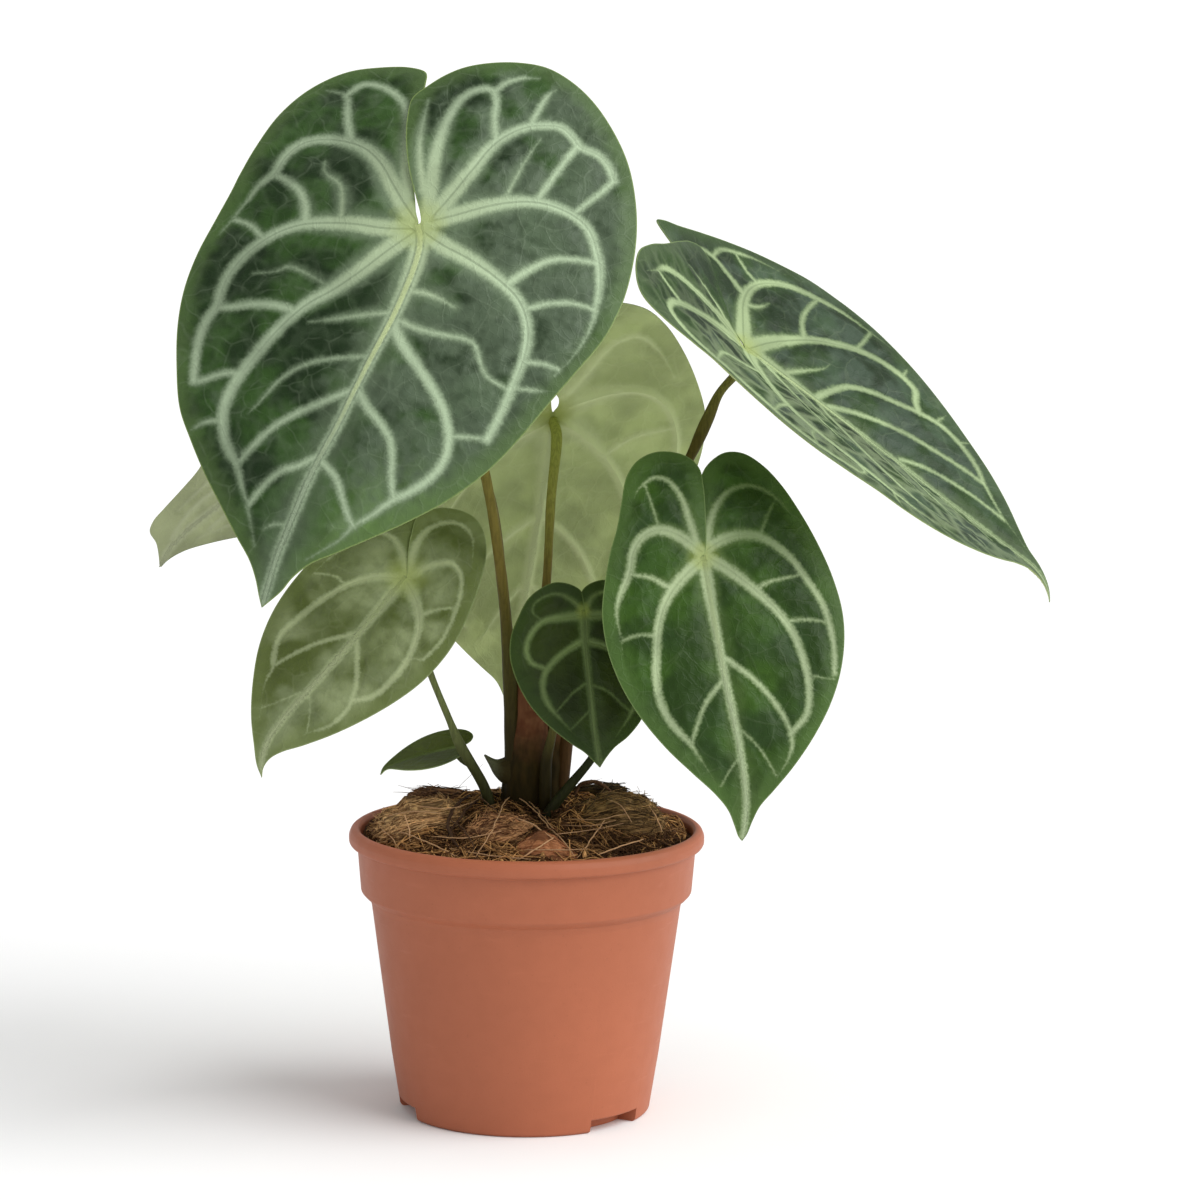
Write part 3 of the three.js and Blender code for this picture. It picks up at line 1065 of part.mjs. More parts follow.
// closed blade: both halves share the midrib, and both faces have the same triangles
function makeBlade(leaf, detail, grow) {
  const [edgeStep] = detail;
  leaf.midLine = curve(pairs(leaf.mid), 4);
  let midline = evenly(pairs(leaf.mid), detail[1]);
  let left = evenly([[0, 0], ...pairs(leaf.left)], edgeStep);
  let right = evenly([[0, 0], ...pairs(leaf.right)], edgeStep);
  left[0] = midline[0];
  right[0] = midline[0];
  left[left.length - 1] = midline[midline.length - 1];
  right[right.length - 1] = midline[midline.length - 1];
  let a;
  let b;
  for (let round = 0; round < 8; round += 1) {
    a = halfBlade(leaf, -1, left, midline, detail);
    b = halfBlade(leaf, 1, right, midline, detail);
    const missing = [...a.missing, ...b.missing];
    if (!missing.length) {
      break;
    }
    left = split(left, missing);
    right = split(right, missing);
    midline = split(midline, missing);
  }
  const lines = leaf.veins.map(([side, width, line]) => [side === 'l' ? -1 : 1, width,
    curve(pairs(line), 3)]);
  lines.push([0, MIDRIB_WIDTH * Math.min(1, leaf.half / 40), leaf.midLine]);
  const margins = [left, right];
  const top = [];
  const bottom = [];
  const ends = midline.length - 1;
  const place = (x, y, side, share) => {
    const { rise, rib } = relief(leaf, lines, margins, x, y, side);
    let normal = bladeNormal(leaf, x, y, side);
    if (share) {
      normal = unit(add(normal, bladeNormal(leaf, x, y, -side)));
    }
    const point = add(bladePoint(leaf, x, y, side), mul(normal, leaf.flip ? -rise : rise));
    top.push(add(point, mul(normal, grow + (leaf.flip ? rib : 0))));
    bottom.push(add(point, mul(normal, -grow - BLADE_THICKNESS - (leaf.flip ? 0 : rib))));
  };
  const number = [[], []];
  a.points.forEach(([x, y], i) => {
    number[0].push(top.length);
    place(x, y, -1, i > 0 && i <= ends);
  });
  b.points.forEach(([x, y], i) => {
    if (i <= ends) {
      number[1].push(i);
    } else {
      number[1].push(top.length);
      place(x, y, 1, false);
    }
  });
  const faces = [];
  [a, b].forEach((half, which) => {
    for (const t of half.triangles) {
      const [p, q, r] = t.map((i) => half.points[i]);
      const area = (q[0] - p[0]) * (r[1] - p[1]) - (q[1] - p[1]) * (r[0] - p[0]);
      const ids = t.map((i) => number[which][i]);
      faces.push(area > 0 ? [ids[0], ids[2], ids[1]] : ids);
    }
  });
  const count = top.length;
  const triangles = [...faces];
  const edges = new Map();
  for (const [p, q, r] of faces) {
    triangles.push([p + count, r + count, q + count]);
    for (const [from, to] of [[p, q], [q, r], [r, p]]) {
      if (!edges.delete(`${to},${from}`)) {
        edges.set(`${from},${to}`, [from, to]);
      }
    }
  }
  for (const [from, to] of edges.values()) {
    triangles.push([from, from + count, to + count]);
    triangles.push([from, to + count, to]);
  }
  return solid([...top, ...bottom], triangles);
}

// leaf stalk: its path, then the swollen joint that turns in under the blade
function stalkTube(spec, leaf, grow) {
  const normal = mul(bladeNormal(leaf, 0, 3, 1), leaf.flip ? -1 : 1);
  const face = leaf.flip ? BLADE_THICKNESS : 0;
  const seat = add(bladePoint(leaf, midribShift(leaf, 3), 3, 1), mul(normal, face));
  const before = spec.path[spec.path.length - 1];
  const joint = add(seat, mul(normal, -BLADE_THICKNESS - JOINT_DROP));
  const elbow = add(joint, mul(unit(sub(before, joint)), JOINT_LEAN));
  const stations = [...spec.path, elbow, seat].map((p, i) => [...p, spec.radii[i] || spec.top]);
  const line = curve(stations, 2);
  const back = mul(unit(sub(line[1].slice(0, 3), line[0].slice(0, 3))), -grow);
  line[0] = [...add(line[0].slice(0, 3), back), line[0][3]];
  return tube(line.map((p) => p.slice(0, 3)), line.map((p) => p[3] + grow), STALK_SIDES);
}

// assembly
const anthurium = new THREE.Group();
anthurium.name = 'potted_anthurium';

const blades = {};
for (const [name, leaf] of Object.entries(LEAVES)) {
  blades[name] = makeBlade(leaf, BLADE_DETAIL[name], 0);
}
const stalks = {};
const sockets = [];
for (const [name, spec] of Object.entries(STALKS)) {
  const room = makeBlade(LEAVES[name], BLADE_DETAIL[name], GAP);
  stalks[name] = mainPiece(stalkTube(spec, LEAVES[name], 0).subtract(room));
  sockets.push(stalkTube(spec, LEAVES[name], GAP * 1.12));
}
const stem = makeStem(0, sockets);
const stemSocket = makeStem(GAP, []);
const chips = [];
const chipSockets = [];
Object.entries(HUSK_CHIPS).forEach(([name, spec], i) => {
  let chip = huskChip(spec, 11 + i, 0);
  for (const cut of [...sockets, stemSocket, ...chipSockets]) {
    chip = chip.subtract(cut);
  }
  chips.push([name, mainPiece(chip)]);
  chipSockets.push(huskChip(spec, 11 + i, GAP));
});

anthurium.add(meshOf('pot', makePot(), COLOURS.pot));
anthurium.add(meshOf('potting_mix', makeMix(sockets, stemSocket), COLOURS.mix));
anthurium.add(meshOf('coir_mulch', makeMulch(chipSockets, [...sockets, stemSocket]), COLOURS.mulch));
for (const [name, chip] of chips) {
  anthurium.add(meshOf(`husk_chip_${name}`, chip, COLOURS.husk));
}
anthurium.add(meshOf('stem', stem, COLOURS.stem));
for (const [name, stalk] of Object.entries(stalks)) {
  anthurium.add(meshOf(`stalk_${name}`, stalk, COLOURS.stalk));
}
for (const [name, blade] of Object.entries(blades)) {
  const colour = name.startsWith('back') ? COLOURS.underside : COLOURS.leaf;
  anthurium.add(meshOf(`leaf_${name}`, blade, colour));
}

export default anthurium;
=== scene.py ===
"""Potted anthurium with silver-veined heart leaves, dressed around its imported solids.

Pieces are surfaces worked out in millimetres and put in the scene in metres, in the frame of the
solids: +Z up, origin in the middle of the pot's base, front of the plant towards -Y. The tables
hold millimetres, degrees and colours from 0 to 255.
"""

import bpy
import numpy as np
from bpy.props import FloatProperty, FloatVectorProperty, IntProperty, PointerProperty
from bpy.types import Operator, Panel, PropertyGroup
from mathutils import Matrix, Vector
from mathutils.geometry import delaunay_2d_cdt


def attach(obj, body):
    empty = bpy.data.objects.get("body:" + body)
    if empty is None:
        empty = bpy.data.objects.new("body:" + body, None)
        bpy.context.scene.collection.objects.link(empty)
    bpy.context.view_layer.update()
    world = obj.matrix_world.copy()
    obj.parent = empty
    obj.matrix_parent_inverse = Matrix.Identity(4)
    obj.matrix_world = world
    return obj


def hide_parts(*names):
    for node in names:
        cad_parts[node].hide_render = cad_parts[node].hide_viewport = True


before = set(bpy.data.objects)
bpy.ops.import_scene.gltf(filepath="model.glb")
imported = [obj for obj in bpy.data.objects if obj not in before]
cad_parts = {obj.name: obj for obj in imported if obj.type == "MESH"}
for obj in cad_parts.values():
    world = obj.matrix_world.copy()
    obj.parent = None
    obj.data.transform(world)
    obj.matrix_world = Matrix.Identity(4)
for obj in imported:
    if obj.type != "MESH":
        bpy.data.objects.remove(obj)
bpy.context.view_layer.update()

bl_info = {
    "name": "Potted silver-veined anthurium",
    "version": (1, 0, 0),
    "blender": (4, 5, 0),
    "location": "View3D > Sidebar > Anthurium",
    "description": "Makes an anthurium in a nursery pot, piece by piece",
    "category": "Add Mesh",
}

MM = 0.001
TURN = 2 * np.pi
RAD = np.pi / 180

# pot: height of its floor, then radius and height of its outside and inside, from the foot round
# the rim to the floor; corners are rounded by POT_CORNER, with CORNER_POINTS points each
POT_FLOOR = 2.2
POT_CORNER = 0.45
CORNER_POINTS = 4
POT_OUTSIDE = [
    (41.5, 0), (42.4, 0.9), (45.4, 19.9), (49.2, 47.8), (52.3, 70.9), (53, 73), (54.6, 74.2),
    (55.9, 75.6), (57.2, 91), (59.5, 91.5), (60, 92.4), (60, 94.5), (59.3, 96.2), (58.2, 97),
]
POT_INSIDE = [
    (57, 97), (56.1, 95.6), (55.6, 88.5), (54.3, 77), (50.8, 72), (47.6, 47.8), (43.8, 19.9),
    (40.8, POT_FLOOR),
]
POLE_RADIUS = 0.5
# drainage arches in the foot: directions from the front, half width and depth, and the raised
# pocket over each; their walls lean by WALL_LEAN and stand within WALL_ANGLE
NOTCH_AZIMUTHS = (47, 167, 287)
WALL_LEAN = 0.04
WALL_ANGLE = 0.1
NOTCH_HALF_ANGLE = 15
NOTCH_HEIGHT = 4.4
NOTCH_INNER = 36
NOTCH_LIP = [(42.5, NOTCH_HEIGHT), (42.98, NOTCH_HEIGHT + 0.4)]
POCKET_HALF_ANGLE = 17.6
POCKET_INNER = 34.3
POCKET_OUTER = 41.4
POCKET_TOP = 6.1

# mulch: height at the wall and in the middle, radius of the bed and of its mound, how far it is
# banked up against the wall, height of its lumps, and its bottom
MULCH_EDGE = 93
MULCH_CROWN = 105
MULCH_RADIUS = 55.2
MOUND_RADIUS = 55.5
MULCH_BANK = 1.5
MULCH_LUMP = 1.3
MULCH_BOTTOM = 84.4
# rings of the bed: radii along its bottom, radius and height up its side, and the number and the
# sides of those over the mound, down to a small hub
BED_RADII = np.linspace(2, 54, 6)
BED_SIDE = [(54.3, MULCH_BOTTOM), (54.8, 88), (MULCH_RADIUS, 91)]
BED_RINGS = 70
BED_SIDES = 200
BED_HUB = 0.012

# crumbs: height of each ring on a ball of radius 1, and its sides
CRUMB_RISE = np.array([-0.75, -0.3, 0.3, 0.75])
CRUMB_SIDES = 5
CRUMB_REACH = 53
# loose fibres: sides, thickness from end to end, and how far out their middles and ends may be
FIBRE_SIDES = 3
LOOSE_TAPER = np.array([0.5, 0.9, 1, 1, 1, 0.8, 0.4])
CHIP_TAPER = np.array([0.5, 1, 1, 1, 0.8, 0.4])
FIBRE_REACH = 52
FIBRE_LIMIT = 54

# bigger pieces of husk: middle, half sizes, turn and lean, roughness, how much the top and the back
# fall towards both ends, and the colours of their pale and dark fibres
HUSK_CHIPS = {
    "left": {"at": (-36, -12, 99.2), "size": (14.5, 12, 7), "turn": 12, "lean": (10, 12),
             "rough": 1.3, "fall": 0.25, "light": (214, 172, 120), "dark": (116, 84, 52)},
    "left_back": {"at": (-28, 15, 101), "size": (12, 7, 4.6), "turn": -8, "lean": (10, -8),
                  "rough": 1.0, "fall": 0.2, "light": (140, 100, 68), "dark": (72, 46, 28)},
    "middle": {"at": (-9, -30, 98.8), "size": (11, 9, 6.6), "turn": 20, "lean": (24, 6),
               "rough": 1.3, "fall": 0.3, "light": (186, 138, 94), "dark": (98, 62, 38)},
    "angular": {"at": (5.6, -43, 97.2), "size": (12, 6.6, 6.8), "turn": -6, "lean": (34, 2),
                "rough": 0.3, "fall": 1, "light": (172, 116, 78), "dark": (132, 80, 48)},
    "right": {"at": (30, -10, 101), "size": (14.5, 12, 8), "turn": 8, "lean": (10, 4),
              "rough": 1.1, "fall": 0.3, "light": (150, 118, 74), "dark": (80, 60, 34)},
    "right_back": {"at": (22, 21, 103.2), "size": (12, 4.6, 3.8), "turn": -14, "lean": (6, 8),
                   "rough": 0.6, "fall": 0.1, "light": (78, 60, 34), "dark": (40, 30, 16)},
}
CHIP_RINGS = 90
CHIP_SIDES = 110
CHIP_SQUARENESS = 0.62
# hollows between them, a little lower, with painted shade that darkens the coir there: middle and
# radius
HOLLOWS = np.array([(31, -33, 9), (-1, -31, 6), (-27, -16, 6), (-23, -27, 5), (-50, -12, 6),
                    (49, -18, 7), (14, -34, 6), (6, -14, 8)])
HOLLOW_DEPTH = 2
# strands that can be told apart: radius, tone and points; all are drawn a little thinner
STRAND_THIN = 0.64
STRAND_SIDES = 6
STRANDS = [
    (0.34, 0.74, [-18, 6, 104.5, -14, 2, 108, -6, -2, 108.6, 1.3, -16, 107, 7.5, -33, 103.8,
        12.3, -45.5, 101.8, 16.5, -50, 96.8]),
    (0.3, 0.7, [-5.5, 3, 108, 0.1, -6, 107.4, 4.7, -19, 105.2, 9.3, -39, 104.2]),
    (0.42, 0.95, [-2.6, -32, 106.2, 2.5, -37, 105.2, 9.2, -47, 102.6]),
    (0.38, 0.95, [9.4, -46.6, 102.8, 3.8, -50.4, 99.6, -2.4, -51.4, 96]),
    (0.36, 0.85, [27, -19.7, 104.4, 22.6, -33, 100.6, 17.6, -49, 96.6]),
    (0.38, 0.95, [39.6, -26, 98.4, 31.4, -38, 98.2, 23.8, -46, 96.9]),
    (0.34, 0.72, [-4.4, 2, 108, -7.4, -15, 108, -10.4, -38.5, 104.6, -16, -49, 96.4]),
    (0.45, 0.2, [-25.3, -24, 104.2, -21, -33, 103, -17.6, -42, 100.4, -15.4, -48, 96.6]),
    (0.9, 0.06, [-19.6, 2, 107, -23, -12, 107, -25.4, -22, 104.4, -24.6, -34, 101, -21, -43, 97.4]),
    (0.7, 0.1, [-16, -4, 107, -20, -16, 106, -22.6, -25, 104, -26.4, -36, 99.4]),
    (0.36, 0.8, [-53, -10, 97, -42, -24, 99.6, -31.4, -38, 98.6, -20.5, -49, 95.9]),
    (0.3, 0.75, [-49.5, -18, 100.2, -44.6, -27, 98.2, -41.4, -35, 95.6]),
    (0.34, 0.95, [-40.2, -23.6, 105.4, -39, -26.6, 102, -38.2, -31, 97.6]),
    (0.3, 0.85, [-31, -33, 100, -19, -39.5, 101, -7.4, -40.5, 103.6]),
    (0.34, 0.8, [41, -14, 107.8, 43.6, -19.5, 104.4, 45.6, -21.2, 99.8]),
    (0.3, 0.6, [9.8, -45.4, 103.6, 21.4, -33, 102.6, 32.6, -23, 103]),
    (0.34, 0.7, [-25, -42, 98, -11.3, -49.6, 97.2, 2.4, -52, 96.6]),
    (0.3, 0.7, [-36, -19, 107.4, -26, -20, 106.8, -14.5, -4, 107.6]),
    (0.28, 0.7, [-47, -19.7, 103.8, -38.6, -23, 106.2, -27.6, -23.5, 106]),
    (0.3, 0.65, [0, -50.4, 99.4, 10, -51, 99.6, 20.6, -44.5, 98.6]),
    (0.3, 0.75, [27.4, -14, 109.4, 32.4, -21, 108, 35, -24, 103.6]),
    (0.34, 0.35, [-15.6, 0, 107.4, -14.4, -12, 108.4, -7, -29, 106]),
    (0.26, 0.7, [14, -24, 104.6, 24, -28, 105.2, 33, -22, 106]),
    (0.26, 0.6, [12, -30, 103.6, 22, -32, 104, 30, -26, 104.6]),
    (0.16, 0.35, [-32, -6, 107, -38, -8, 109.4, -45, -10, 110.4]),
    (0.14, 0.3, [-31, -6, 107, -37.6, -7, 110.2, -43.4, -8, 112.2]),
    (0.16, 0.3, [-30, -5, 107, -33, -6, 109.6, -40, -7, 111.4]),
    (0.12, 0.4, [-26, -2, 106, -22, -2, 112, -14.6, -2, 118.6]),
    (0.12, 0.4, [34, -8, 108, 38, -8, 110.8, 37, -8, 112.8]),
    (1.1, 0.3, [15, 8, 105, 18.2, 9, 109.8, 23.2, 9.6, 110.6, 28.4, 10, 107.4]),
]

# short stem and the dry sheath that points to the left
STEM_PROFILE = [
    (6.4, 87), (8.2, 94), (8.6, 101), (8, 107), (7.7, 113), (7.9, 114.4), (7.4, 116), (7.1, 121),
    (6, 125.5), (3.4, 128.6), (0.6, 129.6),
]
STEM_AXIS = (-0.6, 0.5)
STEM_RINGS = 90
STEM_SIDES = 96
SHEATH = [(-3, -1, 116, 6), (-7.4, -1.6, 117, 4.8), (-9.8, -1.8, 117.9, 3.1),
          (-11.6, -1.9, 119.1, 1.6), (-14.4, -2, 121.8, 0.3)]
SHEATH_SIDES = 24
# dry sheaths that wrap the stalks above it: points and radius
WRAPS = {
    "front": [(-0.6, -0.6, 106, 8), (0, -1.4, 118, 7.2), (0.6, -1.8, 127, 6.3), (0.9, -2, 135, 5.6),
              (0, -2.2, 142, 4.8), (-1.2, -2.4, 148, 3.2), (-2.4, -2.6, 153, 1)],
    "right": [(5.4, 0.6, 103, 5.4), (6.8, 0.8, 113, 4.8), (8, 1.2, 122, 3.8), (8.8, 1.4, 130, 3),
              (9.6, 1.8, 138, 1)],
}
WRAP_SIDES = 48

# leaf stalks: points and radius up to the swollen joint, the joint's radius, and colours by how far
# up they are
STALKS = {
    "large_left": (
        [(-4.6, -1.5, 106, 2.9), (-4.9, -2.6, 122, 2.7), (-5.6, -5, 141, 2.5), (-8, -9.5, 176, 1.9),
         (-13.4, -15.5, 214, 1.7), (-22, -21.5, 251, 1.7), (-29.5, -25.5, 283, 2)], 2.3,
        [(0, (34, 28, 12)), (0.12, (56, 48, 20)), (0.25, (74, 70, 28)), (0.4, (104, 92, 40)),
         (0.7, (116, 110, 50)), (1, (150, 152, 80))]),
    "top_right": (
        [(9.9, 0.3, 95, 2.7), (11.8, 0.9, 115, 2.7), (14.9, 2, 140, 2.2), (23.6, 3, 171, 1.7),
         (40, 4, 200, 1.5), (52.2, 5, 219.5, 1.5), (59.4, 6, 235.2, 2.1),
         (63.4, 7.4, 244, 1.4)], 1.6,
        [(0, (44, 30, 12)), (0.2, (84, 58, 26)), (0.5, (72, 54, 20)), (0.8, (82, 74, 30)),
         (1, (130, 128, 70))]),
    "front_right": (
        [(4.6, -11.5, 99, 2.1), (8.2, -10.6, 105, 1.9), (14.6, -10.4, 113.4, 1.6),
         (21.2, -11, 121.8, 1.4), (36.5, -14, 147, 1.3), (45.5, -18, 165, 1.3),
         (52.4, -27, 181, 1.5)], 1.7,
        [(0, (38, 36, 18)), (0.3, (46, 54, 26)), (1, (84, 102, 52))]),
    "front_centre": (
        [(5.9, -6.6, 97, 2.2), (6.2, -8, 111, 2.1), (6.6, -9.2, 121.5, 1.9),
         (8.4, -10.6, 130.5, 1.4), (12.6, -15, 153, 1.2)], 1.3,
        [(0, (32, 26, 6)), (0.3, (44, 38, 12)), (0.42, (84, 80, 38)), (0.55, (106, 104, 58)),
         (1, (112, 120, 70))]),
    "lower_left": (
        [(-11.4, -7, 101, 2), (-14, -8.6, 111.4, 1.8), (-22.4, -12, 127.1, 1.8),
         (-25.8, -12.4, 135.2, 1.2), (-33.4, -12, 154.2, 1.15), (-38.2, -9, 172, 1.4)], 1.6,
        [(0, (36, 32, 16)), (0.2, (62, 64, 32)), (0.42, (100, 108, 64)), (1, (112, 122, 76))]),
    "back_centre": (
        [(2.4, 2.4, 105, 3), (2.2, 2.4, 120, 2.9), (2.3, 2.6, 133, 2.6), (4, 4, 157, 1.8),
         (6, 7.6, 180, 1.5), (7.2, 12.4, 207, 1.6)], 1.9,
        [(0, (54, 32, 14)), (0.3, (112, 70, 38)), (0.5, (106, 86, 42)), (0.72, (128, 124, 58)),
         (1, (150, 158, 76))]),
    "back_left": (
        [(-4.2, 5.6, 104, 1.8), (-4.6, 5.4, 118, 1.7), (-5.2, 3.5, 140, 1.5), (-7.9, 0, 174.5, 1.3),
         (-13.4, -5.5, 212.5, 1.3), (-24, -12, 231, 1.3), (-43, -16, 240, 1.3), (-62, 2, 240, 1.3),
         (-72, 34, 231, 1.4)], 1.5,
        [(0, (54, 44, 24)), (0.3, (104, 92, 54)), (1, (128, 134, 82))]),
    "young": (
        [(-11, 1, 99, 1.2), (-13, 1.6, 107.5, 1.1), (-17.4, 2.6, 115.5, 0.9)], 0.9,
        [(0, (44, 42, 24)), (1, (84, 92, 52))]),
}
STALK_SIDES = 24
# joint: its place on the midrib, how far it stands off the blade and leans back to the stalk, how
# far it sinks in, and the half width of the smallest blade with a whole one
JOINT_PLACE = 3.0
JOINT_DROP = 4.2
JOINT_LEAN = 2.4
JOINT_SINK = 0.45
SMALLEST_WITH_JOINT = 24

# blades: thickness, thickness at the margin and how far in it grows, how high panels stand between
# the veins and how far from them, depth of the ribs, width of the midrib, and width of the strip
# along the margin where all of this runs out
BLADE_THICKNESS = 0.8
MARGIN_THICKNESS = 0.35
MARGIN_GROWTH = 4
MARGIN_STRIP = 6
PANEL_RISE = 0.9
PANEL_REACH = 7
RIB_DEPTH = 0.35
RIB_PER_WIDTH = 0.22
MIDRIB_WIDTH = 3.4
# a lobe is lifted from this many degrees round the stalk, counted from the tip
LOBE_START = 75
# rows of points on a blade laid flat, as a share of the distance between them
ROW_STEP = 0.866
FAR = 1e3

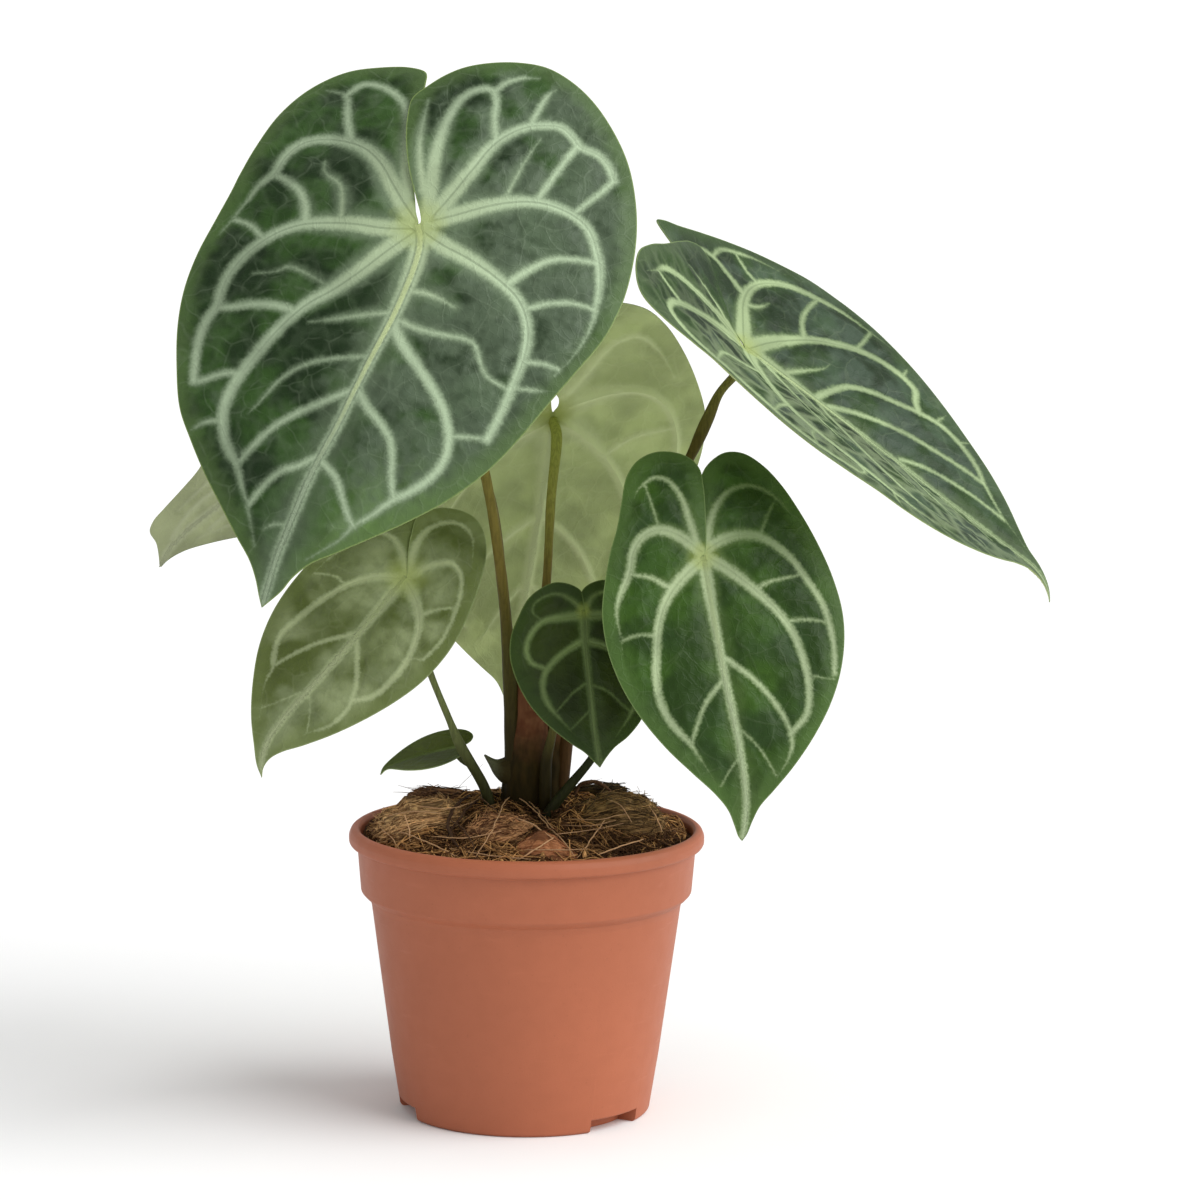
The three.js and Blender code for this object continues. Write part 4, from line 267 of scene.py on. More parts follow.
# Blades are drawn flat, x across and y from the stalk to the tip, seen from the upper face with the
# tip down. left and right are the margins from the notch between the lobes round to the tip, mid is
# the midrib, and each vein has its side, its width and its points.
# A blade hangs from attach to tip in space: roll turns it about that line, bend and back are how
# far the midrib curves down before the tip and behind the stalk, fold and curl raise and roll each
# side, lobe_fold turns the lobes alone, lift raises a lobe over its neighbour out to reach, drip
# curls what lies past the tip, in degrees per mm, and half is half its width.
LEAVES = {
    "large_left": {
        "attach": (-36.2, -35, 302.8), "tip": (-83.9, -78, 183.4), "roll": 33, "bend": 26,
        "back": 25, "half": 75, "fold": (0, 0), "lift": (0, 0.1), "reach": 22,
        "left": [0, -0.5, -2.5, -4, -4.6, -8, -9, -16, -14, -26, -18, -37, -20.5, -47, -22, -54,
            -24, -58.5, -30, -59, -40, -56, -50, -51, -59, -41, -64.5, -28, -66.5, -13, -67, 2,
            -68, 17, -68.7, 31, -67.5, 44, -64, 57, -58, 71, -51, 84, -43, 93, -34, 102, -25, 110,
            -16, 118, -9, 124, -5, 129, -2, 134, 0, 137],
        "right": [0.6, -0.7, -1, -4, -4, -8, -10.6, -17, -16.4, -27, -20.6, -37, -22.4, -45,
            -20, -51, -16.5, -57.5, -12, -63, -5, -68, 4, -72, 13, -73.7, 22, -72, 32, -67.5,
            43, -59.5, 53, -49.5, 61, -37.5, 67, -24.5, 71, -10, 72.6, 3, 72, 16, 68.7, 29,
            64.5, 43, 60, 58, 54, 72.5, 45.5, 85.5, 36, 96, 27, 104.5, 18, 112.5, 10.5, 119,
            6.5, 125, 4.5, 130, 0, 137],
        "mid": [0, 0, 3.5, 6, 5.3, 14, 6, 25, 6, 35, 5, 48, 4, 62, 3, 75, 1.5, 86, 0.5, 96, 0, 108,
            -0.5, 120, 0, 137],
        "veins": [
            (-1, 3.2, [0, 0, -8, -6, -15, -12, -22, -18, -30, -22, -38, -22.5, -46, -21,
                -51.5, -17.5, -54.5, -11, -55, -4, -58, 1, -60, 8, -62, 15, -64, 22]),
            (-1, 1.8, [-35, -23, -39.5, -30, -42, -35, -45.5, -41, -53, -41.5]),
            (-1, 1.8, [-8, -9, -13, -20, -17.5, -30, -20, -36, -23, -41, -28, -45.5, -36, -48,
                -42, -47, -45.5, -41]),
            (-1, 3.2, [0, 2, -10, 5, -20, 6.5, -30, 9, -37, 11.5, -43, 15.5, -48, 21, -52, 28,
                -54, 35, -54, 42, -53, 47, -54.5, 53, -54, 61, -52, 68, -50, 74]),
            (-1, 1.8, [-36, 11, -39.5, 4, -43.5, 0, -49, -2.5, -55, -4]),
            (-1, 1.4, [-48, 20, -54, 16.5, -61, 15.5]),
            (-1, 0.8, [-20, 30, -28, 28, -35, 27.5, -38, 30, -46, 33]),
            (-1, 0.8, [-25, 7, -27, 1, -31, -6, -38, -9, -40, -13]),
            (-1, 3.6, [0, 3, -6, 13, -11, 22, -17, 31, -23, 38, -27, 45, -30, 52, -33, 61,
                -35.5, 70, -36, 79, -34, 85, -30, 91, -24, 96.5, -20, 102, -15.5, 108, -12, 114,
                -9, 119]),
            (-1, 2.2, [-25, 42, -32, 41.5, -40, 43, -46, 45.5, -53, 48]),
            (-1, 1.6, [-35, 67, -41, 69, -47, 73, -50, 74.5]),
            (-1, 1.2, [-35, 84, -40, 86, -44, 90]),
            (-1, 1.1, [4, 49, -5, 52.5, -13, 56.5, -18, 61, -21.5, 66, -25, 75, -27, 79]),
            (-1, 1.6, [3.5, 61, -5, 68.5, -11, 74, -16, 79.5, -20, 86, -24, 95.5]),
            (-1, 1.6, [1, 85, -4, 90, -9, 93.5, -12.5, 99, -15.5, 107]),
            (-1, 1, [4, 33, -5, 37, -12, 40.5, -20, 44]),
            (-1, 0.9, [0, 109, -5, 110.5, -8, 113]),
            (1, 3, [3, -3, 6, -13, 8.5, -24, 10.5, -35, 13, -41, 17, -46.5, 22, -50, 28, -52,
                33, -50, 37, -47.5, 43, -47.5, 48, -45, 52, -40.5]),
            (1, 2.2, [2, -4, -1, -13, -4.5, -24, -6.5, -33, -7.5, -43, -6.5, -51, -3, -56, 1, -57,
                4, -53.5, 6.5, -47, 11, -38]),
            (1, 1.1, [-3, -12, -9, -22, -13, -31, -15, -38, -17, -46]),
            (1, 1.5, [2, -57, 4, -62, 8, -66, 13, -68]),
            (1, 1.5, [18.5, -47.5, 18.5, -56, 18.5, -62, 20, -66]),
            (1, 1.8, [36, -48, 35, -42, 34, -34, 32.5, -21.5]),
            (1, 1.6, [52, -40.5, 50, -34, 47.5, -28, 45, -22]),
            (1, 0.8, [24, -45, 23, -34, 23, -18]),
            (1, 3, [3, -2, 10, -7, 17, -12.5, 24, -17.5, 31, -21, 38, -22.5, 46, -22, 52, -19.5,
                56.5, -14.5, 60, -9.5, 63, -3, 65, 4, 66.5, 11, 66.5, 19, 65, 27, 62.5, 34]),
            (1, 3.2, [2, 2, 11, 4.5, 20, 6, 28, 8, 35, 10.5, 41, 13.5, 46, 18.5, 49.5, 25, 51, 32,
                51.5, 42, 51.5, 52, 50.5, 62]),
            (1, 1.8, [36, 10, 41, 1.5, 45, -3.5, 50, -6.5, 60, -9.5]),
            (1, 1.5, [44.5, 16.5, 50, 12, 55, 9, 60, 7.5, 65.5, 7]),
            (1, 1.4, [51.5, 33.5, 58, 31.5, 63, 31.5]),
            (1, 1.2, [51.5, 43, 57, 41.5, 62, 40]),
            (1, 2.6, [6, 35, 12, 41, 19, 46, 26, 51, 33, 57, 37.5, 63, 39.7, 69, 39.8, 75, 37.5, 81,
                33, 87, 29, 91, 25, 97, 20, 103, 17.5, 108, 13, 113.5, 9, 118]),
            (1, 1.3, [6, 34, 15, 35, 25, 34, 33, 33, 36, 35, 39, 39, 43, 42.5, 51, 44]),
            (1, 1, [6, 24, 14, 22.5, 24, 24]),
            (1, 1.3, [39.5, 65, 46, 63, 51, 62]),
            (1, 2, [4.3, 60, 10, 65, 16, 68.5, 21, 72.5, 24, 78, 26, 84, 29.5, 91]),
            (1, 1.6, [1.5, 86, 9, 90, 13, 95, 17, 100, 20, 103]),
        ],
    },
    "top_right": {
        "attach": (71.7, 10, 258.9), "tip": (166.9, -4, 189.8), "roll": -15, "bend": 4, "back": -20,
        "half": 50, "fold": (17, 14), "curl": (-8, -8), "lift": (0.42, 0.2), "drip": 3,
        "lobe_fold": (-6, -2),
        "left": [0, -0.5, 0.8, -4, 4, -8, 12, -13, 18, -20, 20.5, -27, 18, -33.5, 10, -37.5,
            -4, -40, -19, -42.5, -33, -46, -45, -47, -55.5, -42.5, -61, -36, -60, -25, -57, -13,
            -54, -3, -54, 7, -58, 18, -61, 29, -62, 41, -60.5, 53, -58, 64, -57, 74, -54, 84,
            -48, 94, -39, 103, -28, 110, -17, 115, -9, 120, -4, 126, -1, 132, 0, 135],
        "right": [0.9, -0.8, 2.2, -5, 4.5, -12, 7, -22, 8.5, -34, 8.5, -45, 9.5, -51, 13, -49.5,
            19, -44.3, 28.5, -36.8, 38, -28.4, 46.8, -18.6, 53.5, -7.8, 58, 3, 59, 15, 57.5, 28,
            54, 40, 49, 52, 42, 65, 34, 78, 26, 90.5, 18, 101, 10, 110, 4.5, 117, 2, 124, 0.8, 131,
            0, 135],
        "mid": [0, 0, -0.6, 12, -1.3, 26, -2, 40, -2.6, 54, -3, 68, -3.2, 82, -3, 96, -2.4, 108,
            -1.4, 118, -0.6, 127, 0, 135],
        "veins": [
            (-1, 2.6, [0, -1, -7, -13, -15, -23, -24, -32, -32, -37, -40, -38.5, -48, -41]),
            (-1, 1.2, [-1, -5, -1, -16, -4, -26, -9, -35]),
            (-1, 2.6, [-1, 0, -14, -9, -26, -17, -37, -24, -44, -27, -50, -26, -53, -17, -52, -6,
                -50, 4, -53, 16, -57, 28, -57.5, 42, -54, 55]),
            (-1, 1.6, [-37, -24, -37.5, -31, -38, -38]),
            (-1, 2.8, [0, 1, -14, 5, -26, 12, -36, 20, -42, 28, -45, 38, -46, 50, -47, 62, -48, 74,
                -46, 86, -38, 97, -28, 104]),
            (-1, 1.6, [-24, 10, -30, 3, -38, -3, -50, -3]),
            (-1, 1.5, [-39, 24, -48, 22, -55, 22]),
            (-1, 1.5, [-46, 52, -50, 57, -54, 56]),
            (-1, 2.2, [0, 30, -10, 35, -19, 44, -27, 54, -33, 64, -37, 74, -36, 84, -31, 94]),
            (-1, 1.6, [0, 62, -8, 70, -15, 79, -20, 89, -24, 98]),
            (-1, 1.3, [0, 88, -6, 95, -11, 103, -15, 109]),
            (1, 2.8, [1, -1, 10, -6, 18, -10, 26, -11.5, 34, -10, 41, -6, 46, -1, 49.5, 5, 52, 12,
                53.5, 20, 53.5, 29, 53, 38, 51, 46]),
            (1, 1.6, [22, -11, 23.5, -20, 24, -28, 20, -35, 14, -40]),
            (1, 1.4, [24, -28.5, 31, -28, 38, -23, 45, -15, 50, -5]),
            (1, 1.4, [33, -10.5, 34, -17, 37, -23.5]),
            (1, 1, [18, -9.5, 23, -5, 29, -3]),
            (1, 3, [1, 1, 10, 5, 19, 10.5, 27, 16.5, 33, 23, 38, 30, 41, 38, 41.5, 46, 39, 54,
                33, 56.5, 28.5, 60]),
            (1, 1.6, [24.5, 13.5, 32, 9.5, 40, 8.2, 50, 8.8]),
            (1, 1.4, [37, 29.5, 45, 30, 53.3, 30]),
            (1, 1.2, [41, 48, 48, 47.5]),
            (1, 2, [0, 29, 9, 32, 16, 35.5, 21.5, 42.5, 25, 51, 29, 60.5, 30.5, 69, 28, 78,
                23.5, 86, 18, 91.5, 13, 98, 9, 104.5, 6, 111, 3, 118]),
            (1, 1, [0, 15, 8, 20, 16, 25, 23, 26]),
            (1, 1.8, [0, 34, 5.5, 42, 10, 50.5, 14, 62, 16, 73, 17.5, 83, 18, 91]),
            (1, 1.5, [0, 64, 4.5, 72, 7, 82, 8.5, 92, 8.7, 104]),
            (1, 1.2, [30, 66, 38, 67.5]),
            (1, 1.1, [28.5, 76, 33, 80]),
            (-1, 1.4, [-2, 8, -14, 18, -25, 31, -33, 46, -37, 60]),
            (-1, 1.4, [0, 16, -9, 25, -19, 36, -26, 45]),
            (-1, 1.3, [0, 46, -9, 54, -18, 66, -25, 80, -27, 92]),
            (-1, 1.3, [0, 76, -6, 84, -11, 94, -15, 104]),
            (-1, 1.3, [-45, 36, -51, 36, -58, 40]),
            (-1, 1.3, [-47, 68, -52, 70, -56, 74]),
        ],
    },
    "front_right": {
        "attach": (57.4, -45, 196.4), "tip": (70.6, -70, 107.7), "roll": -20, "bend": 25,
        "back": 30, "half": 42, "fold": (4, 4), "lift": (0.1, 0), "reach": 18,
        "left": [0.6, -0.5, 1.6, -3.5, 2.5, -9, 3.4, -16, 4.2, -24, 4, -31, 1, -35.5, -4, -38,
            -10, -38.5, -16, -36, -20.5, -30.5, -23.5, -22, -26.5, -13, -30, -5, -33, 4, -35.5, 14,
            -36, 24, -34.8, 33, -32, 42.5, -27.5, 52, -21, 62, -13.5, 71, -7, 78.5, -3.5, 84,
            -2, 89, -1, 93, 0, 94.5],
        "right": [0.2, -0.8, 0.9, -3.5, 1.4, -9, 2.2, -16, 2.8, -24, 5.4, -30.5, 9.5, -34.5,
            14, -36.5, 19.5, -35.5, 25, -30.5, 30, -22.5, 34.5, -12, 38.5, -0.5, 41.5, 11, 43, 23,
            42.2, 33, 39.3, 43.5, 34.5, 53.5, 27.5, 63.5, 19.5, 72.5, 12, 79.5, 7, 84, 4, 88.5,
            1.8, 92.5, 0, 94.5],
        "mid": [0, 0, 0, 10, 0.1, 20, 0.5, 31, 1, 42, 1.8, 52, 2.6, 62, 3, 72, 2.8, 81, 1.5, 89,
            0, 94.5],
        "veins": [
            (-1, 3.2, [0, -1, -4.5, -5.5, -9, -9, -14, -10.5, -19, -8.7, -22.7, -4, -24.4, 1.5,
                -26, 5, -29, 10, -31, 16, -30.8, 24, -31, 33, -29, 42]),
            (-1, 1.8, [-1, -2, -2.5, -12, -4, -21, -7, -27, -11, -29, -15.5, -27, -19, -23,
                -21, -17]),
            (-1, 1.2, [-15, -27, -14, -20, -13, -12]),
            (-1, 3.2, [0, 1, -6, 5, -11.5, 10, -15.5, 15.5, -18.3, 22, -20.2, 31, -21.4, 39,
                -21.2, 46, -19.4, 52, -16, 57.5, -13, 61.5, -11, 65.5, -8.5, 70.5, -6, 76,
                -4.5, 81]),
            (-1, 1.6, [-13.5, 9, -18, 5.5, -24.5, 3.5]),
            (-1, 1.5, [-19.5, 25, -25, 24, -30.7, 25]),
            (-1, 1.8, [0.8, 41.5, -4, 46, -7, 49.5, -9.7, 54.5, -12.7, 61]),
            (-1, 1.2, [1.5, 68, -2, 72, -5, 76]),
            (1, 3, [1, -2, 5, -4, 10, -5.5, 15, -5.6, 19, -4.6, 23, -2, 26.5, 1.5, 29.5, 5.5,
                32, 10.5, 35, 16.5, 37.3, 23, 38.2, 31, 38, 38, 37, 44]),
            (1, 1.8, [2, -4, 4.5, -12, 8.5, -18.5, 14, -22.5, 21, -22.5, 27.5, -17.5, 32, -10,
                35, -1]),
            (1, 1.2, [20.5, -6, 24, -12.5, 27.5, -17.5]),
            (1, 3.2, [1, 0.5, 6.5, 5, 11.5, 10, 16, 15, 20, 20, 23.5, 25.5, 25.8, 31, 27.2, 37.5,
                28, 44, 27.5, 51, 25.8, 56.5, 22.5, 59.7, 19.8, 62]),
            (1, 1.5, [15.5, 13.8, 19, 11.8, 25, 10.8, 32, 9.8]),
            (1, 1.5, [23.5, 25.3, 29, 25.2, 34, 26, 37.8, 27.3]),
            (1, 1.2, [28, 43.5, 33, 45, 37, 46]),
            (1, 2, [0.8, 34, 5, 37.8, 9, 41.6, 12.5, 46, 16, 51.5, 18.6, 57, 20, 63, 18.8, 68.5,
                16, 72.5, 12.5, 77, 9, 81]),
            (1, 1.3, [2.2, 57, 6.5, 61.8, 10, 67, 13.3, 74.5]),
        ],
    },
    "front_centre": {
        "attach": (18.7, -22, 174.3), "tip": (24.5, -38, 125.2), "roll": -12, "bend": 20,
        "back": 30, "half": 24, "fold": (4, 4),
        "left": [0.3, -0.4, 0.3, -3, 0.1, -7, -2.8, -9.6, -8, -11, -13, -9.5, -18, -6, -22, 0,
            -25, 6, -26.2, 13, -25.3, 20, -22.5, 28, -18.5, 34.5, -13.5, 40, -8.5, 44.5, -4.6, 47.5,
            -2, 50.5, 0, 52.8],
        "right": [0.2, -0.6, 0.2, -3, 0.2, -7, 3, -9.4, 8, -10.5, 14, -9, 19, -4.5, 22.5, 2,
            24.3, 9, 24, 17, 22, 25.5, 18.5, 33, 14.5, 39, 10, 43.5, 5.5, 46.5, 2.5, 49.5, 0, 52.8],
        "mid": [0, 0, -0.8, 8, -1, 18, -1, 28, -0.9, 38, -0.5, 46, 0, 52.8],
        "veins": [
            (-1, 1.1, [-1, -1, -4, -4.5, -8, -6.7, -12, -6.3, -16, -4, -17, -1, -14.5, 2]),
            (-1, 1.9, [-0.5, 1.5, -8, 1.8, -14, 2.5, -18, 6, -20.5, 11, -19.5, 16, -15, 18.5]),
            (-1, 1.9, [-0.8, 10, -7, 13, -12, 16.5, -15.5, 20.5, -16.5, 26, -15, 31, -12, 35.5,
                -8.5, 40, -4, 45]),
            (-1, 1.1, [-1, 24, -6, 27, -10, 30.5, -13.5, 34]),
            (-1, 1, [-1, 33, -5, 36.5, -8.5, 39.5]),
            (1, 1.1, [1, -1, 3.5, -4.7, 8, -6.2, 13, -5, 15.5, -1.5, 14, 2.5]),
            (1, 1.9, [0.5, 1.8, 7, 2, 13, 2.5, 17, 6, 19.2, 11, 18, 16, 14, 18.5]),
            (1, 1.9, [-0.8, 10.5, 5, 12.5, 10, 15.5, 14, 20, 15.5, 26, 14, 32, 11, 37, 7, 42,
                3, 46.5]),
            (1, 1.1, [-1, 25, 5, 28, 9, 32.5, 12, 35.5]),
        ],
    },
    "lower_left": {
        "attach": (-40.9, -12, 183.6), "tip": (-87, -35, 120.5), "roll": 50, "bend": 14, "back": 30,
        "half": 32, "fold": (4, 4), "lift": (0, 0.14), "reach": 14,
        "left": [0.4, -0.5, -0.7, -3.5, -3, -8, -6, -14, -8.2, -20, -12, -24.6, -18, -23, -23, -17,
            -26.5, -8, -28.5, 3, -30, 14, -30.5, 26, -29.5, 36, -26.5, 46.5, -21, 57.5, -14.5, 67.5,
            -8, 75, -3.5, 79.8, 0.5, 82.5],
        "right": [0.2, -0.5, -1.6, -3.5, -4.6, -8, -7.4, -13.5, -9.6, -19.6, -6.5, -25.9,
            -0.5, -29.5, 6, -30.5, 12.5, -27.5, 18, -21, 22, -12, 25, -2, 27, 8, 27.3, 17, 26, 27,
            23, 36.5, 18.5, 46.5, 12.5, 57, 6, 66, 1, 72, -1, 76, -1, 79.5, 0.5, 82.5],
        "mid": [0, 0, -0.2, 10, -0.8, 21, -1.5, 32, -2.4, 42, -3.6, 51, -4.8, 61, -5.2, 68,
            -4.2, 74, -2, 79, 0.5, 82.5],
        "veins": [
            (-1, 1.4, [0, -1, -7, -7, -13, -9, -19, -6, -23, 3, -26, 14, -26, 26]),
            (-1, 2, [-0.5, 1, -8, 5.5, -14, 13, -18, 22, -21, 32, -22.5, 40, -20.5, 46, -18, 50,
                -17, 56, -14, 62.5, -9.5, 70]),
            (-1, 1.2, [-14.5, 14, -19, 13, -26, 16]),
            (-1, 1.5, [-2.4, 26, -9, 33.5, -14, 41, -18, 49.5]),
            (-1, 1, [-4.5, 51, -8.5, 57, -13, 63.5]),
            (1, 1.6, [0, -2, -3, -9, -4, -16, -1.5, -22, 4, -25.5, 10, -24, 14, -19, 18, -12]),
            (1, 1.5, [1, -1, 5.5, -8.5, 10.5, -12.5, 15.5, -10.5, 19.5, -4, 22, 4, 23.2, 12,
                22, 20]),
            (1, 2.3, [0.5, 1, 8, 5, 13.5, 10.5, 16.7, 17.5, 18, 25.5, 17.5, 33.5, 15.5, 40,
                11.5, 44]),
            (1, 1.2, [12, 8.5, 16, 3, 20.5, -1]),
            (1, 1, [18, 22, 22.5, 20]),
            (1, 1.6, [-2.2, 24, 4, 32.5, 9, 40, 11.2, 48, 9.5, 56, 5, 61.5, 2, 67]),
            (1, 1, [-4, 49, 1, 55, 4.5, 61.5]),
        ],
    },
    "back_centre": {
        "attach": (7.5, 24, 235.1), "tip": (-8.8, 60, 132.2), "roll": 0, "bend": 20, "back": 20,
        "half": 50, "fold": (0, 0), "curl": (-8, -8),
        "left": [-0.2, -0.5, -1.2, -2.5, -0.8, -5.5, 1.5, -9, 2.6, -16, 3.4, -27, 4, -38, 0, -45,
            -8, -48.5, -21, -46, -31, -38.5, -41, -26.5, -49.5, -13, -55.5, 0, -58, 14, -57, 30,
            -53, 46, -46.5, 61.5, -38, 75.5, -28, 87.5, -17, 98, -8, 105, -3.5, 110, -1, 116],
        "right": [0.6, -0.7, 2.5, -7, 4, -15, 5.5, -27, 8, -39, 13, -46.5, 20, -46.5, 30, -41,
            40.5, -31.5, 49, -18.5, 54.5, -3, 56.5, 13, 55, 28, 51, 43, 45, 57, 37.5, 69.5, 29, 81,
            20, 91, 10.5, 100, 4, 106, 1, 111, -1, 116],
        "mid": [0, 0, -1.5, 15, -2.5, 32, -3, 50, -3, 68, -2.5, 85, -2, 100, -1, 116],
        "veins": [
            (-1, 2.4, [0, -1, -11, -6, -23, -9.5, -34, -8, -42, -1, -47, 9, -49, 22, -48, 36]),
            (-1, 1.6, [-1, -4, -8, -18, -14, -30, -22, -34, -31, -28, -40, -16]),
            (-1, 2.6, [-0.5, 2, -12, 9, -24, 20, -33, 33, -38, 48, -37, 62, -30, 73, -22, 83]),
            (-1, 1.4, [-22, 18, -32, 10, -45, 6]),
            (-1, 1.3, [-34, 35, -42, 34, -48, 34]),
            (-1, 1.8, [-2.8, 42, -13, 49, -22, 59, -29, 72]),
            (-1, 1.3, [-3, 68, -10, 76, -16, 88]),
            (1, 2.4, [1, -1, 11, -6, 22, -9.5, 33, -7, 41, 0, 46, 10, 48, 22, 47, 36]),
            (1, 1.6, [1.5, -4, 8, -18, 15, -30, 23, -33, 31, -27, 39, -15]),
            (1, 2.6, [0, 2, 11, 9, 22, 20, 31, 33, 36, 48, 35, 61, 28, 73, 19, 84]),
            (1, 1.4, [20, 18, 31, 10, 44, 6]),
            (1, 1.3, [32, 35, 40, 34, 47, 34]),
            (1, 1.8, [-2.8, 42, 8, 50, 18, 61, 26, 74]),
            (1, 1.3, [-3, 68, 5, 77, 12, 89]),
        ],
    },
    "back_left": {
        "attach": (-74.8, 70, 216.4), "tip": (-130.7, 52, 188.8), "roll": 40, "bend": 18,
        "back": 16, "half": 32, "fold": (6, 6), "drip": 3,
        "left": [-0.2, -0.5, -1.6, -5, -4, -11, -9, -15, -16, -13.5, -22, -7, -25, 3, -25, 14,
            -22.5, 24, -18, 33, -12.5, 41, -8.5, 50, -5.5, 58, -3.5, 63, -0.5, 66, 5, 66.3, 10, 68,
            14, 70],
        "right": [0.6, -0.7, 2, -5, 4.5, -11, 10, -15, 18, -12.5, 25, -4.5, 28.5, 6, 28.5, 18,
            25.5, 30, 21, 41, 17, 51, 14, 60, 13.5, 66, 14, 70],
        "mid": [0, 0, 1, 12, 2, 24, 4, 36, 6, 48, 8, 57, 10.5, 64.5, 14, 70],
        "veins": [
            (-1, 1.8, [0, -1, -8, -5, -15, -4, -20, 4, -20.5, 14, -17, 24, -12, 33]),
            (-1, 1.8, [0.2, 2, -6, 9, -10, 19, -9, 31, -5, 42, -1.5, 54]),
            (-1, 1.4, [3, 30, -1, 40, 2, 52, 7, 61]),
            (1, 1.8, [1, -1, 9, -5, 17, -3, 22, 5, 23, 16, 20.5, 27]),
            (1, 1.8, [0.2, 2, 8, 9, 14, 19, 16, 30, 15, 42, 13, 53]),
            (1, 1.3, [3, 30, 9, 38, 12, 48]),
        ],
    },
    "young": {
        "attach": (-22.1, 4, 123.6), "tip": (-47.3, 0, 117.3), "roll": 20, "bend": 10, "back": 10,
        "half": 9, "fold": (10, 10), "curl": (-4, -4), "drip": 3,
        "left": [-0.1, -0.3, -0.8, -1.6, -2.2, -3.6, -4.6, -4.8, -7.5, -3.6, -9.6, -0.2, -10.2, 5,
            -9.3, 11, -7, 17, -4.2, 22, -1.8, 25.6, -0.2, 27.4, 1.5, 28.6, 3.5, 29.5],
        "right": [0.5, -0.3, 1.4, -0.7, 3, -0.7, 5.2, 0.2, 7.8, 2.4, 10.2, 6, 11.5, 10.5, 10.8, 16,
            8, 20.8, 4.6, 24, 2.4, 26, 2.2, 27.6, 3.5, 29.5],
        "mid": [0, 0, 0, 6, 0, 12, 0, 18, 0.2, 23, 1, 26.8, 3.5, 29.5],
        "veins": [
            (-1, 0.9, [0, 0, -4, 1, -7.5, 5, -7.8, 10, -5.5, 16, -2.8, 21]),
            (-1, 0.7, [0, 11, -3, 15, -4.5, 18]),
            (1, 0.9, [0, 0, 4, 1, 8, 5.5, 8.8, 11, 6.8, 16.5, 3.2, 21.5]),
            (1, 0.7, [0, 11, 3.2, 15, 5.2, 18.5]),
        ],
    },
}
# what most blades share
PLAIN_BLADE = {"curl": (-14, -14), "lift": (0, 0), "reach": 1000, "drip": 0, "lobe_fold": (0, 0)}
LEAVES = {name: {**PLAIN_BLADE, **leaf} for name, leaf in LEAVES.items()}

# blade that is turned over: its ribs and its stalk are on the face drawn here
TURNED_OVER = "back_left"


def unit(v):
    """v divided by its own length."""
    return v / np.linalg.norm(v, axis=-1, keepdims=True)


def smooth(t):
    """3t^2 - 2t^3 with t kept between 0 and 1."""
    t = np.clip(t, 0, 1)
    return t * t * (3 - 2 * t)


def pairs(numbers):
    """A flat list of x, y as rows."""
    return np.asarray(numbers, float).reshape(-1, 2)


def ripple(points, size, seed, waves=14):
    """Soft seeded bumps of about +-1: the sum of sine waves in random directions, whose length is
    `size` divided by 0.7 to 1.6."""
    random = np.random.default_rng(seed)
    ways = unit(random.normal(size=(waves, points.shape[-1])))
    ways *= TURN / (size * random.uniform(0.7, 1.6, (waves, 1)))
    phase = random.uniform(0, TURN, waves)
    return np.sin(points @ ways.T + phase).sum(-1) / np.sqrt(waves)


def spline(points, steps):
    """Centripetal Catmull-Rom curve: each span is a repeated blend of its four nearest points."""
    p = np.asarray(points, float)
    p = np.vstack([2 * p[0] - p[1], p, 2 * p[-1] - p[-2]])
    gap = np.sqrt(np.linalg.norm(np.diff(p, axis=0), axis=1))[:, None, None]
    t1 = gap[:-2]
    t2 = t1 + gap[1:-1]
    t3 = t2 + gap[2:]
    t = t1 + (t2 - t1) * (np.arange(steps) / steps)[:, None]
    a, b, c, d = (v[:, None] for v in (p[:-3], p[1:-2], p[2:-1], p[3:]))
    ab = a + (b - a) * t / t1
    bc = b + (c - b) * (t - t1) / (t2 - t1)
    cd = c + (d - c) * (t - t2) / (t3 - t2)
    abc = ab + (bc - ab) * t / t2
    bcd = bc + (cd - bc) * (t - t1) / (t3 - t1)
    out = abc + (bcd - abc) * (t - t1) / (t2 - t1)
    return np.vstack([out.reshape(-1, p.shape[1]), p[-2]])


def lengths(line):
    """How far along a line each of its points is."""
    return np.concatenate([[0], np.cumsum(np.linalg.norm(np.diff(line, axis=0), axis=1))])


def evenly(points, spacing):
    """Points a set distance apart along the curve through points."""
    fine = spline(points, 8)
    along = lengths(fine)
    want = np.linspace(0, along[-1], max(1, round(along[-1] / spacing)) + 1)
    return np.stack([np.interp(want, along, column) for column in fine.T], 1)


def ring_faces(rings, sides):
    """Faces of stacked rings of points and of the pole before the first and after the last ring."""
    j, k = np.meshgrid(np.arange(rings - 1) * sides, np.arange(sides), indexing="ij")
    n = (k + 1) % sides
    quads = np.stack([j + k, j + n, j + n + sides, j + k + sides], -1).reshape(-1, 4)
    k = np.arange(sides)
    n = (k + 1) % sides
    first = np.stack([np.full(sides, rings * sides), n, k], -1)
    last = np.stack([np.full(sides, rings * sides + 1), k, n], -1)
    last[:, 1:] += (rings - 1) * sides
    return [quads, np.concatenate([first, last])]


def with_poles(rings, first, last):
    """Rings of points as one list, with the two poles after them."""
    flat = rings.reshape(*rings.shape[:-3], -1, 3)
    return np.concatenate([flat, first[..., None, :], last[..., None, :]], -2)


def repeated(faces, number, size):
    """Faces of one shape repeated for a number of copies with size points each."""
    shift = size * np.arange(number)[:, None, None]
    return [(f[None] + shift).reshape(-1, f.shape[1]) for f in faces]


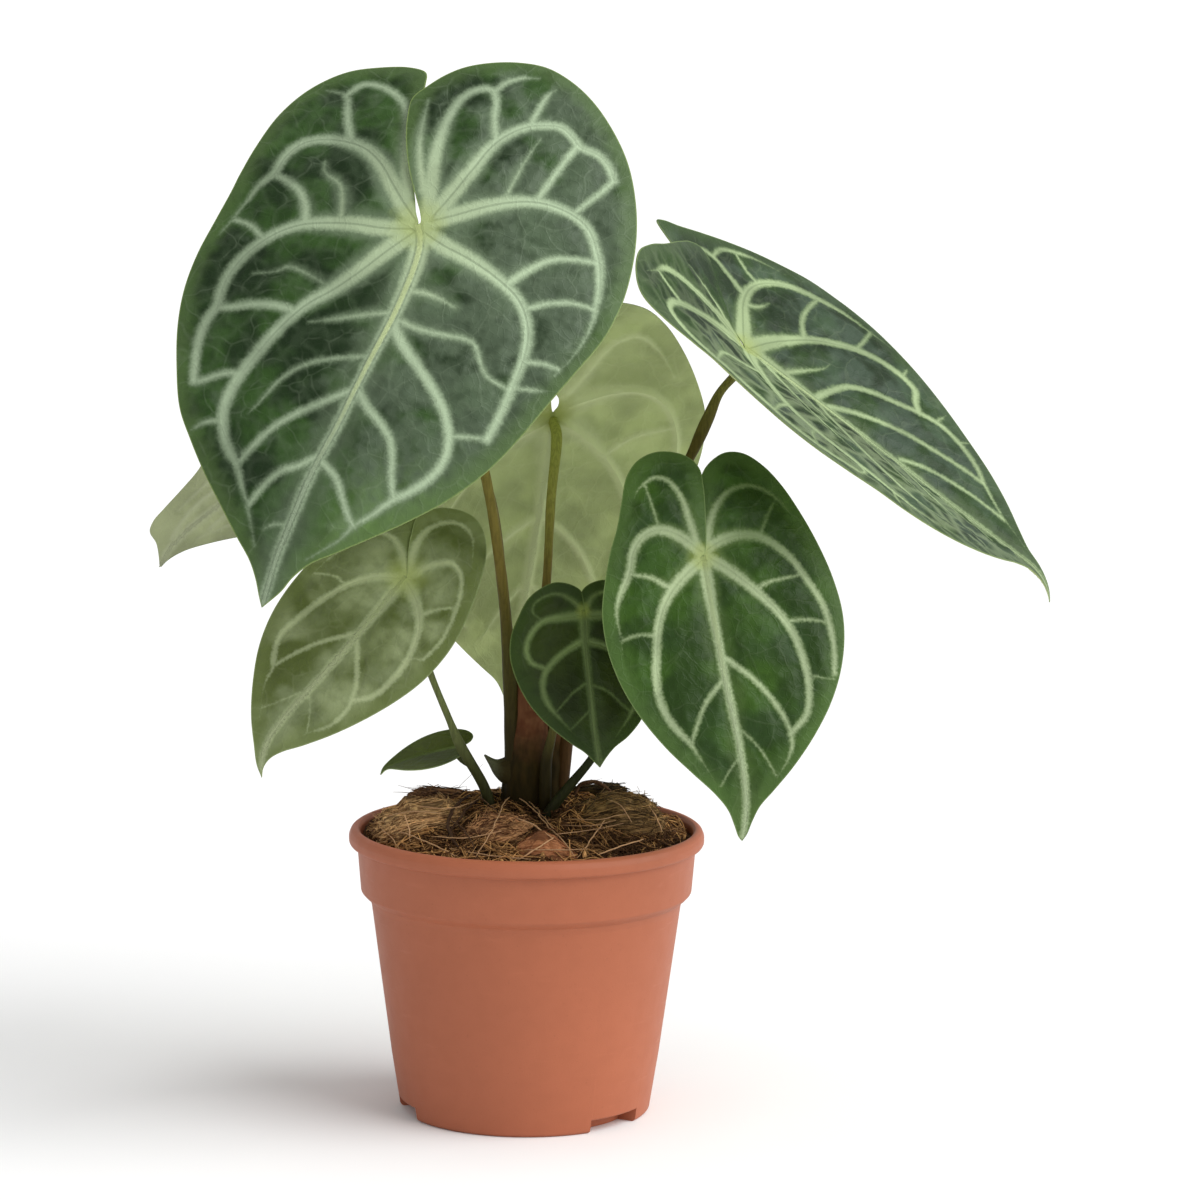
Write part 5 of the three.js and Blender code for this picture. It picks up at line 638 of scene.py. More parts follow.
def tube(path, radii, sides):
    """Circle of `sides` points round each point of a path, across its direction, and two poles."""
    ahead = unit(np.gradient(path, axis=-2))
    aside = np.array([0.31, 0.87, 0.37])
    across = unit(aside - (ahead @ aside)[..., None] * ahead)
    other = np.cross(ahead, across)
    a = TURN * np.arange(sides) / sides
    spokes = np.cos(a)[:, None] * across[..., None, :] + np.sin(a)[:, None] * other[..., None, :]
    rings = path[..., None, :] + np.asarray(radii)[..., None, None] * spokes
    return with_poles(rings, path[..., 0, :], path[..., -1, :])


def turned_by(points, angles):
    """Points turned about X, then Y, then Z, by degrees."""
    for axis, angle in zip("XYZ", angles):
        points = points @ np.array(Matrix.Rotation(angle * RAD, 3, axis)).T
    return points


def random_turns(random, number):
    """Turns in all directions alike: matrices of unit quaternions with normal random parts."""
    w, x, y, z = unit(random.normal(size=(number, 4))).T
    return np.stack([
        1 - 2 * (y * y + z * z), 2 * (x * y - w * z), 2 * (x * z + w * y),
        2 * (x * y + w * z), 1 - 2 * (x * x + z * z), 2 * (y * z - w * x),
        2 * (x * z - w * y), 2 * (y * z + w * x), 1 - 2 * (x * x + y * y),
    ], -1).reshape(-1, 3, 3)


def rounded(profile, cut):
    """A profile with each corner replaced by points of the parabola that touches both sides, cut
    from the corner or a little less than half a side."""
    p = np.asarray(profile, float)
    before, at, after = p[:-2], p[1:-1], p[2:]
    reach_a = np.minimum(cut, 0.45 * np.linalg.norm(at - before, axis=1))[:, None]
    reach_b = np.minimum(cut, 0.45 * np.linalg.norm(after - at, axis=1))[:, None]
    a = (at - unit(at - before) * reach_a)[:, None]
    b = (at + unit(after - at) * reach_b)[:, None]
    t = np.linspace(0, 1, CORNER_POINTS)[:, None]
    bends = (1 - t) ** 2 * a + 2 * t * (1 - t) * at[:, None] + t * t * b
    return np.vstack([p[:1], bends.reshape(-1, 2), p[-1:]])


def piece(name, points, faces, material, nodes=(), floats=None, sharp=None):
    """A smooth mesh of points in millimetres that rides on the part and stands for its nodes."""
    mesh = bpy.data.meshes.new(name)
    mesh.vertices.add(len(points))
    mesh.vertices.foreach_set("co", (points * MM).ravel())
    corners = np.concatenate([f.ravel() for f in faces]).astype(np.int32)
    sizes = np.concatenate([np.full(len(f), f.shape[1]) for f in faces])
    starts = np.concatenate([[0], np.cumsum(sizes)[:-1]]).astype(np.int32)
    mesh.loops.add(len(corners))
    mesh.loops.foreach_set("vertex_index", corners)
    mesh.polygons.add(len(sizes))
    mesh.polygons.foreach_set("loop_start", starts)
    mesh.polygons.foreach_set("use_smooth", np.ones(len(sizes), bool))
    mesh.update(calc_edges=True)
    if sharp:
        mesh.set_sharp_from_angle(angle=sharp * RAD)
    for key, values in (floats or {}).items():
        wide = values.ndim == 2
        layer = mesh.attributes.new(key, "FLOAT_VECTOR" if wide else "FLOAT", "POINT")
        layer.data.foreach_set("vector" if wide else "value", values.astype(np.float32).ravel())
    mesh.materials.append(material)
    made = bpy.data.objects.new(name, mesh)
    bpy.context.scene.collection.objects.link(made)
    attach(made, "root")
    if nodes:
        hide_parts(*nodes)
    return made


def fibre_piece(name, paths, radius, tone, taper, material):
    """Fibres as one piece: a tube along each path, with its own radius and tone."""
    strands = tube(paths, radius[:, None] * taper, FIBRE_SIDES)
    number, count = strands.shape[:2]
    faces = repeated(ring_faces(len(taper), FIBRE_SIDES), number, count)
    piece(name, strands.reshape(-1, 3), faces, material,
          floats={"tone": np.repeat(tone, count)})


def pot_rings(segments):
    """Pot: a profile turned about Z. Where an arch is, the foot's points move up to its roof, and
    where a pocket is, the floor's points move up to its top, each within a fifth of a degree."""
    plain = [
        (POLE_RADIUS, 0), (NOTCH_INNER, 0), (NOTCH_INNER + WALL_LEAN, 0), *POT_OUTSIDE, *POT_INSIDE,
        (POCKET_INNER + WALL_LEAN, POT_FLOOR), (POCKET_INNER, POT_FLOOR), (POLE_RADIUS, POT_FLOOR)]
    arched = [
        (POLE_RADIUS, 0), (NOTCH_INNER, 0), (NOTCH_INNER + WALL_LEAN, NOTCH_HEIGHT), *NOTCH_LIP,
        *POT_OUTSIDE[2:], *POT_INSIDE[:-1], (POCKET_OUTER, POCKET_TOP),
        (POCKET_INNER + WALL_LEAN, POCKET_TOP), (POCKET_INNER, POT_FLOOR), (POLE_RADIUS, POT_FLOOR)]
    plain, arched = rounded(plain, POT_CORNER), rounded(arched, POT_CORNER)
    middles = np.array(NOTCH_AZIMUTHS) - 90.0
    edges = np.concatenate([middles + sign * half + WALL_ANGLE * way for sign in (-1, 1)
                            for half in (NOTCH_HALF_ANGLE, POCKET_HALF_ANGLE) for way in (-1, 1)])
    angles = np.unique(np.concatenate([np.linspace(0, 360, segments, False), edges % 360]))
    off = np.abs((angles[:, None] - middles + 180) % 360 - 180).min(1)
    # from the third point of the inside on, the profile belongs to the pocket
    inside = np.arange(len(plain)) > CORNER_POINTS * (len(POT_OUTSIDE) + 4)
    half = np.where(inside, POCKET_HALF_ANGLE, NOTCH_HALF_ANGLE)[:, None]
    share = (off < half)[..., None]
    profile = np.where(share, arched[:, None], plain[:, None])
    r, z = profile[..., 0], profile[..., 1]
    return np.stack([r * np.cos(angles * RAD), r * np.sin(angles * RAD), z], -1)


def hollow_share(x, y):
    """How much a place lies in a hollow: the sum of bell curves round them, up to 1."""
    away = np.hypot(np.subtract.outer(x, HOLLOWS[:, 0]), np.subtract.outer(y, HOLLOWS[:, 1]))
    return np.minimum(np.exp(-(away / HOLLOWS[:, 2]) ** 2).sum(-1), 1)


def mulch_height(x, y):
    """Mound: a parabola from the middle to the wall, banked up against the wall by the eighth power
    of the radius, with three sets of sine lumps that are lower at the wall, and with hollows."""
    r = np.hypot(x, y) / MOUND_RADIUS
    inner = np.minimum(r, 1)
    lumps = (np.sin(x * 0.21 + 1.3) * np.cos(y * 0.24 + 0.4)
             + 0.6 * np.sin(x * 0.43 - y * 0.31 + 2.1) + 0.4 * np.cos(x * 0.62 + y * 0.55))
    mound = MULCH_EDGE + (MULCH_CROWN - MULCH_EDGE) * (1 - r * r) + MULCH_BANK * inner ** 8
    return (mound + MULCH_LUMP * lumps * (1 - 0.6 * inner ** 4)
            - HOLLOW_DEPTH * hollow_share(x, y))


def bed_rings():
    """Mulch bed: rings out along the bottom, up the wall and back over the mound to the middle. The
    mound has coarse and fine ripples, and no ring stands above it."""
    under = np.array([*((r, MULCH_BOTTOM) for r in BED_RADII), *BED_SIDE])
    over = MULCH_RADIUS * np.linspace(1, BED_HUB, BED_RINGS) ** 0.9
    out = np.concatenate([under[:, 0], over])[:, None]
    high = np.concatenate([under[:, 1], np.full(BED_RINGS, np.inf)])[:, None]
    a = TURN * np.arange(BED_SIDES) / BED_SIDES
    at = np.stack([out * np.cos(a), out * np.sin(a)], -1)
    top = mulch_height(at[..., 0], at[..., 1]) + 0.9 * ripple(at, 5, 3)
    top += 0.5 * ripple(at, 1.8, 4) - 0.6
    return np.concatenate([at, np.minimum(high, top)[..., None]], -1)


def crumb_points(random, number):
    """Crumbs: balls of a few rings, stretched, turned at random and set on the mulch."""
    a = TURN * np.arange(CRUMB_SIDES) / CRUMB_SIDES
    reach = np.sqrt(1 - CRUMB_RISE ** 2)[:, None]
    x, y, z = np.broadcast_arrays(reach * np.cos(a), reach * np.sin(a), CRUMB_RISE[:, None])
    rings = np.stack([x, y, z], -1)
    ball = with_poles(rings, np.array([0, 0, -1.0]), np.array([0, 0, 1.0]))
    size = random.uniform(0.5, 1.9, (number, 1, 1))
    size = size * random.uniform((1, 0.5, 0.3), (1.7, 0.9, 0.7), (number, 1, 3))
    points = ball * size * random.uniform(0.75, 1.2, (number, len(ball), 1))
    points = np.einsum("nij,nkj->nki", random_turns(random, number), points)
    r = CRUMB_REACH * np.sqrt(random.uniform(0.01, 1, number))
    a = random.uniform(0, TURN, number)
    at = np.stack([r * np.cos(a), r * np.sin(a)], 1)
    top = mulch_height(*at.T) + random.uniform(-0.5, 0.8, number)
    return points + np.column_stack([at, top])[:, None]


def fibre_paths(random, number, longest):
    """Loose fibres that follow the mulch: a parabola and a cubic bow each to one side, and another
    parabola and a slope lift it, all within the wall."""
    t = np.linspace(-0.5, 0.5, len(LOOSE_TAPER))
    bend = 1 - 4 * t * t
    r = FIBRE_REACH * np.sqrt(random.uniform(0.0, 1, number))
    a = random.uniform(0, TURN, number)
    length = random.uniform(0.35, 1, number) ** 1.2 * longest
    heading = random.uniform(0, TURN, number)[:, None]
    bow = random.normal(0, 0.08, number) * length
    hook = random.normal(0, 0.06, number) * length
    along = t * length[:, None]
    side = bow[:, None] * bend + hook[:, None] * 8 * t ** 3
    x = (r * np.cos(a))[:, None] + along * np.cos(heading) - side * np.sin(heading)
    y = (r * np.sin(a))[:, None] + along * np.sin(heading) + side * np.cos(heading)
    keep = np.minimum(1, FIBRE_LIMIT / np.hypot(x, y))
    x, y = x * keep, y * keep
    lift = np.minimum(random.gamma(1.6, 0.8, number), 2.2)[:, None] * bend
    tilt = np.clip(random.normal(0, 1.2, number), -1.8, 1.8)[:, None] * t
    return np.stack([x, y, mulch_height(x, y) + 0.2 + lift + tilt], -1)


def chip_surface(chip, lat, lon, swell=0.0):
    """Husk chip: a squared-off ellipsoid, sign(v)|v|^CHIP_SQUARENESS of a sphere's directions, with
    a top and a back that fall towards both ends, and with lumps, long grooves and split ends that
    push the surface in and out. Its half sizes also seed its ripples."""
    size, rough = chip["size"], chip["rough"]
    squared = [np.sin(lat), np.cos(lat) * np.cos(lon), np.cos(lat) * np.sin(lon)]
    local = np.stack([np.sign(v) * np.abs(v) ** CHIP_SQUARENESS * s
                      for v, s in zip(squared, size)], -1)
    narrow = chip["fall"] * np.abs(local[..., :1]) / size[0]
    local[..., 1:] *= 1 - narrow * (local[..., 1:] > 0)
    out = unit(local)
    stretched = local * np.array([0.22, 1, 1])
    seeds = [int(s * 10) for s in size]
    push = 0.33 * rough * ripple(local, 7, seeds[0])
    push += 0.5 * rough * ripple(stretched, 2.2, seeds[1])
    push += 0.28 * rough * ripple(stretched, 0.9, seeds[2])
    ends = smooth((np.abs(local[..., 0]) / size[0] - 0.72) / 0.28)
    push += 0.7 * rough * ends * ripple(stretched[..., 1:], 1.4, 5)
    local = local + out * (push + swell)[..., None]
    lean = chip["lean"]
    return turned_by(local, (lean[0], -lean[1], chip["turn"])) + chip["at"]


def chip_rings(chip):
    """Rings of a husk chip's surface from just inside one pole to just inside the other."""
    lat = np.linspace(-0.485, 0.485, CHIP_RINGS)[:, None] * np.pi
    lon = TURN * np.arange(CHIP_SIDES) / CHIP_SIDES
    return chip_surface(chip, *np.broadcast_arrays(lat, lon))


def chip_fibres(chip, random, number):
    """Fibres that lie along a husk chip and lift off it at their ends, by the cube of the distance
    from their middle."""
    start = random.uniform(-0.46, 0.3, number)[:, None]
    span = random.uniform(0.1, 0.42, number)[:, None]
    t = np.linspace(0, 1, len(CHIP_TAPER))
    lat = np.clip(start + span * t, -0.49, 0.49) * np.pi
    lon = random.uniform(0, TURN, number)[:, None] + random.normal(0, 0.35, number)[:, None] * t
    lift = np.minimum(random.gamma(1.3, 0.8, number), 2.4)[:, None] * np.abs(2 * t - 1) ** 3
    return chip_surface(chip, lat, lon, swell=0.1 + lift)


def stem_rings():
    """Short stem: its profile turned about its axis, with bark ridges along it and with leaf-scar
    steps 6.5 mm apart that lean a little."""
    profile = spline(STEM_PROFILE, 6)
    along = np.linspace(0, 1, len(profile))
    want = np.linspace(0, 1, STEM_RINGS)
    r, z = (np.interp(want, along, column)[:, None] for column in profile.T)
    a = TURN * np.arange(STEM_SIDES) / STEM_SIDES
    spot = np.stack(np.broadcast_arrays(8 * np.cos(a), 8 * np.sin(a), z), -1)
    r = r * (1 + 0.03 * ripple(spot, 6, 8) + 0.03 * ripple(spot * (1, 1, 0.3), 2, 9))
    r = r + 0.35 * smooth(np.abs(((z - 90 + 1.2 * np.sin(a)) / 6.5) % 1 - 0.5) * 2)
    x, y = r * np.cos(a) + STEM_AXIS[0], r * np.sin(a) + STEM_AXIS[1]
    return np.stack(np.broadcast_arrays(x, y, z), -1)


def midrib_arc(leaf, y):
    """Midrib: an arc over the line from stalk to tip, with an arc of its own behind the stalk and
    one past the tip. Gives the distance along the line, the height over it, the slope and the
    length."""
    chord = np.linalg.norm(np.subtract(leaf["tip"], leaf["attach"]))
    bend = leaf["bend"] * RAD
    radius = chord / (2 * np.sin(bend / 2))
    length = radius * bend
    k = np.where(y >= 0, 1 / radius, leaf["back"] * RAD / length)
    slope = bend / 2 - k * y
    along = (np.sin(bend / 2) - np.sin(slope)) / k
    height = (np.cos(slope) - np.cos(bend / 2)) / k
    drip = leaf["drip"] * RAD or 1 / radius
    bowed = -bend / 2 - drip * (y - length)
    past = y > length
    along = np.where(past, chord + (np.sin(-bend / 2) - np.sin(bowed)) / drip, along)
    height = np.where(past, (np.cos(bowed) - np.cos(bend / 2)) / drip, height)
    return along, height, np.where(past, bowed, slope), length


def midrib_shift(leaf, y):
    """Sideways place of the midrib."""
    line = spline(pairs(leaf["mid"]), 4)
    return np.where((y > 0) & (y < line[-1, 1]), np.interp(y, line[:, 1], line[:, 0]), 0)


def blade_surface(leaf, x, y, side):
    """Upper face of a blade at flat points. Across the midrib each side is an arc whose slope
    starts at fold and grows by curl, and a lobe is lifted in proportion to its distance from the
    stalk."""
    def ours(key):
        """The value of a pair that belongs to each point's side."""
        return np.where(side < 0, *leaf[key])

    chord = unit(np.subtract(leaf["tip"], leaf["attach"]))
    up = unit(np.array([0, 0, 1]) - chord[2] * chord)
    roll = leaf["roll"] * RAD
    normal = np.cos(roll) * up + np.sin(roll) * np.cross(up, chord)
    across = np.cross(normal, chord)
    along, height, slope, length = midrib_arc(leaf, y)
    shift = midrib_shift(leaf, y)
    s = (x - shift) * side
    back = smooth(-y / (0.4 * length))
    fold = (ours("fold") + ours("lobe_fold") * back) * RAD
    k = ours("curl") * RAD / leaf["half"]
    out = (np.sin(fold + k * s) - np.sin(fold)) / k
    rise = (np.cos(fold) - np.cos(fold + k * s)) / k
    around = np.arctan2(s, y) / RAD
    around = around + np.where(around < -90, 360, 0)
    lifted = smooth((around - LOBE_START) / (180 - LOBE_START))
    rise = rise + ours("lift") * np.minimum(np.hypot(x, y), leaf["reach"]) * lifted
    face = -np.sin(slope)[:, None] * chord + np.cos(slope)[:, None] * normal
    aside = (shift + side * out)[:, None] * across
    flat = aside + along[:, None] * chord + height[:, None] * normal
    return np.array(leaf["attach"]) + flat + rise[:, None] * face


def blade_normal(leaf, x, y, side):
    """Normal of the upper face: the cross product of its slopes along y and x."""
    step = 0.5
    dx = blade_surface(leaf, x + step, y, side) - blade_surface(leaf, x - step, y, side)
    dy = blade_surface(leaf, x, y + step, side) - blade_surface(leaf, x, y - step, side)
    return unit(np.cross(dy, dx))


def within(loop, points):
    """Whether each flat point is inside a loop: a ray from it crosses the loop an odd number of
    times."""
    (ax, ay), (bx, by) = loop.T, np.roll(loop, -1, 0).T
    slope = (bx - ax) / np.where(by == ay, 1e-9, by - ay)
    hit = np.zeros(len(points), bool)
    for part in np.array_split(np.arange(len(points)), len(points) // 4000 + 1):
        x, y = points[part].T[..., None]
        hit[part] = (((ay > y) != (by > y)) & (x < slope * (y - ay) + ax)).sum(1) % 2
    return hit


def line_distance(line, points, widths=None):
    """Distance from flat points to a line, the same less half the line's width there, and how far
    along the line that is. With widths, points well away from the line are left at a far value."""
    start, ahead = line[:-1], np.diff(line, axis=0)
    half = np.zeros(len(line)) if widths is None else np.asarray(widths) / 2
    size = np.maximum((ahead ** 2).sum(1), 1e-12)
    passed = np.cumsum(np.sqrt(size)) - np.sqrt(size)
    near, inner = np.full(len(points), FAR), np.full(len(points), FAR)
    along = np.zeros(len(points))
    low, high = line.min(0) - 12, line.max(0) + 12
    close = ((points > low) & (points < high)).all(1) | (widths is None)
    close = np.flatnonzero(close)
    for part in np.array_split(close, len(close) // 4000 + 1):
        away = points[part, None] - start
        t = np.clip((away * ahead).sum(-1) / size, 0, 1)
        gap = np.linalg.norm(away - t[..., None] * ahead, axis=-1)
        pick = np.arange(len(part)), gap.argmin(1)
        near[part] = gap[pick]
        along[part] = (passed + t * np.sqrt(size))[pick]
        inner[part] = (gap - half[:-1] - t * np.diff(half)).min(1)
    return near, inner, along


def half_grid(loop, closed, spacing):
    """Rows of points within a margin and clear of it, every other row shifted by half a step."""
    low, high = loop.min(0), loop.max(0)
    x, y = np.meshgrid(np.arange(low[0], high[0], spacing),
                       np.arange(low[1], high[1], spacing * ROW_STEP))
    x = x + (np.arange(len(y)) % 2)[:, None] * spacing / 2
    grid = np.stack([x.ravel(), y.ravel()], 1)
    grid = grid[within(loop, grid)]
    return grid[line_distance(closed, grid)[0] > 0.55 * spacing]


def flat_half(leaf, side, spacing):
    """One half of a blade laid flat: rows of points within the margin, with points along the veins,
    joined in triangles whose edges keep to the outline and the veins."""
    midline = evenly(pairs(leaf["mid"]), spacing)
    margin = pairs(leaf["left" if side < 0 else "right"])
    margin = evenly(np.vstack([[[0, 0]], margin]), spacing * 0.8)
    loop = np.vstack([midline, margin[1:-1][::-1]])
    closed = np.vstack([loop, loop[:1]])
    grid = half_grid(loop, closed, spacing)
    points, number = [loop], len(loop)
    edges = [np.stack([np.arange(number), np.roll(np.arange(number), -1)], 1)]
    for way, _, numbers in leaf["veins"]:
        if way == side:
            line = evenly(pairs(numbers), spacing * 1.1)
            keep = within(loop, line) & (line_distance(closed, line)[0] > 0.6 * spacing)
            index = number + np.cumsum(keep) - 1
            both = keep[1:] & keep[:-1]
            edges.append(np.stack([index[:-1][both], index[1:][both]], 1))
            points.append(line[keep])
            number += keep.sum()
            grid = grid[line_distance(line, grid)[0] > 0.5 * spacing]
    points = np.vstack([*points, grid])
    made = delaunay_2d_cdt([Vector(p) for p in points.tolist()], np.vstack(edges).tolist(),
                           [list(range(len(loop)))], 1, 1e-5)
    flat = np.array([tuple(v) for v in made[0]])
    triangles = np.array(made[2])
    a, b, c = (flat[triangles[:, i]] for i in range(3))
    area = (b[:, 0] - a[:, 0]) * (c[:, 1] - a[:, 1]) - (b[:, 1] - a[:, 1]) * (c[:, 0] - a[:, 0])
    triangles[area < 0] = triangles[area < 0][:, ::-1]
    on_midrib = line_distance(midline, flat)[0] < 1e-3
    return flat, triangles[np.abs(area) > 1e-7], np.where(on_midrib, 0, side)


def flat_blade(leaf, spacing):
    """Both halves of a blade, joined along the midrib: flat points, triangles, and side of each."""
    left, right = (flat_half(leaf, side, spacing) for side in (-1, 1))
    flat = np.vstack([left[0], right[0]])
    side = np.concatenate([left[2], right[2]])
    key = np.column_stack([side, np.round(flat * 1000)]).astype(np.int64)
    _, first, index = np.unique(key, axis=0, return_index=True, return_inverse=True)
    index = index.ravel()
    triangles = index[np.vstack([left[1], right[1] + len(left[0])])]
    return flat[first], triangles, side[first]


def vein_widths(width, line, others):
    """Width along a vein: it narrows from its start to its end, and runs out at an end that meets
    no other vein. Thin veins are drawn thinner than they are, so that they look fainter."""
    t = np.linspace(0, 1, len(line))
    faint = np.clip((1.7 - width) / 0.9, 0, 1) * 1.3
    widths = (1.12 - 0.42 * t) * width - faint
    for end, away in ((line[:1], t), (line[-1:], 1 - t)):
        gap = min(line_distance(other, end)[0][0] for other in others)
        if gap > 2.4:
            share = smooth(away / 0.42)
            widths = widths * share - 1.5 * (1 - share)
    return widths


def vein_fields(leaf, flat, side):
    """For flat points: distance to the edge of the nearest pale band and how far along its vein
    that is, distance to the middle of the nearest main vein and to the midrib, and height of the
    rib."""
    band = np.full(len(flat), FAR)
    run, groove, rib = np.zeros(len(flat)), band.copy(), np.zeros(len(flat))
    widest = max(width for _, width, _ in leaf["veins"])
    small = min(1, leaf["half"] / 40)
    midrib = spline(pairs(leaf["mid"]), 4)
    lines = [(0, MIDRIB_WIDTH * small, midrib)]
    lines += [(way, width, spline(pairs(numbers), 3)) for way, width, numbers in leaf["veins"]]
    for number, (way, width, line) in enumerate(lines):
        if way:
            others = [other for i, (_, _, other) in enumerate(lines) if i != number]
            widths = vein_widths(width, line, others)
        else:
            widths = np.linspace(1.12, 0.7, len(line)) * width
        near, inner, along = line_distance(line, flat, widths)
        ours = (side == way) | (side == 0) | (way == 0)
        # each vein's run starts elsewhere, so that no two fray alike
        run = np.where(ours & (inner < band), along + 37 * number, run)
        band = np.where(ours, np.minimum(band, inner), band)
        depth = (RIB_DEPTH + RIB_PER_WIDTH * width) * smooth(1 - near / (0.75 * width + 0.3))
        rib = np.where(ours, np.maximum(rib, depth), rib)
        if width > 0.8 * widest and way:
            groove = np.where(ours, np.minimum(groove, near), groove)
    cord = line_distance(midrib, flat)[0]
    return band, run, groove, cord, rib


def blade_faces(triangles, count):
    """Faces of the upper side, of the lower side, whose points come after, and of the margin."""
    edges = triangles[:, [0, 1, 1, 2, 2, 0]].reshape(-1, 2)
    there, back = edges @ (count, 1), edges @ (1, count)
    start, end = edges[~np.isin(there, back)].T
    wall = np.stack([end, end + count, start + count, start], 1)
    return [np.vstack([triangles[:, ::-1], triangles + count]), wall]


def blade_mesh(leaf, spacing, turned_over):
    """Closed blade: the upper face stands a little higher between the veins, the lower face has a
    rib under each vein, and the thickness runs out towards the margin."""
    flat, triangles, side = flat_blade(leaf, spacing)
    band, run, groove, cord, rib = vein_fields(leaf, flat, side)
    margins = [np.vstack([[[0, 0]], pairs(leaf[key])]) for key in ("left", "right")]
    left, right = (line_distance(evenly(m, 2), flat)[0] for m in margins)
    edge = np.where(side < 0, left, np.where(side > 0, right, np.minimum(left, right)))
    reach = min(PANEL_REACH, leaf["half"] * 0.14)
    small = reach / PANEL_REACH
    taper = np.clip(edge / MARGIN_STRIP, 0, 1)
    x, y = flat.T
    which = np.where(side == 0, 1, side)
    point = blade_surface(leaf, x, y, which)
    normal = blade_normal(leaf, x, y, which)
    other = blade_normal(leaf, x, y, -which)
    normal = np.where((side == 0)[:, None], unit(normal + other), normal)
    rise = PANEL_RISE * small * smooth(band / reach) * taper
    fine = smooth(band / 1.2) * taper * small
    rise += fine * (0.13 * ripple(flat, 4.5, 12) + 0.06 * ripple(flat, 1.9, 13))
    rise += small * taper * (0.4 * smooth(1 - cord / 1.1) - 0.25 * smooth(1 - groove / 0.9))
    rib = rib * taper * small
    growth = smooth(edge / MARGIN_GROWTH)
    thick = MARGIN_THICKNESS + (BLADE_THICKNESS - MARGIN_THICKNESS) * growth
    up, down = (rib - rise, -rise - thick) if turned_over else (rise, rise - thick - rib)
    top = point + normal * up[:, None]
    bottom = point + normal * down[:, None]
    fields = {
        "flat": np.column_stack([flat, side * 40.0]), "band": band, "groove": groove, "cord": cord,
        "edge": edge, "spread": np.hypot(x, y) / leaf["half"], "run": run,
    }
    floats = {key: np.concatenate([values, values]) for key, values in fields.items()}
    floats["upper"] = np.repeat([0.0, 1.0] if turned_over else [1.0, 0.0], len(flat))
    return np.vstack([top, bottom]), blade_faces(triangles, len(flat)), floats


def stalk_path(name):
    """Stalk: the curve through its points, then the joint that stands off the blade and turns
    in."""
    path, top, _ = STALKS[name]
    leaf = LEAVES[name]
    y = np.array([JOINT_PLACE])
    side = np.array([1.0])
    normal = blade_normal(leaf, np.zeros(1), y, side)[0]
    seat = blade_surface(leaf, midrib_shift(leaf, y), y, side)[0]
    if name == TURNED_OVER:
        seat = seat - normal * BLADE_THICKNESS
        normal = -normal
    drop = JOINT_DROP * min(1, leaf["half"] / SMALLEST_WITH_JOINT)
    joint = seat - normal * (BLADE_THICKNESS + drop)
    elbow = joint + unit(np.array(path[-1][:3]) - joint) * JOINT_LEAN
    inner = seat - normal * JOINT_SINK
    return spline([*path, (*elbow, top), (*inner, top * 0.9)], 10)


def tint(rgb, k=1.0):
    """Screen colour from 0 to 255 as the linear colour that a shader takes, k times as bright."""
    c = np.array(rgb) / 255
    c = np.where(c <= 0.04045, c / 12.92, ((c + 0.055) / 1.055) ** 2.4) * k
    return (*c.clip(0, 1).tolist(), 1.0)


class Value:
    """A shader socket that can be written in sums: an expression on values adds its Math nodes."""

    def __init__(self, finish, socket):
        self.finish = finish
        self.socket = socket

    def maths(self, operation, *values):
        return self.finish.node("ShaderNodeMath", {"operation": operation}, dict(enumerate(values)))

    def __add__(self, other):
        return self.maths("ADD", self, other)

    def __radd__(self, other):
        return self.maths("ADD", other, self)

    def __sub__(self, other):
        return self.maths("SUBTRACT", self, other)

    def __rsub__(self, other):
        return self.maths("SUBTRACT", other, self)

    def __mul__(self, other):
        return self.maths("MULTIPLY", self, other)

    def __rmul__(self, other):
        return self.maths("MULTIPLY", other, self)


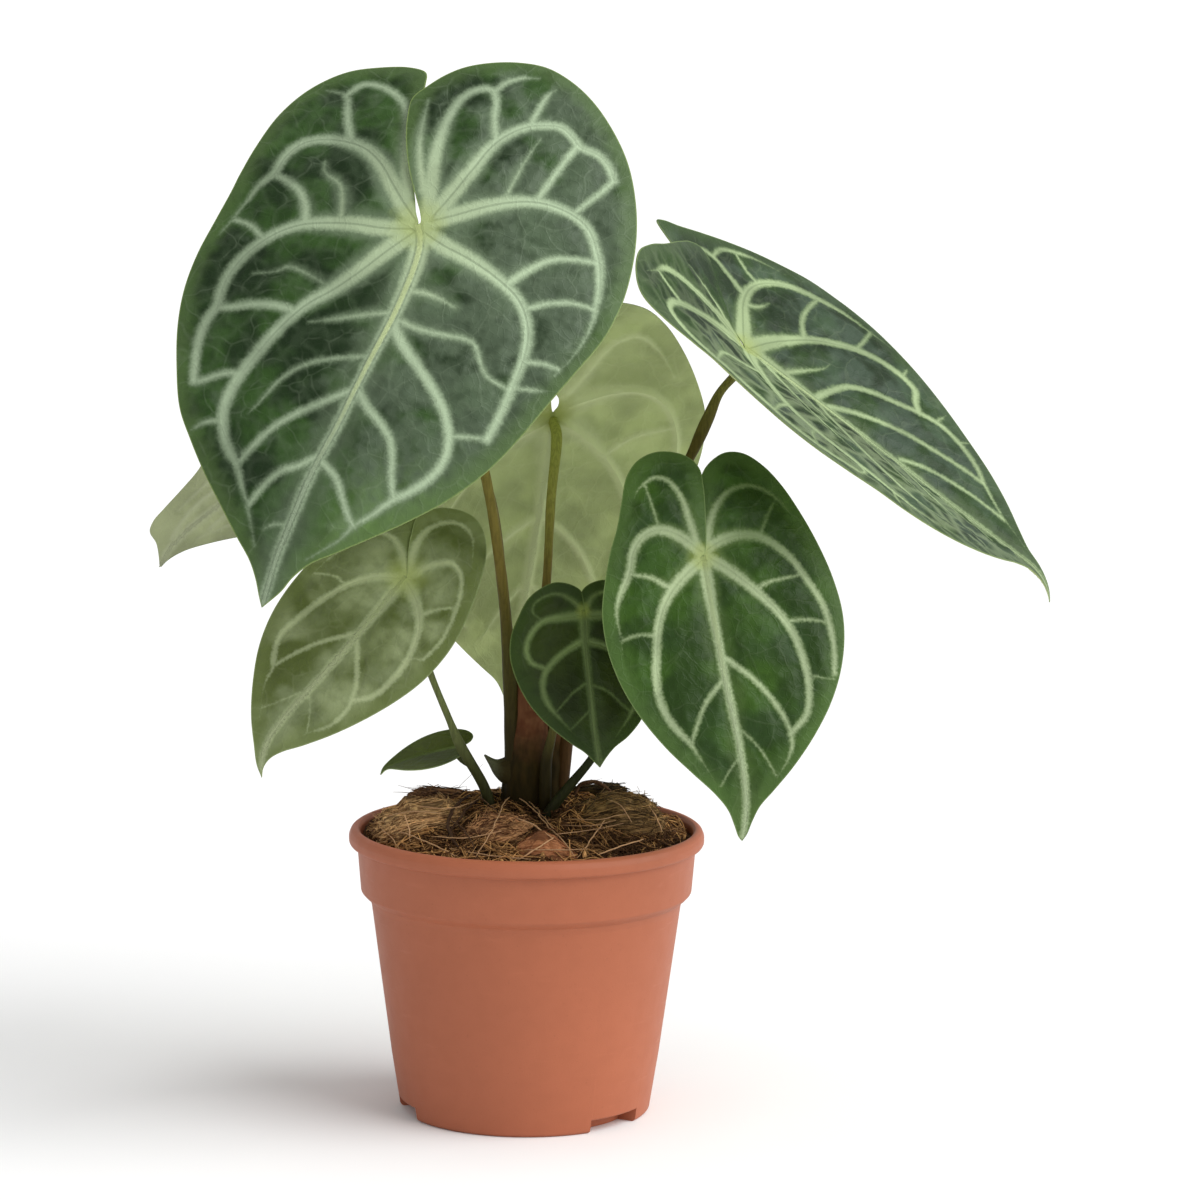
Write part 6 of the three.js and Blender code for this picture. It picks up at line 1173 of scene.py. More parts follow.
class Finish:
    """A material under construction."""

    def __init__(self, name):
        self.material = bpy.data.materials.new(name)
        self.material.use_nodes = True
        self.tree = self.material.node_tree
        self.tree.nodes.clear()

    def node(self, kind, settings=None, inputs=None, out=0):
        """Adds a node, sets it, fills its sockets by name or place, and gives one output."""
        made = self.tree.nodes.new(kind)
        for key, value in (settings or {}).items():
            if key == "stops":
                ramp = made.color_ramp.elements
                while len(ramp) < len(value):
                    ramp.new(1.0)
                for stop, (place, colour) in zip(ramp, value):
                    stop.position = place
                    stop.color = colour
            else:
                setattr(made, key, value)
        for key, value in (inputs or {}).items():
            if isinstance(value, Value):
                self.tree.links.new(value.socket, made.inputs[key])
            else:
                made.inputs[key].default_value = value
        return Value(self, made.outputs[out])

    def read(self, name, out="Fac"):
        """The piece's own attribute of that name."""
        return self.node("ShaderNodeAttribute", {"attribute_name": name}, out=out)

    def place(self, stretch=(1, 1, 1)):
        """Place on the object in millimetres, stretched along each axis."""
        where = self.node("ShaderNodeTexCoord", out="Object")
        scale = tuple(s / MM for s in stretch)
        return self.node("ShaderNodeVectorMath", {"operation": "MULTIPLY"}, {0: where, 1: scale})

    def noise(self, where, size, detail=2.0, out=0):
        """Soft noise about `size` long, around one half."""
        return self.node("ShaderNodeTexNoise", None,
                         {"Vector": where, "Scale": 1 / size, "Detail": detail}, out)

    def fade(self, value, low, high):
        """0 below low and 1 above high, smooth between them."""
        return self.node("ShaderNodeMapRange", {"interpolation_type": "SMOOTHSTEP"},
                         {"Value": value, "From Min": low, "From Max": high})

    def blend(self, share, a, b):
        """Colour a with a share of colour b."""
        return self.node("ShaderNodeMix", {"data_type": "RGBA"}, {0: share, 6: a, 7: b}, 2)

    def warp(self, where, noise_size, reach):
        """Places pushed about by noise."""
        drift = self.noise(where, noise_size, 1.0, 1)
        drift = self.node("ShaderNodeVectorMath", {"operation": "SUBTRACT"},
                          {0: drift, 1: (0.5,) * 3})
        drift = self.node("ShaderNodeVectorMath", {"operation": "SCALE"},
                          {0: drift, "Scale": 2 * reach})
        return self.node("ShaderNodeVectorMath", {"operation": "ADD"}, {0: where, 1: drift})

    def net(self, where, size, width):
        """Thin lines between cells about `size` across."""
        gap = self.node("ShaderNodeTexVoronoi", {"feature": "DISTANCE_TO_EDGE"},
                        {"Vector": where, "Scale": 1 / size}, "Distance")
        return 1 - self.fade(gap, 0.0, width / size)

    def surface(self, colour, roughness, height=None, depth=0.1, constants=None):
        """Ends the material in its shader, with bumps depth mm deep for a height of 1."""
        inputs = {"Base Color": colour, "Roughness": roughness, **(constants or {})}
        if height is not None:
            bump = {"Strength": 1.0, "Distance": depth * MM, "Height": height}
            inputs["Normal"] = self.node("ShaderNodeBump", None, bump)
        shader = self.node("ShaderNodeBsdfPrincipled", None, inputs)
        end = self.tree.nodes.new("ShaderNodeOutputMaterial")
        self.tree.links.new(shader.socket, end.inputs["Surface"])
        return self.material


def pot_finish(colour):
    """Terracotta-coloured plastic: cloudy tone, fine grain and faint scuffs round the wall."""
    f = Finish("terracotta_plastic")
    where = f.place()
    cloud = f.noise(where, 38, 3)
    mottle = f.noise(where, 6, 3)
    scuffs = f.fade(f.noise(f.place((0.35, 0.35, 2.6)), 5, 4), 0.6, 0.78)
    specks = f.fade(f.noise(where, 0.9, 1), 0.7, 0.76)
    base = f.blend(cloud, shade(colour, 0.93), shade(colour, 1.06))
    base = f.blend(f.fade(mottle, 0.35, 0.7) * 0.25, base, shade(colour, 0.88))
    base = f.blend(scuffs * 0.16, base, shade(colour, 1.25))
    base = f.blend(specks * 0.25, base, shade(colour, 0.6))
    grain = f.noise(where, 0.35, 2) + mottle * 0.6
    return f.surface(base, 0.46 + mottle * 0.14 - scuffs * 0.08, grain, 0.035,
                     {"Specular IOR Level": 0.35})


def shade(colour, k):
    """A linear colour made k times as bright."""
    return (*[min(1.0, c * k) for c in colour[:3]], 1.0)


def coir_finish(name, dark, light):
    """Coir: brown that runs from dark to light by a piece's own tone, with streaks and pits."""
    f = Finish(name)
    where = f.place()
    tone = f.read("tone")
    streaks = f.noise(f.warp(where, 3, 1), 0.8, 3)
    mix = f.fade(tone * 0.8 + streaks * 0.5 - 0.15, 0.0, 1.0)
    stops = [(0.0, tint(dark, 0.5)), (0.3, tint(dark)), (0.7, tint(light)), (1.0, tint(light, 1.5))]
    base = f.node("ShaderNodeValToRGB", {"stops": stops}, {0: mix})
    return f.surface(base, 0.75 + streaks * 0.2, streaks, 0.25, {"Specular IOR Level": 0.2})


def plain_soil_finish():
    """Potting mix: dark crumbs with paler flecks."""
    f = Finish("potting_soil")
    where = f.place()
    crumbs = f.noise(where, 2.2, 4)
    flecks = f.fade(f.noise(where, 1.2, 1), 0.64, 0.7)
    base = f.blend(crumbs, tint((26, 17, 11)), tint((66, 44, 28)))
    base = f.blend(flecks * 0.5, base, tint((128, 100, 66)))
    return f.surface(base, 0.85 + crumbs * 0.1, crumbs, 1.2, {"Specular IOR Level": 0.15})


def husk_finish(name, light, dark, turn):
    """Husk: pale and dark fibres that run the length of the chip, with pits between them."""
    f = Finish(name)
    where = f.node("ShaderNodeMapping", None,
                   {"Vector": f.place(), "Rotation": (0, 0, -turn * RAD)})
    run = f.node("ShaderNodeVectorMath", {"operation": "MULTIPLY"},
                 {0: f.warp(where, 5, 1.2), 1: (0.12, 1, 1)})
    fine = f.noise(run, 0.7, 3)
    broad = f.noise(run, 2.6, 2)
    patch = f.noise(where, 9, 2)
    strand = f.fade(fine, 0.36, 0.66)
    pits = f.fade(broad, 0.52, 0.36)
    base = f.blend(strand, tint(dark), tint(light))
    base = f.blend(f.fade(patch, 0.5, 0.72) * 0.5, base, tint(light, 1.35))
    base = f.blend(pits * 0.75, base, tint(dark, 0.4))
    return f.surface(base, 0.72 + fine * 0.2, fine * 0.6 + broad, 0.7, {"Specular IOR Level": 0.2})


def bark_finish():
    """Stem: dark bark with upright lines, nearly black at its foot, that turns to a papery
    reddish-brown sheath higher up."""
    f = Finish("stem_bark")
    where = f.place()
    upright = f.noise(f.place((1, 1, 0.3)), 2.2, 3)
    patch = f.noise(where, 6, 2)
    height = f.node("ShaderNodeSeparateXYZ", None, {0: where}, 2)
    base = f.blend(f.fade(upright, 0.2, 0.8), tint((34, 28, 8)), tint((56, 44, 18)))
    papery = f.blend(f.fade(upright, 0.2, 0.8), tint((92, 57, 36)), tint((124, 82, 56)))
    papery = f.blend(f.fade(patch, 0.5, 0.62) * 0.6, papery, tint((82, 44, 26)))
    base = f.blend(f.fade(height + patch * 16, 126, 146), base, papery)
    base = f.blend((1 - f.fade(height, 98, 120)) * 0.6, base, tint((20, 16, 4)))
    bumps = upright + patch * 0.4
    return f.surface(base, 0.6 + upright * 0.25, bumps, 0.3, {"Specular IOR Level": 0.08})


def sheath_finish():
    """Dry sheath: papery brown with dark lines along it and a darker point."""
    f = Finish("dry_sheath")
    lines = f.noise(f.place((0.25, 1.4, 0.8)), 0.8, 3)
    across = f.node("ShaderNodeSeparateXYZ", None, {0: f.place()}, 0)
    base = f.blend(lines, tint((64, 66, 46)), tint((116, 118, 90)))
    base = f.blend(f.fade(across + lines * 3, -10.5, -6), base, tint((56, 48, 24)))
    return f.surface(base, 0.7 + lines * 0.2, lines, 0.3, {"Specular IOR Level": 0.1})


def stalk_finish(name, stops):
    """Stalk: its own colours from foot to joint, with fine lines along it and flecks."""
    f = Finish(name)
    along = f.read("along")
    where = f.place()
    lines = f.noise(f.place((1, 1, 0.07)), 0.7, 3)
    flecks = f.fade(f.noise(where, 1.3, 2), 0.58, 0.68)
    wander = f.noise(where, 14, 2)
    base = f.node("ShaderNodeValToRGB", {"stops": [(p, tint(c)) for p, c in stops]},
                  {0: along + wander * 0.14 - 0.07})
    low = f.node("ShaderNodeValToRGB", {"stops": [(p, tint(c, 0.62)) for p, c in stops]},
                 {0: along})
    base = f.blend(f.fade(lines, 0.42, 0.62) * 0.55, base, low)
    base = f.blend(flecks * 0.35, base, low)
    return f.surface(base, 0.46 + lines * 0.2, lines, 0.12, {"Specular IOR Level": 0.1})


class BladeFinish(Finish):
    """Finish of a blade, with what its upper and lower face share. The blade carries its own
    measures in mm: `flat` is the place on the blade laid flat, x to the right and y towards the
    tip; `band` is the distance to the edge of the nearest pale band, negative inside it; `cord`,
    `groove` and `edge` are those to the midrib, to the middle of a main vein and to the margin;
    `run` is how far along its vein a place is. `spread` is the distance from the stalk, 1 at half
    the blade's width, and `upper` is 1 on the upper face."""

    def __init__(self, name, look, vein_light, panel_light):
        super().__init__(name)
        self.look = look
        self.vein_light = vein_light
        self.panel_light = panel_light
        self.flat = self.read("flat", "Vector")
        self.band, self.groove, self.cord = (self.read(key) for key in ("band", "groove", "cord"))
        self.edge, self.upper, self.spread = (self.read(key) for key in ("edge", "upper", "spread"))
        self.across, self.down = (self.node("ShaderNodeSeparateXYZ", None, {0: self.flat}, out)
                                  for out in (0, 1))
        self.fuzz = self.noise(self.flat, 0.9, 3)
        self.drift = self.noise(self.flat, 4.5, 2)
        self.broad = self.noise(self.flat, 21, 2)
        self.cloud = self.noise(self.flat, 12, 3)
        self.wide_net = self.net(self.warp(self.flat, 8, 2.2), 11.5, 0.55)
        self.fine_net = self.net(self.warp(self.flat, 3, 0.8), 2.6, 0.3)
        self.middle = 1 - self.fade(self.spread, 0.02, look["heart"])
        self.right = self.fade(self.across, -30, 40)
        self.heel = 1 - self.fade(self.spread + (self.drift - 0.5) * 0.1, 0.03, look["heel"])
        self.silver, self.mist = self.bands()

    def bands(self):
        """Share of the silver bands, frayed, wider round the stalk and fainter under the painted
        shade on the right lobe, and of the mist that feathers out from them over the panels."""
        look = self.look
        teeth = self.noise(self.node("ShaderNodeCombineXYZ", None, {0: self.read("run")}), 1.3, 3)
        ragged = self.band + (self.fuzz - 0.5) * look["fringe"] + (teeth - 0.5) * look["teeth"]
        ragged = ragged - self.middle * look["swell"] - look["widen"]
        # painted shade: the bands are dimmed on the right lobe
        shaded = self.fade(self.across, 0, 16) * (1 - self.fade(self.down, -14, 14)) * look["dusk"]
        silver = (1 - self.fade(ragged, -look["soft"], look["soft"])) * (1 - shaded)
        mist = 1 - self.fade(ragged + (self.drift - 0.5) * 1.6, -0.4,
                             (0.45 + self.middle) * look["mist"])
        return silver, mist

    def layer(self, base, share, key, light=1.0):
        """A colour with a share of one of the look's colours, `light` times as bright, over it."""
        return self.blend(share, base, tint(self.look[key], light))

    def panels(self):
        """Panels: patches of deep and lush green under a grey sheen, a painted reflection that
        leans towards the right half and the tip, then nets of finer lines, dark islands, a far side
        made paler with painted light, the margin's colour, and the mist."""
        look, light, drift, cloud = self.look, self.panel_light, self.drift, self.cloud
        faint_silver = 0.8 * self.vein_light
        base = tint(look["deep"], light)
        base = self.layer(base, self.fade(self.broad, 0.42, 0.6), "lush", light)
        # painted sheen: a grey reflection laid over the panels, stronger towards the right half and
        # the tip
        falling = self.fade(self.down, -25, 45) - 0.5
        leaning = (self.right - 0.5) * look["lean"]
        painted_sheen = self.fade(cloud + leaning + falling * look["fall"], 0.46, 0.66)
        base = self.layer(base, painted_sheen * look["sheen"], "sheen_grey", light)
        base = self.layer(base, self.fade(drift, 0.45, 0.7) * 0.3, "deep", 0.75 * light)
        base = self.layer(base, self.fine_net * look["net"] * 0.2, "halo", light)
        cells = self.net(self.warp(self.flat, 6, 2.4), 9, 1.8)
        base = self.layer(base, cells * look["cells"], "halo", light)
        isle = (self.fade(cloud, 0.46, 0.56) * self.fade(self.spread, 0.3, 0.7)
                * (1 - self.fade(self.down, 12, 50)))
        base = self.layer(base, isle * look["islands"], "deep", light)
        base = self.layer(base, self.long_net() * look["streak"], "silver", faint_silver)
        # painted light: the margin's colour, made 2.2 times as bright, over the far right of the
        # blade
        far = self.fade(self.spread + (drift - 0.5) * 0.4, 1, 1.7) * self.fade(self.across, 0, 25)
        base = self.layer(base, far * look["far"], "margin", 2.2 * light)
        border = 1 - self.fade(self.edge + (drift - 0.5) * 5, 0.5, 9)
        base = self.layer(base, border * look["border"], "margin", light)
        patchy_net = self.wide_net * self.fade(cloud + drift, 0.75, 1.1)
        base = self.layer(base, patchy_net * look["net"], "silver", faint_silver)
        ashen = 1 - self.fade(self.cord + (cloud - 0.5) * 9, 1.0, look["mist"] * 2.4)
        ashen = ashen * self.fade(self.spread, 0.1, 0.5) * look["haze"]
        base = self.layer(base, ashen * 0.6, "halo", 0.8 * light)
        return self.layer(base, self.mist * look["haze"], "halo", light)

    def long_net(self):
        """Net of cells drawn out towards the tip, on the left half and fainter in its lobe."""
        long = self.node("ShaderNodeVectorMath", {"operation": "MULTIPLY"},
                         {0: self.flat, 1: (1, 0.45, 1)})
        lines = self.net(self.warp(long, 7, 2), 6.5, 1.5) * (1 - self.fade(self.across, -4, 1))
        return lines * (self.fade(self.down, -30, 5) * 0.7 + 0.3)

    def upper_face(self):
        """Panels with the silver bands over them, a thin dark line in the main veins, the midrib as
        a bright cord with a shadow beside it, the yellow-green heel at the stalk, and a pale rim.
        Gives the share of the dark line too."""
        look, light, spread = self.look, self.vein_light, self.spread
        pale = self.layer(tint(look["silver"], 0.84 * light), self.fade(self.broad, 0.38, 0.64),
                          "silver", 1.16 * light)
        # painted light: the bands on the right half made brighter
        pale = self.layer(pale, self.right * look["shine"], "silver", 1.5 * light)
        pale = self.layer(pale, self.middle * 0.3, "cord", 0.8 * light)
        top = self.blend(self.silver * look["cover"], self.panels(), pale)
        dark_line = ((1 - self.fade(self.groove, 0.1, 0.6)) * self.silver
                     * self.fade(self.cord, 0.9, 2.2) * (1 - self.fade(spread, 0.55, 1.2)))
        top = self.layer(top, dark_line * look["line"], "halo", 0.62)
        thick = self.cord + self.fade(spread, 0.1, 1.7) * 0.5
        beside = self.fade(thick, 0.8, 1.2) * (1 - self.fade(thick, 1.2, 1.9))
        top = self.layer(top, beside * look["beside"], "halo", 0.75)
        bright = self.layer(tint(look["cord"], light), self.fade(spread, 0.5, 1.3),
                            "silver", 1.12 * light)
        top = self.blend((1 - self.fade(thick, 0.55, 1.15)) * look["thread"], top, bright)
        top = self.layer(top, self.heel * 0.45, "joint")
        rim = 1 - self.fade(self.edge + (self.fuzz - 0.5) * 0.4, 0.1, 0.5)
        return self.layer(top, rim * 0.7, "rim"), dark_line

    def lower_face(self):
        """Dull yellow-green with darker patches, lighter mist, nets and ribs, and the heel."""
        look = self.look
        low = tint(look["under"], 0.84)
        low = self.layer(low, self.fade(self.broad, 0.35, 0.65), "under", 1.16)
        patches = self.fade(self.noise(self.flat, 17, 2), 0.42, 0.62)
        low = self.layer(low, patches * 0.5, "under", 0.62)
        low = self.layer(low, self.mist * 0.5, "rib", 0.88)
        low = self.layer(low, self.wide_net * 0.1 + self.fine_net * 0.03, "rib")
        rib = 1 - self.fade(self.band + (self.fuzz - 0.5) * 0.6 - self.middle * 0.6, -1.3, 1.5)
        low = self.layer(low, rib * look["rib_share"], "rib")
        return self.layer(low, self.heel * 0.85, "joint", 0.8)


def leaf_finish(name, look, vein_light, panel_light):
    """Blade: the look's upper and lower face, with the finer lines and the fuzz of the bands in its
    bumps, and a duller lower face."""
    f = BladeFinish(name, look, vein_light, panel_light)
    top, dark_line = f.upper_face()
    base = f.blend(f.upper, f.lower_face(), top)
    bumps = (f.fuzz * 0.3 + f.fine_net * 0.3 + f.wide_net * 0.4 + f.silver * 0.2
             - dark_line * 0.7)
    roughness = 0.42 + f.fuzz * 0.1 + f.silver * 0.1 + (1 - f.upper) * 0.14
    return f.surface(base, roughness, bumps, 0.14, {"Specular IOR Level": 0.2})


def floor_finish():
    """Matt white studio floor."""
    f = Finish("white_floor")
    mottle = f.noise(f.place(), 60, 2)
    base = f.blend(mottle, (0.86, 0.86, 0.86, 1), (0.88, 0.88, 0.88, 1))
    return f.surface(base, 0.9, None, 0, {"Specular IOR Level": 0.0})


# What a blade's look holds, beside its colours: fringe and teeth are how far the bands' edges fray
# across and along a vein, soft their blur and widen their extra width, mist the reach of the mist,
# all in mm; heart is the spread of the pale heart round the stalk, swell how much it widens the
# bands, in mm, and heel the spread of the yellow-green spot in it; lean and fall turn the painted
# grey sheen, a reflection, towards the right half and the tip. The rest are shares from 0 to 1:
# sheen of that painted sheen, haze of the mist, net, cells, streak and islands of what lies in the
# panels, border of the margin's colour along the edge, far of the same colour made brighter as
# painted light on the far right, dusk of the painted shade on the right lobe, cover of the bands,
# shine of the painted light on the right ones, line, thread and beside of the dark line, the bright
# midrib and the painted shadow beside it, and rib_share of the ribs on the lower face.
BASE_LOOK = {
    "silver": (150, 166, 134), "halo": (98, 115, 86), "deep": (20, 44, 8), "lush": (42, 74, 18),
    "sheen_grey": (62, 77, 58), "cord": (192, 208, 152), "rim": (108, 128, 76), "margin": (54, 78, 36),
    "under": (170, 184, 126), "rib": (200, 212, 160), "joint": (150, 162, 70), "fringe": 1.4,
    "mist": 4.4, "sheen": 0.6, "haze": 0.8, "net": 0.08, "line": 0.35, "rib_share": 0.75,
    "heart": 0.7, "swell": 1.7, "border": 0.5, "cover": 0.92, "lean": 0.0, "teeth": 0.5,
    "dusk": 0.0, "widen": 0.0, "shine": 0.0, "soft": 1.0, "fall": 0.0, "cells": 0.0, "far": 0.0,
    "beside": 0.4, "thread": 0.95, "heel": 0.16, "islands": 0.0, "streak": 0.0,
}
LOOKS = {
    "large_left": {"silver": (146, 163, 134), "halo": (104, 121, 94), "deep": (20, 40, 12),
        "lush": (44, 72, 26), "sheen_grey": (80, 95, 74), "margin": (78, 102, 54), "rim": (128, 148, 84),
        "lean": 0.4, "sheen": 0.8, "net": 0.1, "shine": 0.9, "mist": 5.0, "border": 0.65,
        "soft": 1.4, "cells": 0.1, "far": 0.8, "swell": 1.4},
    "top_right": {"silver": (146, 164, 122), "deep": (16, 38, 6), "lush": (34, 60, 14),
        "sheen_grey": (74, 92, 76), "halo": (86, 106, 66), "sheen": 0.42, "mist": 2.8,
        "cord": (170, 188, 136), "margin": (60, 80, 44), "swell": 1.8, "lean": 0.1, "fall": 0.16,
        "streak": 0.5},
    "front_right": {"silver": (160, 176, 136), "deep": (32, 56, 8), "lush": (50, 80, 18),
        "sheen_grey": (50, 76, 42), "halo": (80, 102, 52), "sheen": 0.2, "mist": 2.6,
        "cord": (160, 176, 130), "margin": (72, 98, 46), "swell": 0.6, "line": 0.1, "net": 0.04,
        "dusk": 0.8, "border": 0.7, "fringe": 1.4, "teeth": 0.6, "widen": -0.35, "beside": 0.0},
    "front_centre": {"silver": (104, 122, 74), "deep": (28, 40, 4), "lush": (44, 58, 10),
        "sheen_grey": (42, 58, 18), "halo": (54, 72, 30), "sheen": 0.25, "mist": 2.2,
        "cord": (104, 122, 74), "rim": (98, 116, 62), "margin": (46, 66, 22), "swell": 0.8,
        "line": 0.0, "net": 0.03, "border": 0.7, "widen": -0.1, "fringe": 0.9, "teeth": 0.2,
        "beside": 0.1, "thread": 0.0},
    "lower_left": {"silver": (158, 168, 128), "deep": (80, 92, 44), "lush": (134, 145, 104),
        "sheen_grey": (132, 143, 108), "halo": (138, 150, 110), "sheen": 0.5, "mist": 2.0,
        "cord": (158, 170, 124), "rim": (134, 148, 98), "margin": (100, 113, 62), "swell": 0.6,
        "line": 0.0, "net": 0.1, "border": 0.75, "heel": 0.3, "islands": 0.6, "beside": 0.1,
        "widen": -0.2},
    "back_centre": {"heel": 0.22},
    "back_left": {"under": (160, 167, 128), "rib": (182, 188, 154), "rib_share": 0.6},
    "young": {"silver": (88, 102, 48), "deep": (60, 70, 20), "lush": (78, 88, 30),
        "sheen_grey": (76, 86, 34), "halo": (80, 94, 38), "cord": (108, 124, 66), "mist": 1.2,
        "sheen": 0.3, "swell": 0.1, "margin": (72, 84, 32), "net": 0.0},
}
# distance between a blade's points
BLADE_SPACING = {
    "large_left": 1.05, "top_right": 0.95, "front_right": 0.8, "front_centre": 0.7,
    "lower_left": 0.8, "back_centre": 1.1, "back_left": 0.9, "young": 0.45,
}

# studio: half width of the floor and direction of the key light, then the camera's frame, place,
# and its tilt down and roll
FLOOR_REACH = 20
KEY_FROM = (1, -0.34, 0.86)
FRAME_WIDTH = 36
CAMERA_AT = (0.024, -1.6, 0.4226)
CAMERA_DOWN = 8.81
CAMERA_ROLL = 0.55
CAMERA_FAR = 100


class AnthuriumPot(PropertyGroup):
    """Sizes and colour of the pot."""
    segments: IntProperty(name="Segments", description="Points round the pot", default=240, min=48)
    colour: FloatVectorProperty(name="Plastic", description="Colour of the pot's plastic", size=4,
                                subtype="COLOR", min=0, max=1, default=tint((166, 94, 64)))


class AnthuriumSoil(PropertyGroup):
    """Make-up of the mulch."""
    crumbs: IntProperty(name="Crumbs", description="Crumbs on the mulch", default=700, min=0)
    fibres: IntProperty(name="Fibres", description="Loose fibres on the mulch", default=2400, min=0)
    fibre_length: FloatProperty(name="Longest fibre", description="Length of the longest fibre",
                                default=0.034, unit="LENGTH")
    chip_fibres: IntProperty(name="Fibres on a chip", description="Fibres on each husk chip",
                             default=480, min=0)
    seed: IntProperty(name="Seed", description="Start of the random layout", default=5)


class AnthuriumLeaves(PropertyGroup):
    """Fineness and brightness of the blades."""
    fineness: FloatProperty(name="Fineness", description="Distance between a blade's points, as a "
                            "share of the usual one", default=1.0, min=0.5, max=4, subtype="FACTOR")
    veins: FloatProperty(name="Veins", description="Brightness of the pale veins", default=1.0,
                         min=0, max=2, subtype="FACTOR")
    panels: FloatProperty(name="Panels", description="Brightness of the panels between them",
                          default=1.0, min=0, max=2, subtype="FACTOR")


class AnthuriumStudio(PropertyGroup):
    """Light and camera."""
    sky: FloatProperty(name="Surround", description="Strength of the white surround", default=0.6)
    key: FloatProperty(name="Key light", description="Strength of the key light", default=3.3)
    softness: FloatProperty(name="Softness", description="Width of the key light in the sky",
                            default=62 * RAD, subtype="ANGLE")
    lens: FloatProperty(name="Lens", description="Focal length in millimetres on a 36 mm frame",
                        default=144.81)


GROUPS = {"anthurium_pot": AnthuriumPot, "anthurium_soil": AnthuriumSoil,
          "anthurium_leaves": AnthuriumLeaves, "anthurium_studio": AnthuriumStudio}


class ANTHURIUM_OT_pot(Operator):
    """Makes the plastic nursery pot"""
    bl_idname = "anthurium.pot"
    bl_label = "Pot"

    def execute(self, context):
        settings = context.scene.anthurium_pot
        rings = pot_rings(settings.segments)
        points = with_poles(rings, np.zeros(3), np.array([0, 0, POT_FLOOR]))
        piece("nursery_pot", points, ring_faces(*rings.shape[:2]),
              pot_finish(tuple(settings.colour)), ["pot"], sharp=40)
        return {"FINISHED"}


class ANTHURIUM_OT_mulch(Operator):
    """Makes the coir bed, its crumbs, fibres and strands, and finishes the mix under them"""
    bl_idname = "anthurium.mulch"
    bl_label = "Mulch"

    def execute(self, context):
        settings = context.scene.anthurium_soil
        random = np.random.default_rng(settings.seed)
        coir = coir_finish("coir", (82, 52, 26), (194, 146, 92))
        rings = bed_rings()
        points = with_poles(rings, rings[0].mean(0), rings[-1].mean(0))
        at = points[:, :2]
        # painted shade: the bed's tone darkens in the hollows
        tone = 0.16 + 0.12 * ripple(at, 9, 6) - 0.3 * hollow_share(*at.T)
        piece("coir_bed", points, ring_faces(*rings.shape[:2]), coir, ["coir_mulch"],
              {"tone": tone})
        self.crumbs(random, settings.crumbs, coir)
        fibres = settings.fibres
        paths = fibre_paths(random, fibres, settings.fibre_length / MM)
        radius = random.uniform(0.1, 0.26, fibres)
        # painted shade: fibres in the hollows are darker
        tone = random.beta(1.7, 1.7, fibres) * (1 - 0.75 * hollow_share(*paths[:, 3, :2].T))
        fibre_piece("coir_fibres", paths, radius, tone, LOOSE_TAPER, coir)
        self.strands()
        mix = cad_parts["potting_mix"]
        mix.data.materials.clear()
        mix.data.materials.append(plain_soil_finish())
        return {"FINISHED"}

    def crumbs(self, random, number, coir):
        """Crumbs as one piece, with painted shade that makes them darker in the hollows."""
        crumbs = crumb_points(random, number)
        count = crumbs.shape[1]
        hollow = hollow_share(*crumbs.mean(1)[:, :2].T)
        tone = np.repeat(random.uniform(0.02, 0.7, number) * (1 - 0.8 * hollow), count)
        faces = repeated(ring_faces(len(CRUMB_RISE), CRUMB_SIDES), number, count)
        piece("coir_crumbs", crumbs.reshape(-1, 3), faces, coir, floats={"tone": tone})

    def strands(self):
        """Single strands: tubes with a slight waver, thinner towards both ends."""
        coir = coir_finish("coir_strand", (80, 54, 34), (164, 128, 94))
        for number, (radius, tone, numbers) in enumerate(STRANDS):
            line = spline(np.reshape(numbers, (-1, 3)), 8)
            t = np.linspace(-1, 1, len(line))
            waver = [ripple(line, 6, 300 + number), ripple(line, 5, 400 + number), 0 * t]
            line = line + 0.25 * np.stack(waver, 1)
            points = tube(line, STRAND_THIN * radius * (1 - 0.5 * t ** 4), STRAND_SIDES)
            piece(f"coir_strand_{number}", points, ring_faces(len(line), STRAND_SIDES), coir,
                  floats={"tone": np.full(len(points), tone)})


class ANTHURIUM_OT_husk(Operator):
    """Makes the bigger husk chips with their fibres"""
    bl_idname = "anthurium.husk"
    bl_label = "Husk chips"

    def execute(self, context):
        most = context.scene.anthurium_soil.chip_fibres
        for seed, (name, chip) in enumerate(HUSK_CHIPS.items()):
            random = np.random.default_rng(100 + seed)
            light, dark = chip["light"], chip["dark"]
            rings = chip_rings(chip)
            points = with_poles(rings, rings[0].mean(0), rings[-1].mean(0))
            piece(f"husk_{name}", points, ring_faces(CHIP_RINGS, CHIP_SIDES),
                  husk_finish(f"husk_{name}", light, dark, chip["turn"]),
                  [f"husk_chip_{name}"])
            number = round(most * min(1, chip["rough"]) ** 2)
            paths = chip_fibres(chip, random, number)
            radius = random.uniform(0.1, 0.28, number)
            fibre_piece(f"husk_{name}_fibres", paths, radius, random.beta(2, 2, number), CHIP_TAPER,
                        coir_finish(f"husk_{name}_fibre", dark, light))
        return {"FINISHED"}


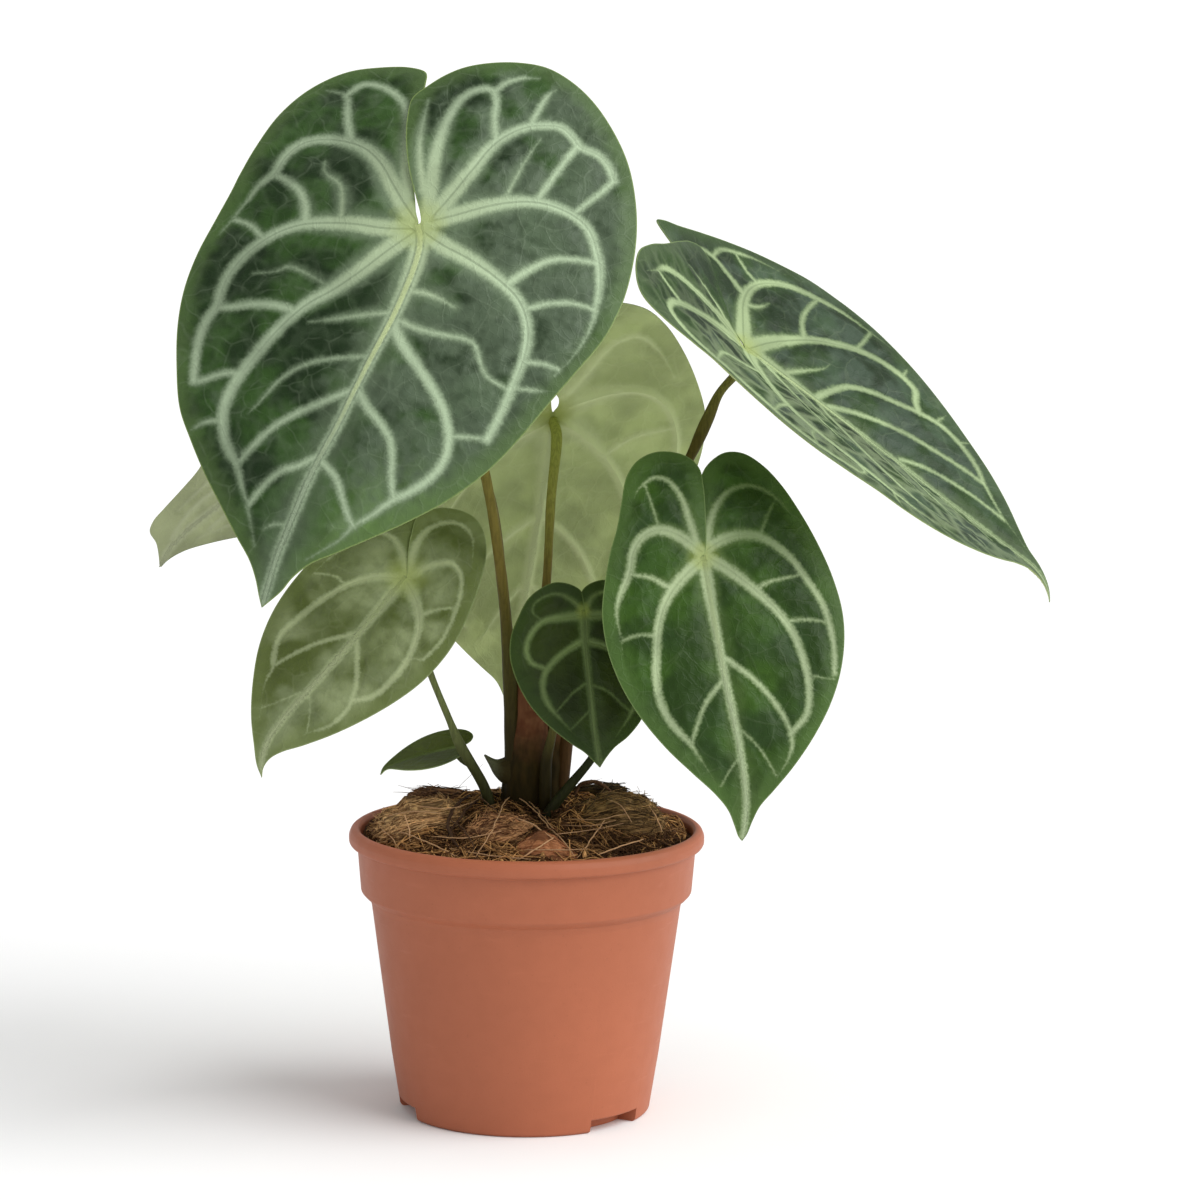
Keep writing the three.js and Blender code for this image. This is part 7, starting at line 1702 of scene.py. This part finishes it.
class ANTHURIUM_OT_stem(Operator):
    """Makes the short stem and its dry sheaths"""
    bl_idname = "anthurium.stem"
    bl_label = "Stem"

    def execute(self, context):
        rings = stem_rings()
        points = with_poles(rings, rings[0].mean(0), rings[-1].mean(0) + (0, 0, 0.1))
        bark = bark_finish()
        piece("short_stem", points, ring_faces(STEM_RINGS, STEM_SIDES), bark, ["stem"])
        line = spline(SHEATH, 8)
        points = tube(line[:, :3], line[:, 3], SHEATH_SIDES)
        piece("stem_sheath", points, ring_faces(len(line), SHEATH_SIDES), sheath_finish())
        for name, path in WRAPS.items():
            line = spline(path, 10)
            folds = 1 + 0.05 * ripple(line[:, :3], 8, 31)
            points = tube(line[:, :3], line[:, 3] * folds, WRAP_SIDES)
            # folds run up the sheath and push it away from a point well below it
            push = 0.25 * ripple(points * (1, 1, 0.12), 2.4, 32)
            points = points + push[:, None] * unit(points - (0, 0, 60))
            piece(f"stem_wrap_{name}", points, ring_faces(len(line), WRAP_SIDES), bark)
        return {"FINISHED"}


class ANTHURIUM_OT_stalks(Operator):
    """Makes the leaf stalks with the swollen joint under each blade"""
    bl_idname = "anthurium.stalks"
    bl_label = "Stalks"

    def execute(self, context):
        for name, (_, _, stops) in STALKS.items():
            line = stalk_path(name)
            along = lengths(line[:, :3])
            along = along / along[-1]
            radius = line[:, 3] * (1 + 0.03 * ripple(line[:, :3], 9, 21))
            points = tube(line[:, :3], radius, STALK_SIDES)
            floats = {"along": np.concatenate([np.repeat(along, STALK_SIDES), along[[0, -1]]])}
            piece(f"petiole_{name}", points, ring_faces(len(line), STALK_SIDES),
                  stalk_finish(f"stalk_{name}", stops), [f"stalk_{name}"], floats)
        return {"FINISHED"}


class ANTHURIUM_OT_blades(Operator):
    """Makes the leaf blades with their veins and quilted panels"""
    bl_idname = "anthurium.blades"
    bl_label = "Blades"

    def execute(self, context):
        settings = context.scene.anthurium_leaves
        for name, leaf in LEAVES.items():
            points, faces, floats = blade_mesh(leaf, BLADE_SPACING[name] * settings.fineness,
                                               name == TURNED_OVER)
            look = {**BASE_LOOK, **LOOKS[name]}
            finish = leaf_finish(f"leaf_{name}", look, settings.veins, settings.panels)
            piece(f"blade_{name}", points, faces, finish, [f"leaf_{name}"], floats, sharp=60)
        return {"FINISHED"}


class ANTHURIUM_OT_studio(Operator):
    """Makes the pale floor, the soft lights and the camera"""
    bl_idname = "anthurium.studio"
    bl_label = "Studio"

    def execute(self, context):
        scene = context.scene
        settings = scene.anthurium_studio
        signs = ((-1, -1), (1, -1), (1, 1), (-1, 1))
        corners = [(FLOOR_REACH * x, FLOOR_REACH * y, 0) for x, y in signs]
        mesh = bpy.data.meshes.new("floor")
        mesh.from_pydata(corners, [], [(0, 1, 2, 3)])
        mesh.materials.append(floor_finish())
        floor = bpy.data.objects.new("floor", mesh)
        scene.collection.objects.link(floor)
        world = bpy.data.worlds.new("white_surround")
        world.use_nodes = True
        sky = world.node_tree.nodes["Background"].inputs
        sky["Color"].default_value = (1, 1, 1, 1)
        sky["Strength"].default_value = settings.sky
        scene.world = world
        lamp = bpy.data.lights.new("key", "SUN")
        lamp.energy = settings.key
        lamp.angle = settings.softness
        key = bpy.data.objects.new("key", lamp)
        scene.collection.objects.link(key)
        key.matrix_world = Vector(KEY_FROM).to_track_quat("Z", "Y").to_matrix().to_4x4()
        scene.view_settings.view_transform = "Standard"
        scene.camera = photo_camera(settings.lens)
        scene.collection.objects.link(scene.camera)
        return {"FINISHED"}


def photo_camera(lens):
    """Camera in front of the plant, looking along +Y, tilted down and rolled."""
    data = bpy.data.cameras.new("photo_camera")
    data.sensor_width = FRAME_WIDTH
    data.lens = lens
    data.clip_end = CAMERA_FAR
    pitch, roll = CAMERA_DOWN * RAD, CAMERA_ROLL * RAD
    ahead = Vector((0, np.cos(pitch), -np.sin(pitch)))
    level_up = Vector((0, np.sin(pitch), np.cos(pitch)))
    right = Vector((1, 0, 0))
    x = np.cos(roll) * right + np.sin(roll) * level_up
    y = -np.sin(roll) * right + np.cos(roll) * level_up
    camera = bpy.data.objects.new("photo_camera", data)
    turn = Matrix((x, y, -ahead)).transposed().to_4x4()
    camera.matrix_world = Matrix.Translation(CAMERA_AT) @ turn
    return camera


OPERATORS = (ANTHURIUM_OT_studio, ANTHURIUM_OT_pot, ANTHURIUM_OT_mulch, ANTHURIUM_OT_husk,
             ANTHURIUM_OT_stem, ANTHURIUM_OT_stalks, ANTHURIUM_OT_blades)


class ANTHURIUM_PT_panel(Panel):
    """Lists the settings and the pieces"""
    bl_label = "Anthurium"
    bl_idname = "ANTHURIUM_PT_panel"
    bl_space_type = "VIEW_3D"
    bl_region_type = "UI"
    bl_category = "Anthurium"

    def draw(self, context):
        for group in GROUPS:
            box = self.layout.box()
            settings = getattr(context.scene, group)
            for key in settings.__annotations__:
                box.prop(settings, key)
        for operator in OPERATORS:
            self.layout.operator(operator.bl_idname)


CLASSES = (*GROUPS.values(), *OPERATORS, ANTHURIUM_PT_panel)


def register():
    for cls in CLASSES:
        bpy.utils.register_class(cls)
    for name, group in GROUPS.items():
        setattr(bpy.types.Scene, name, PointerProperty(type=group))


def unregister():
    for name in GROUPS:
        delattr(bpy.types.Scene, name)
    for cls in reversed(CLASSES):
        bpy.utils.unregister_class(cls)


def main():
    """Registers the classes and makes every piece."""
    register()
    for operator in OPERATORS:
        group, name = operator.bl_idname.split(".")
        getattr(getattr(bpy.ops, group), name)()


if __name__ == "__main__":
    main()
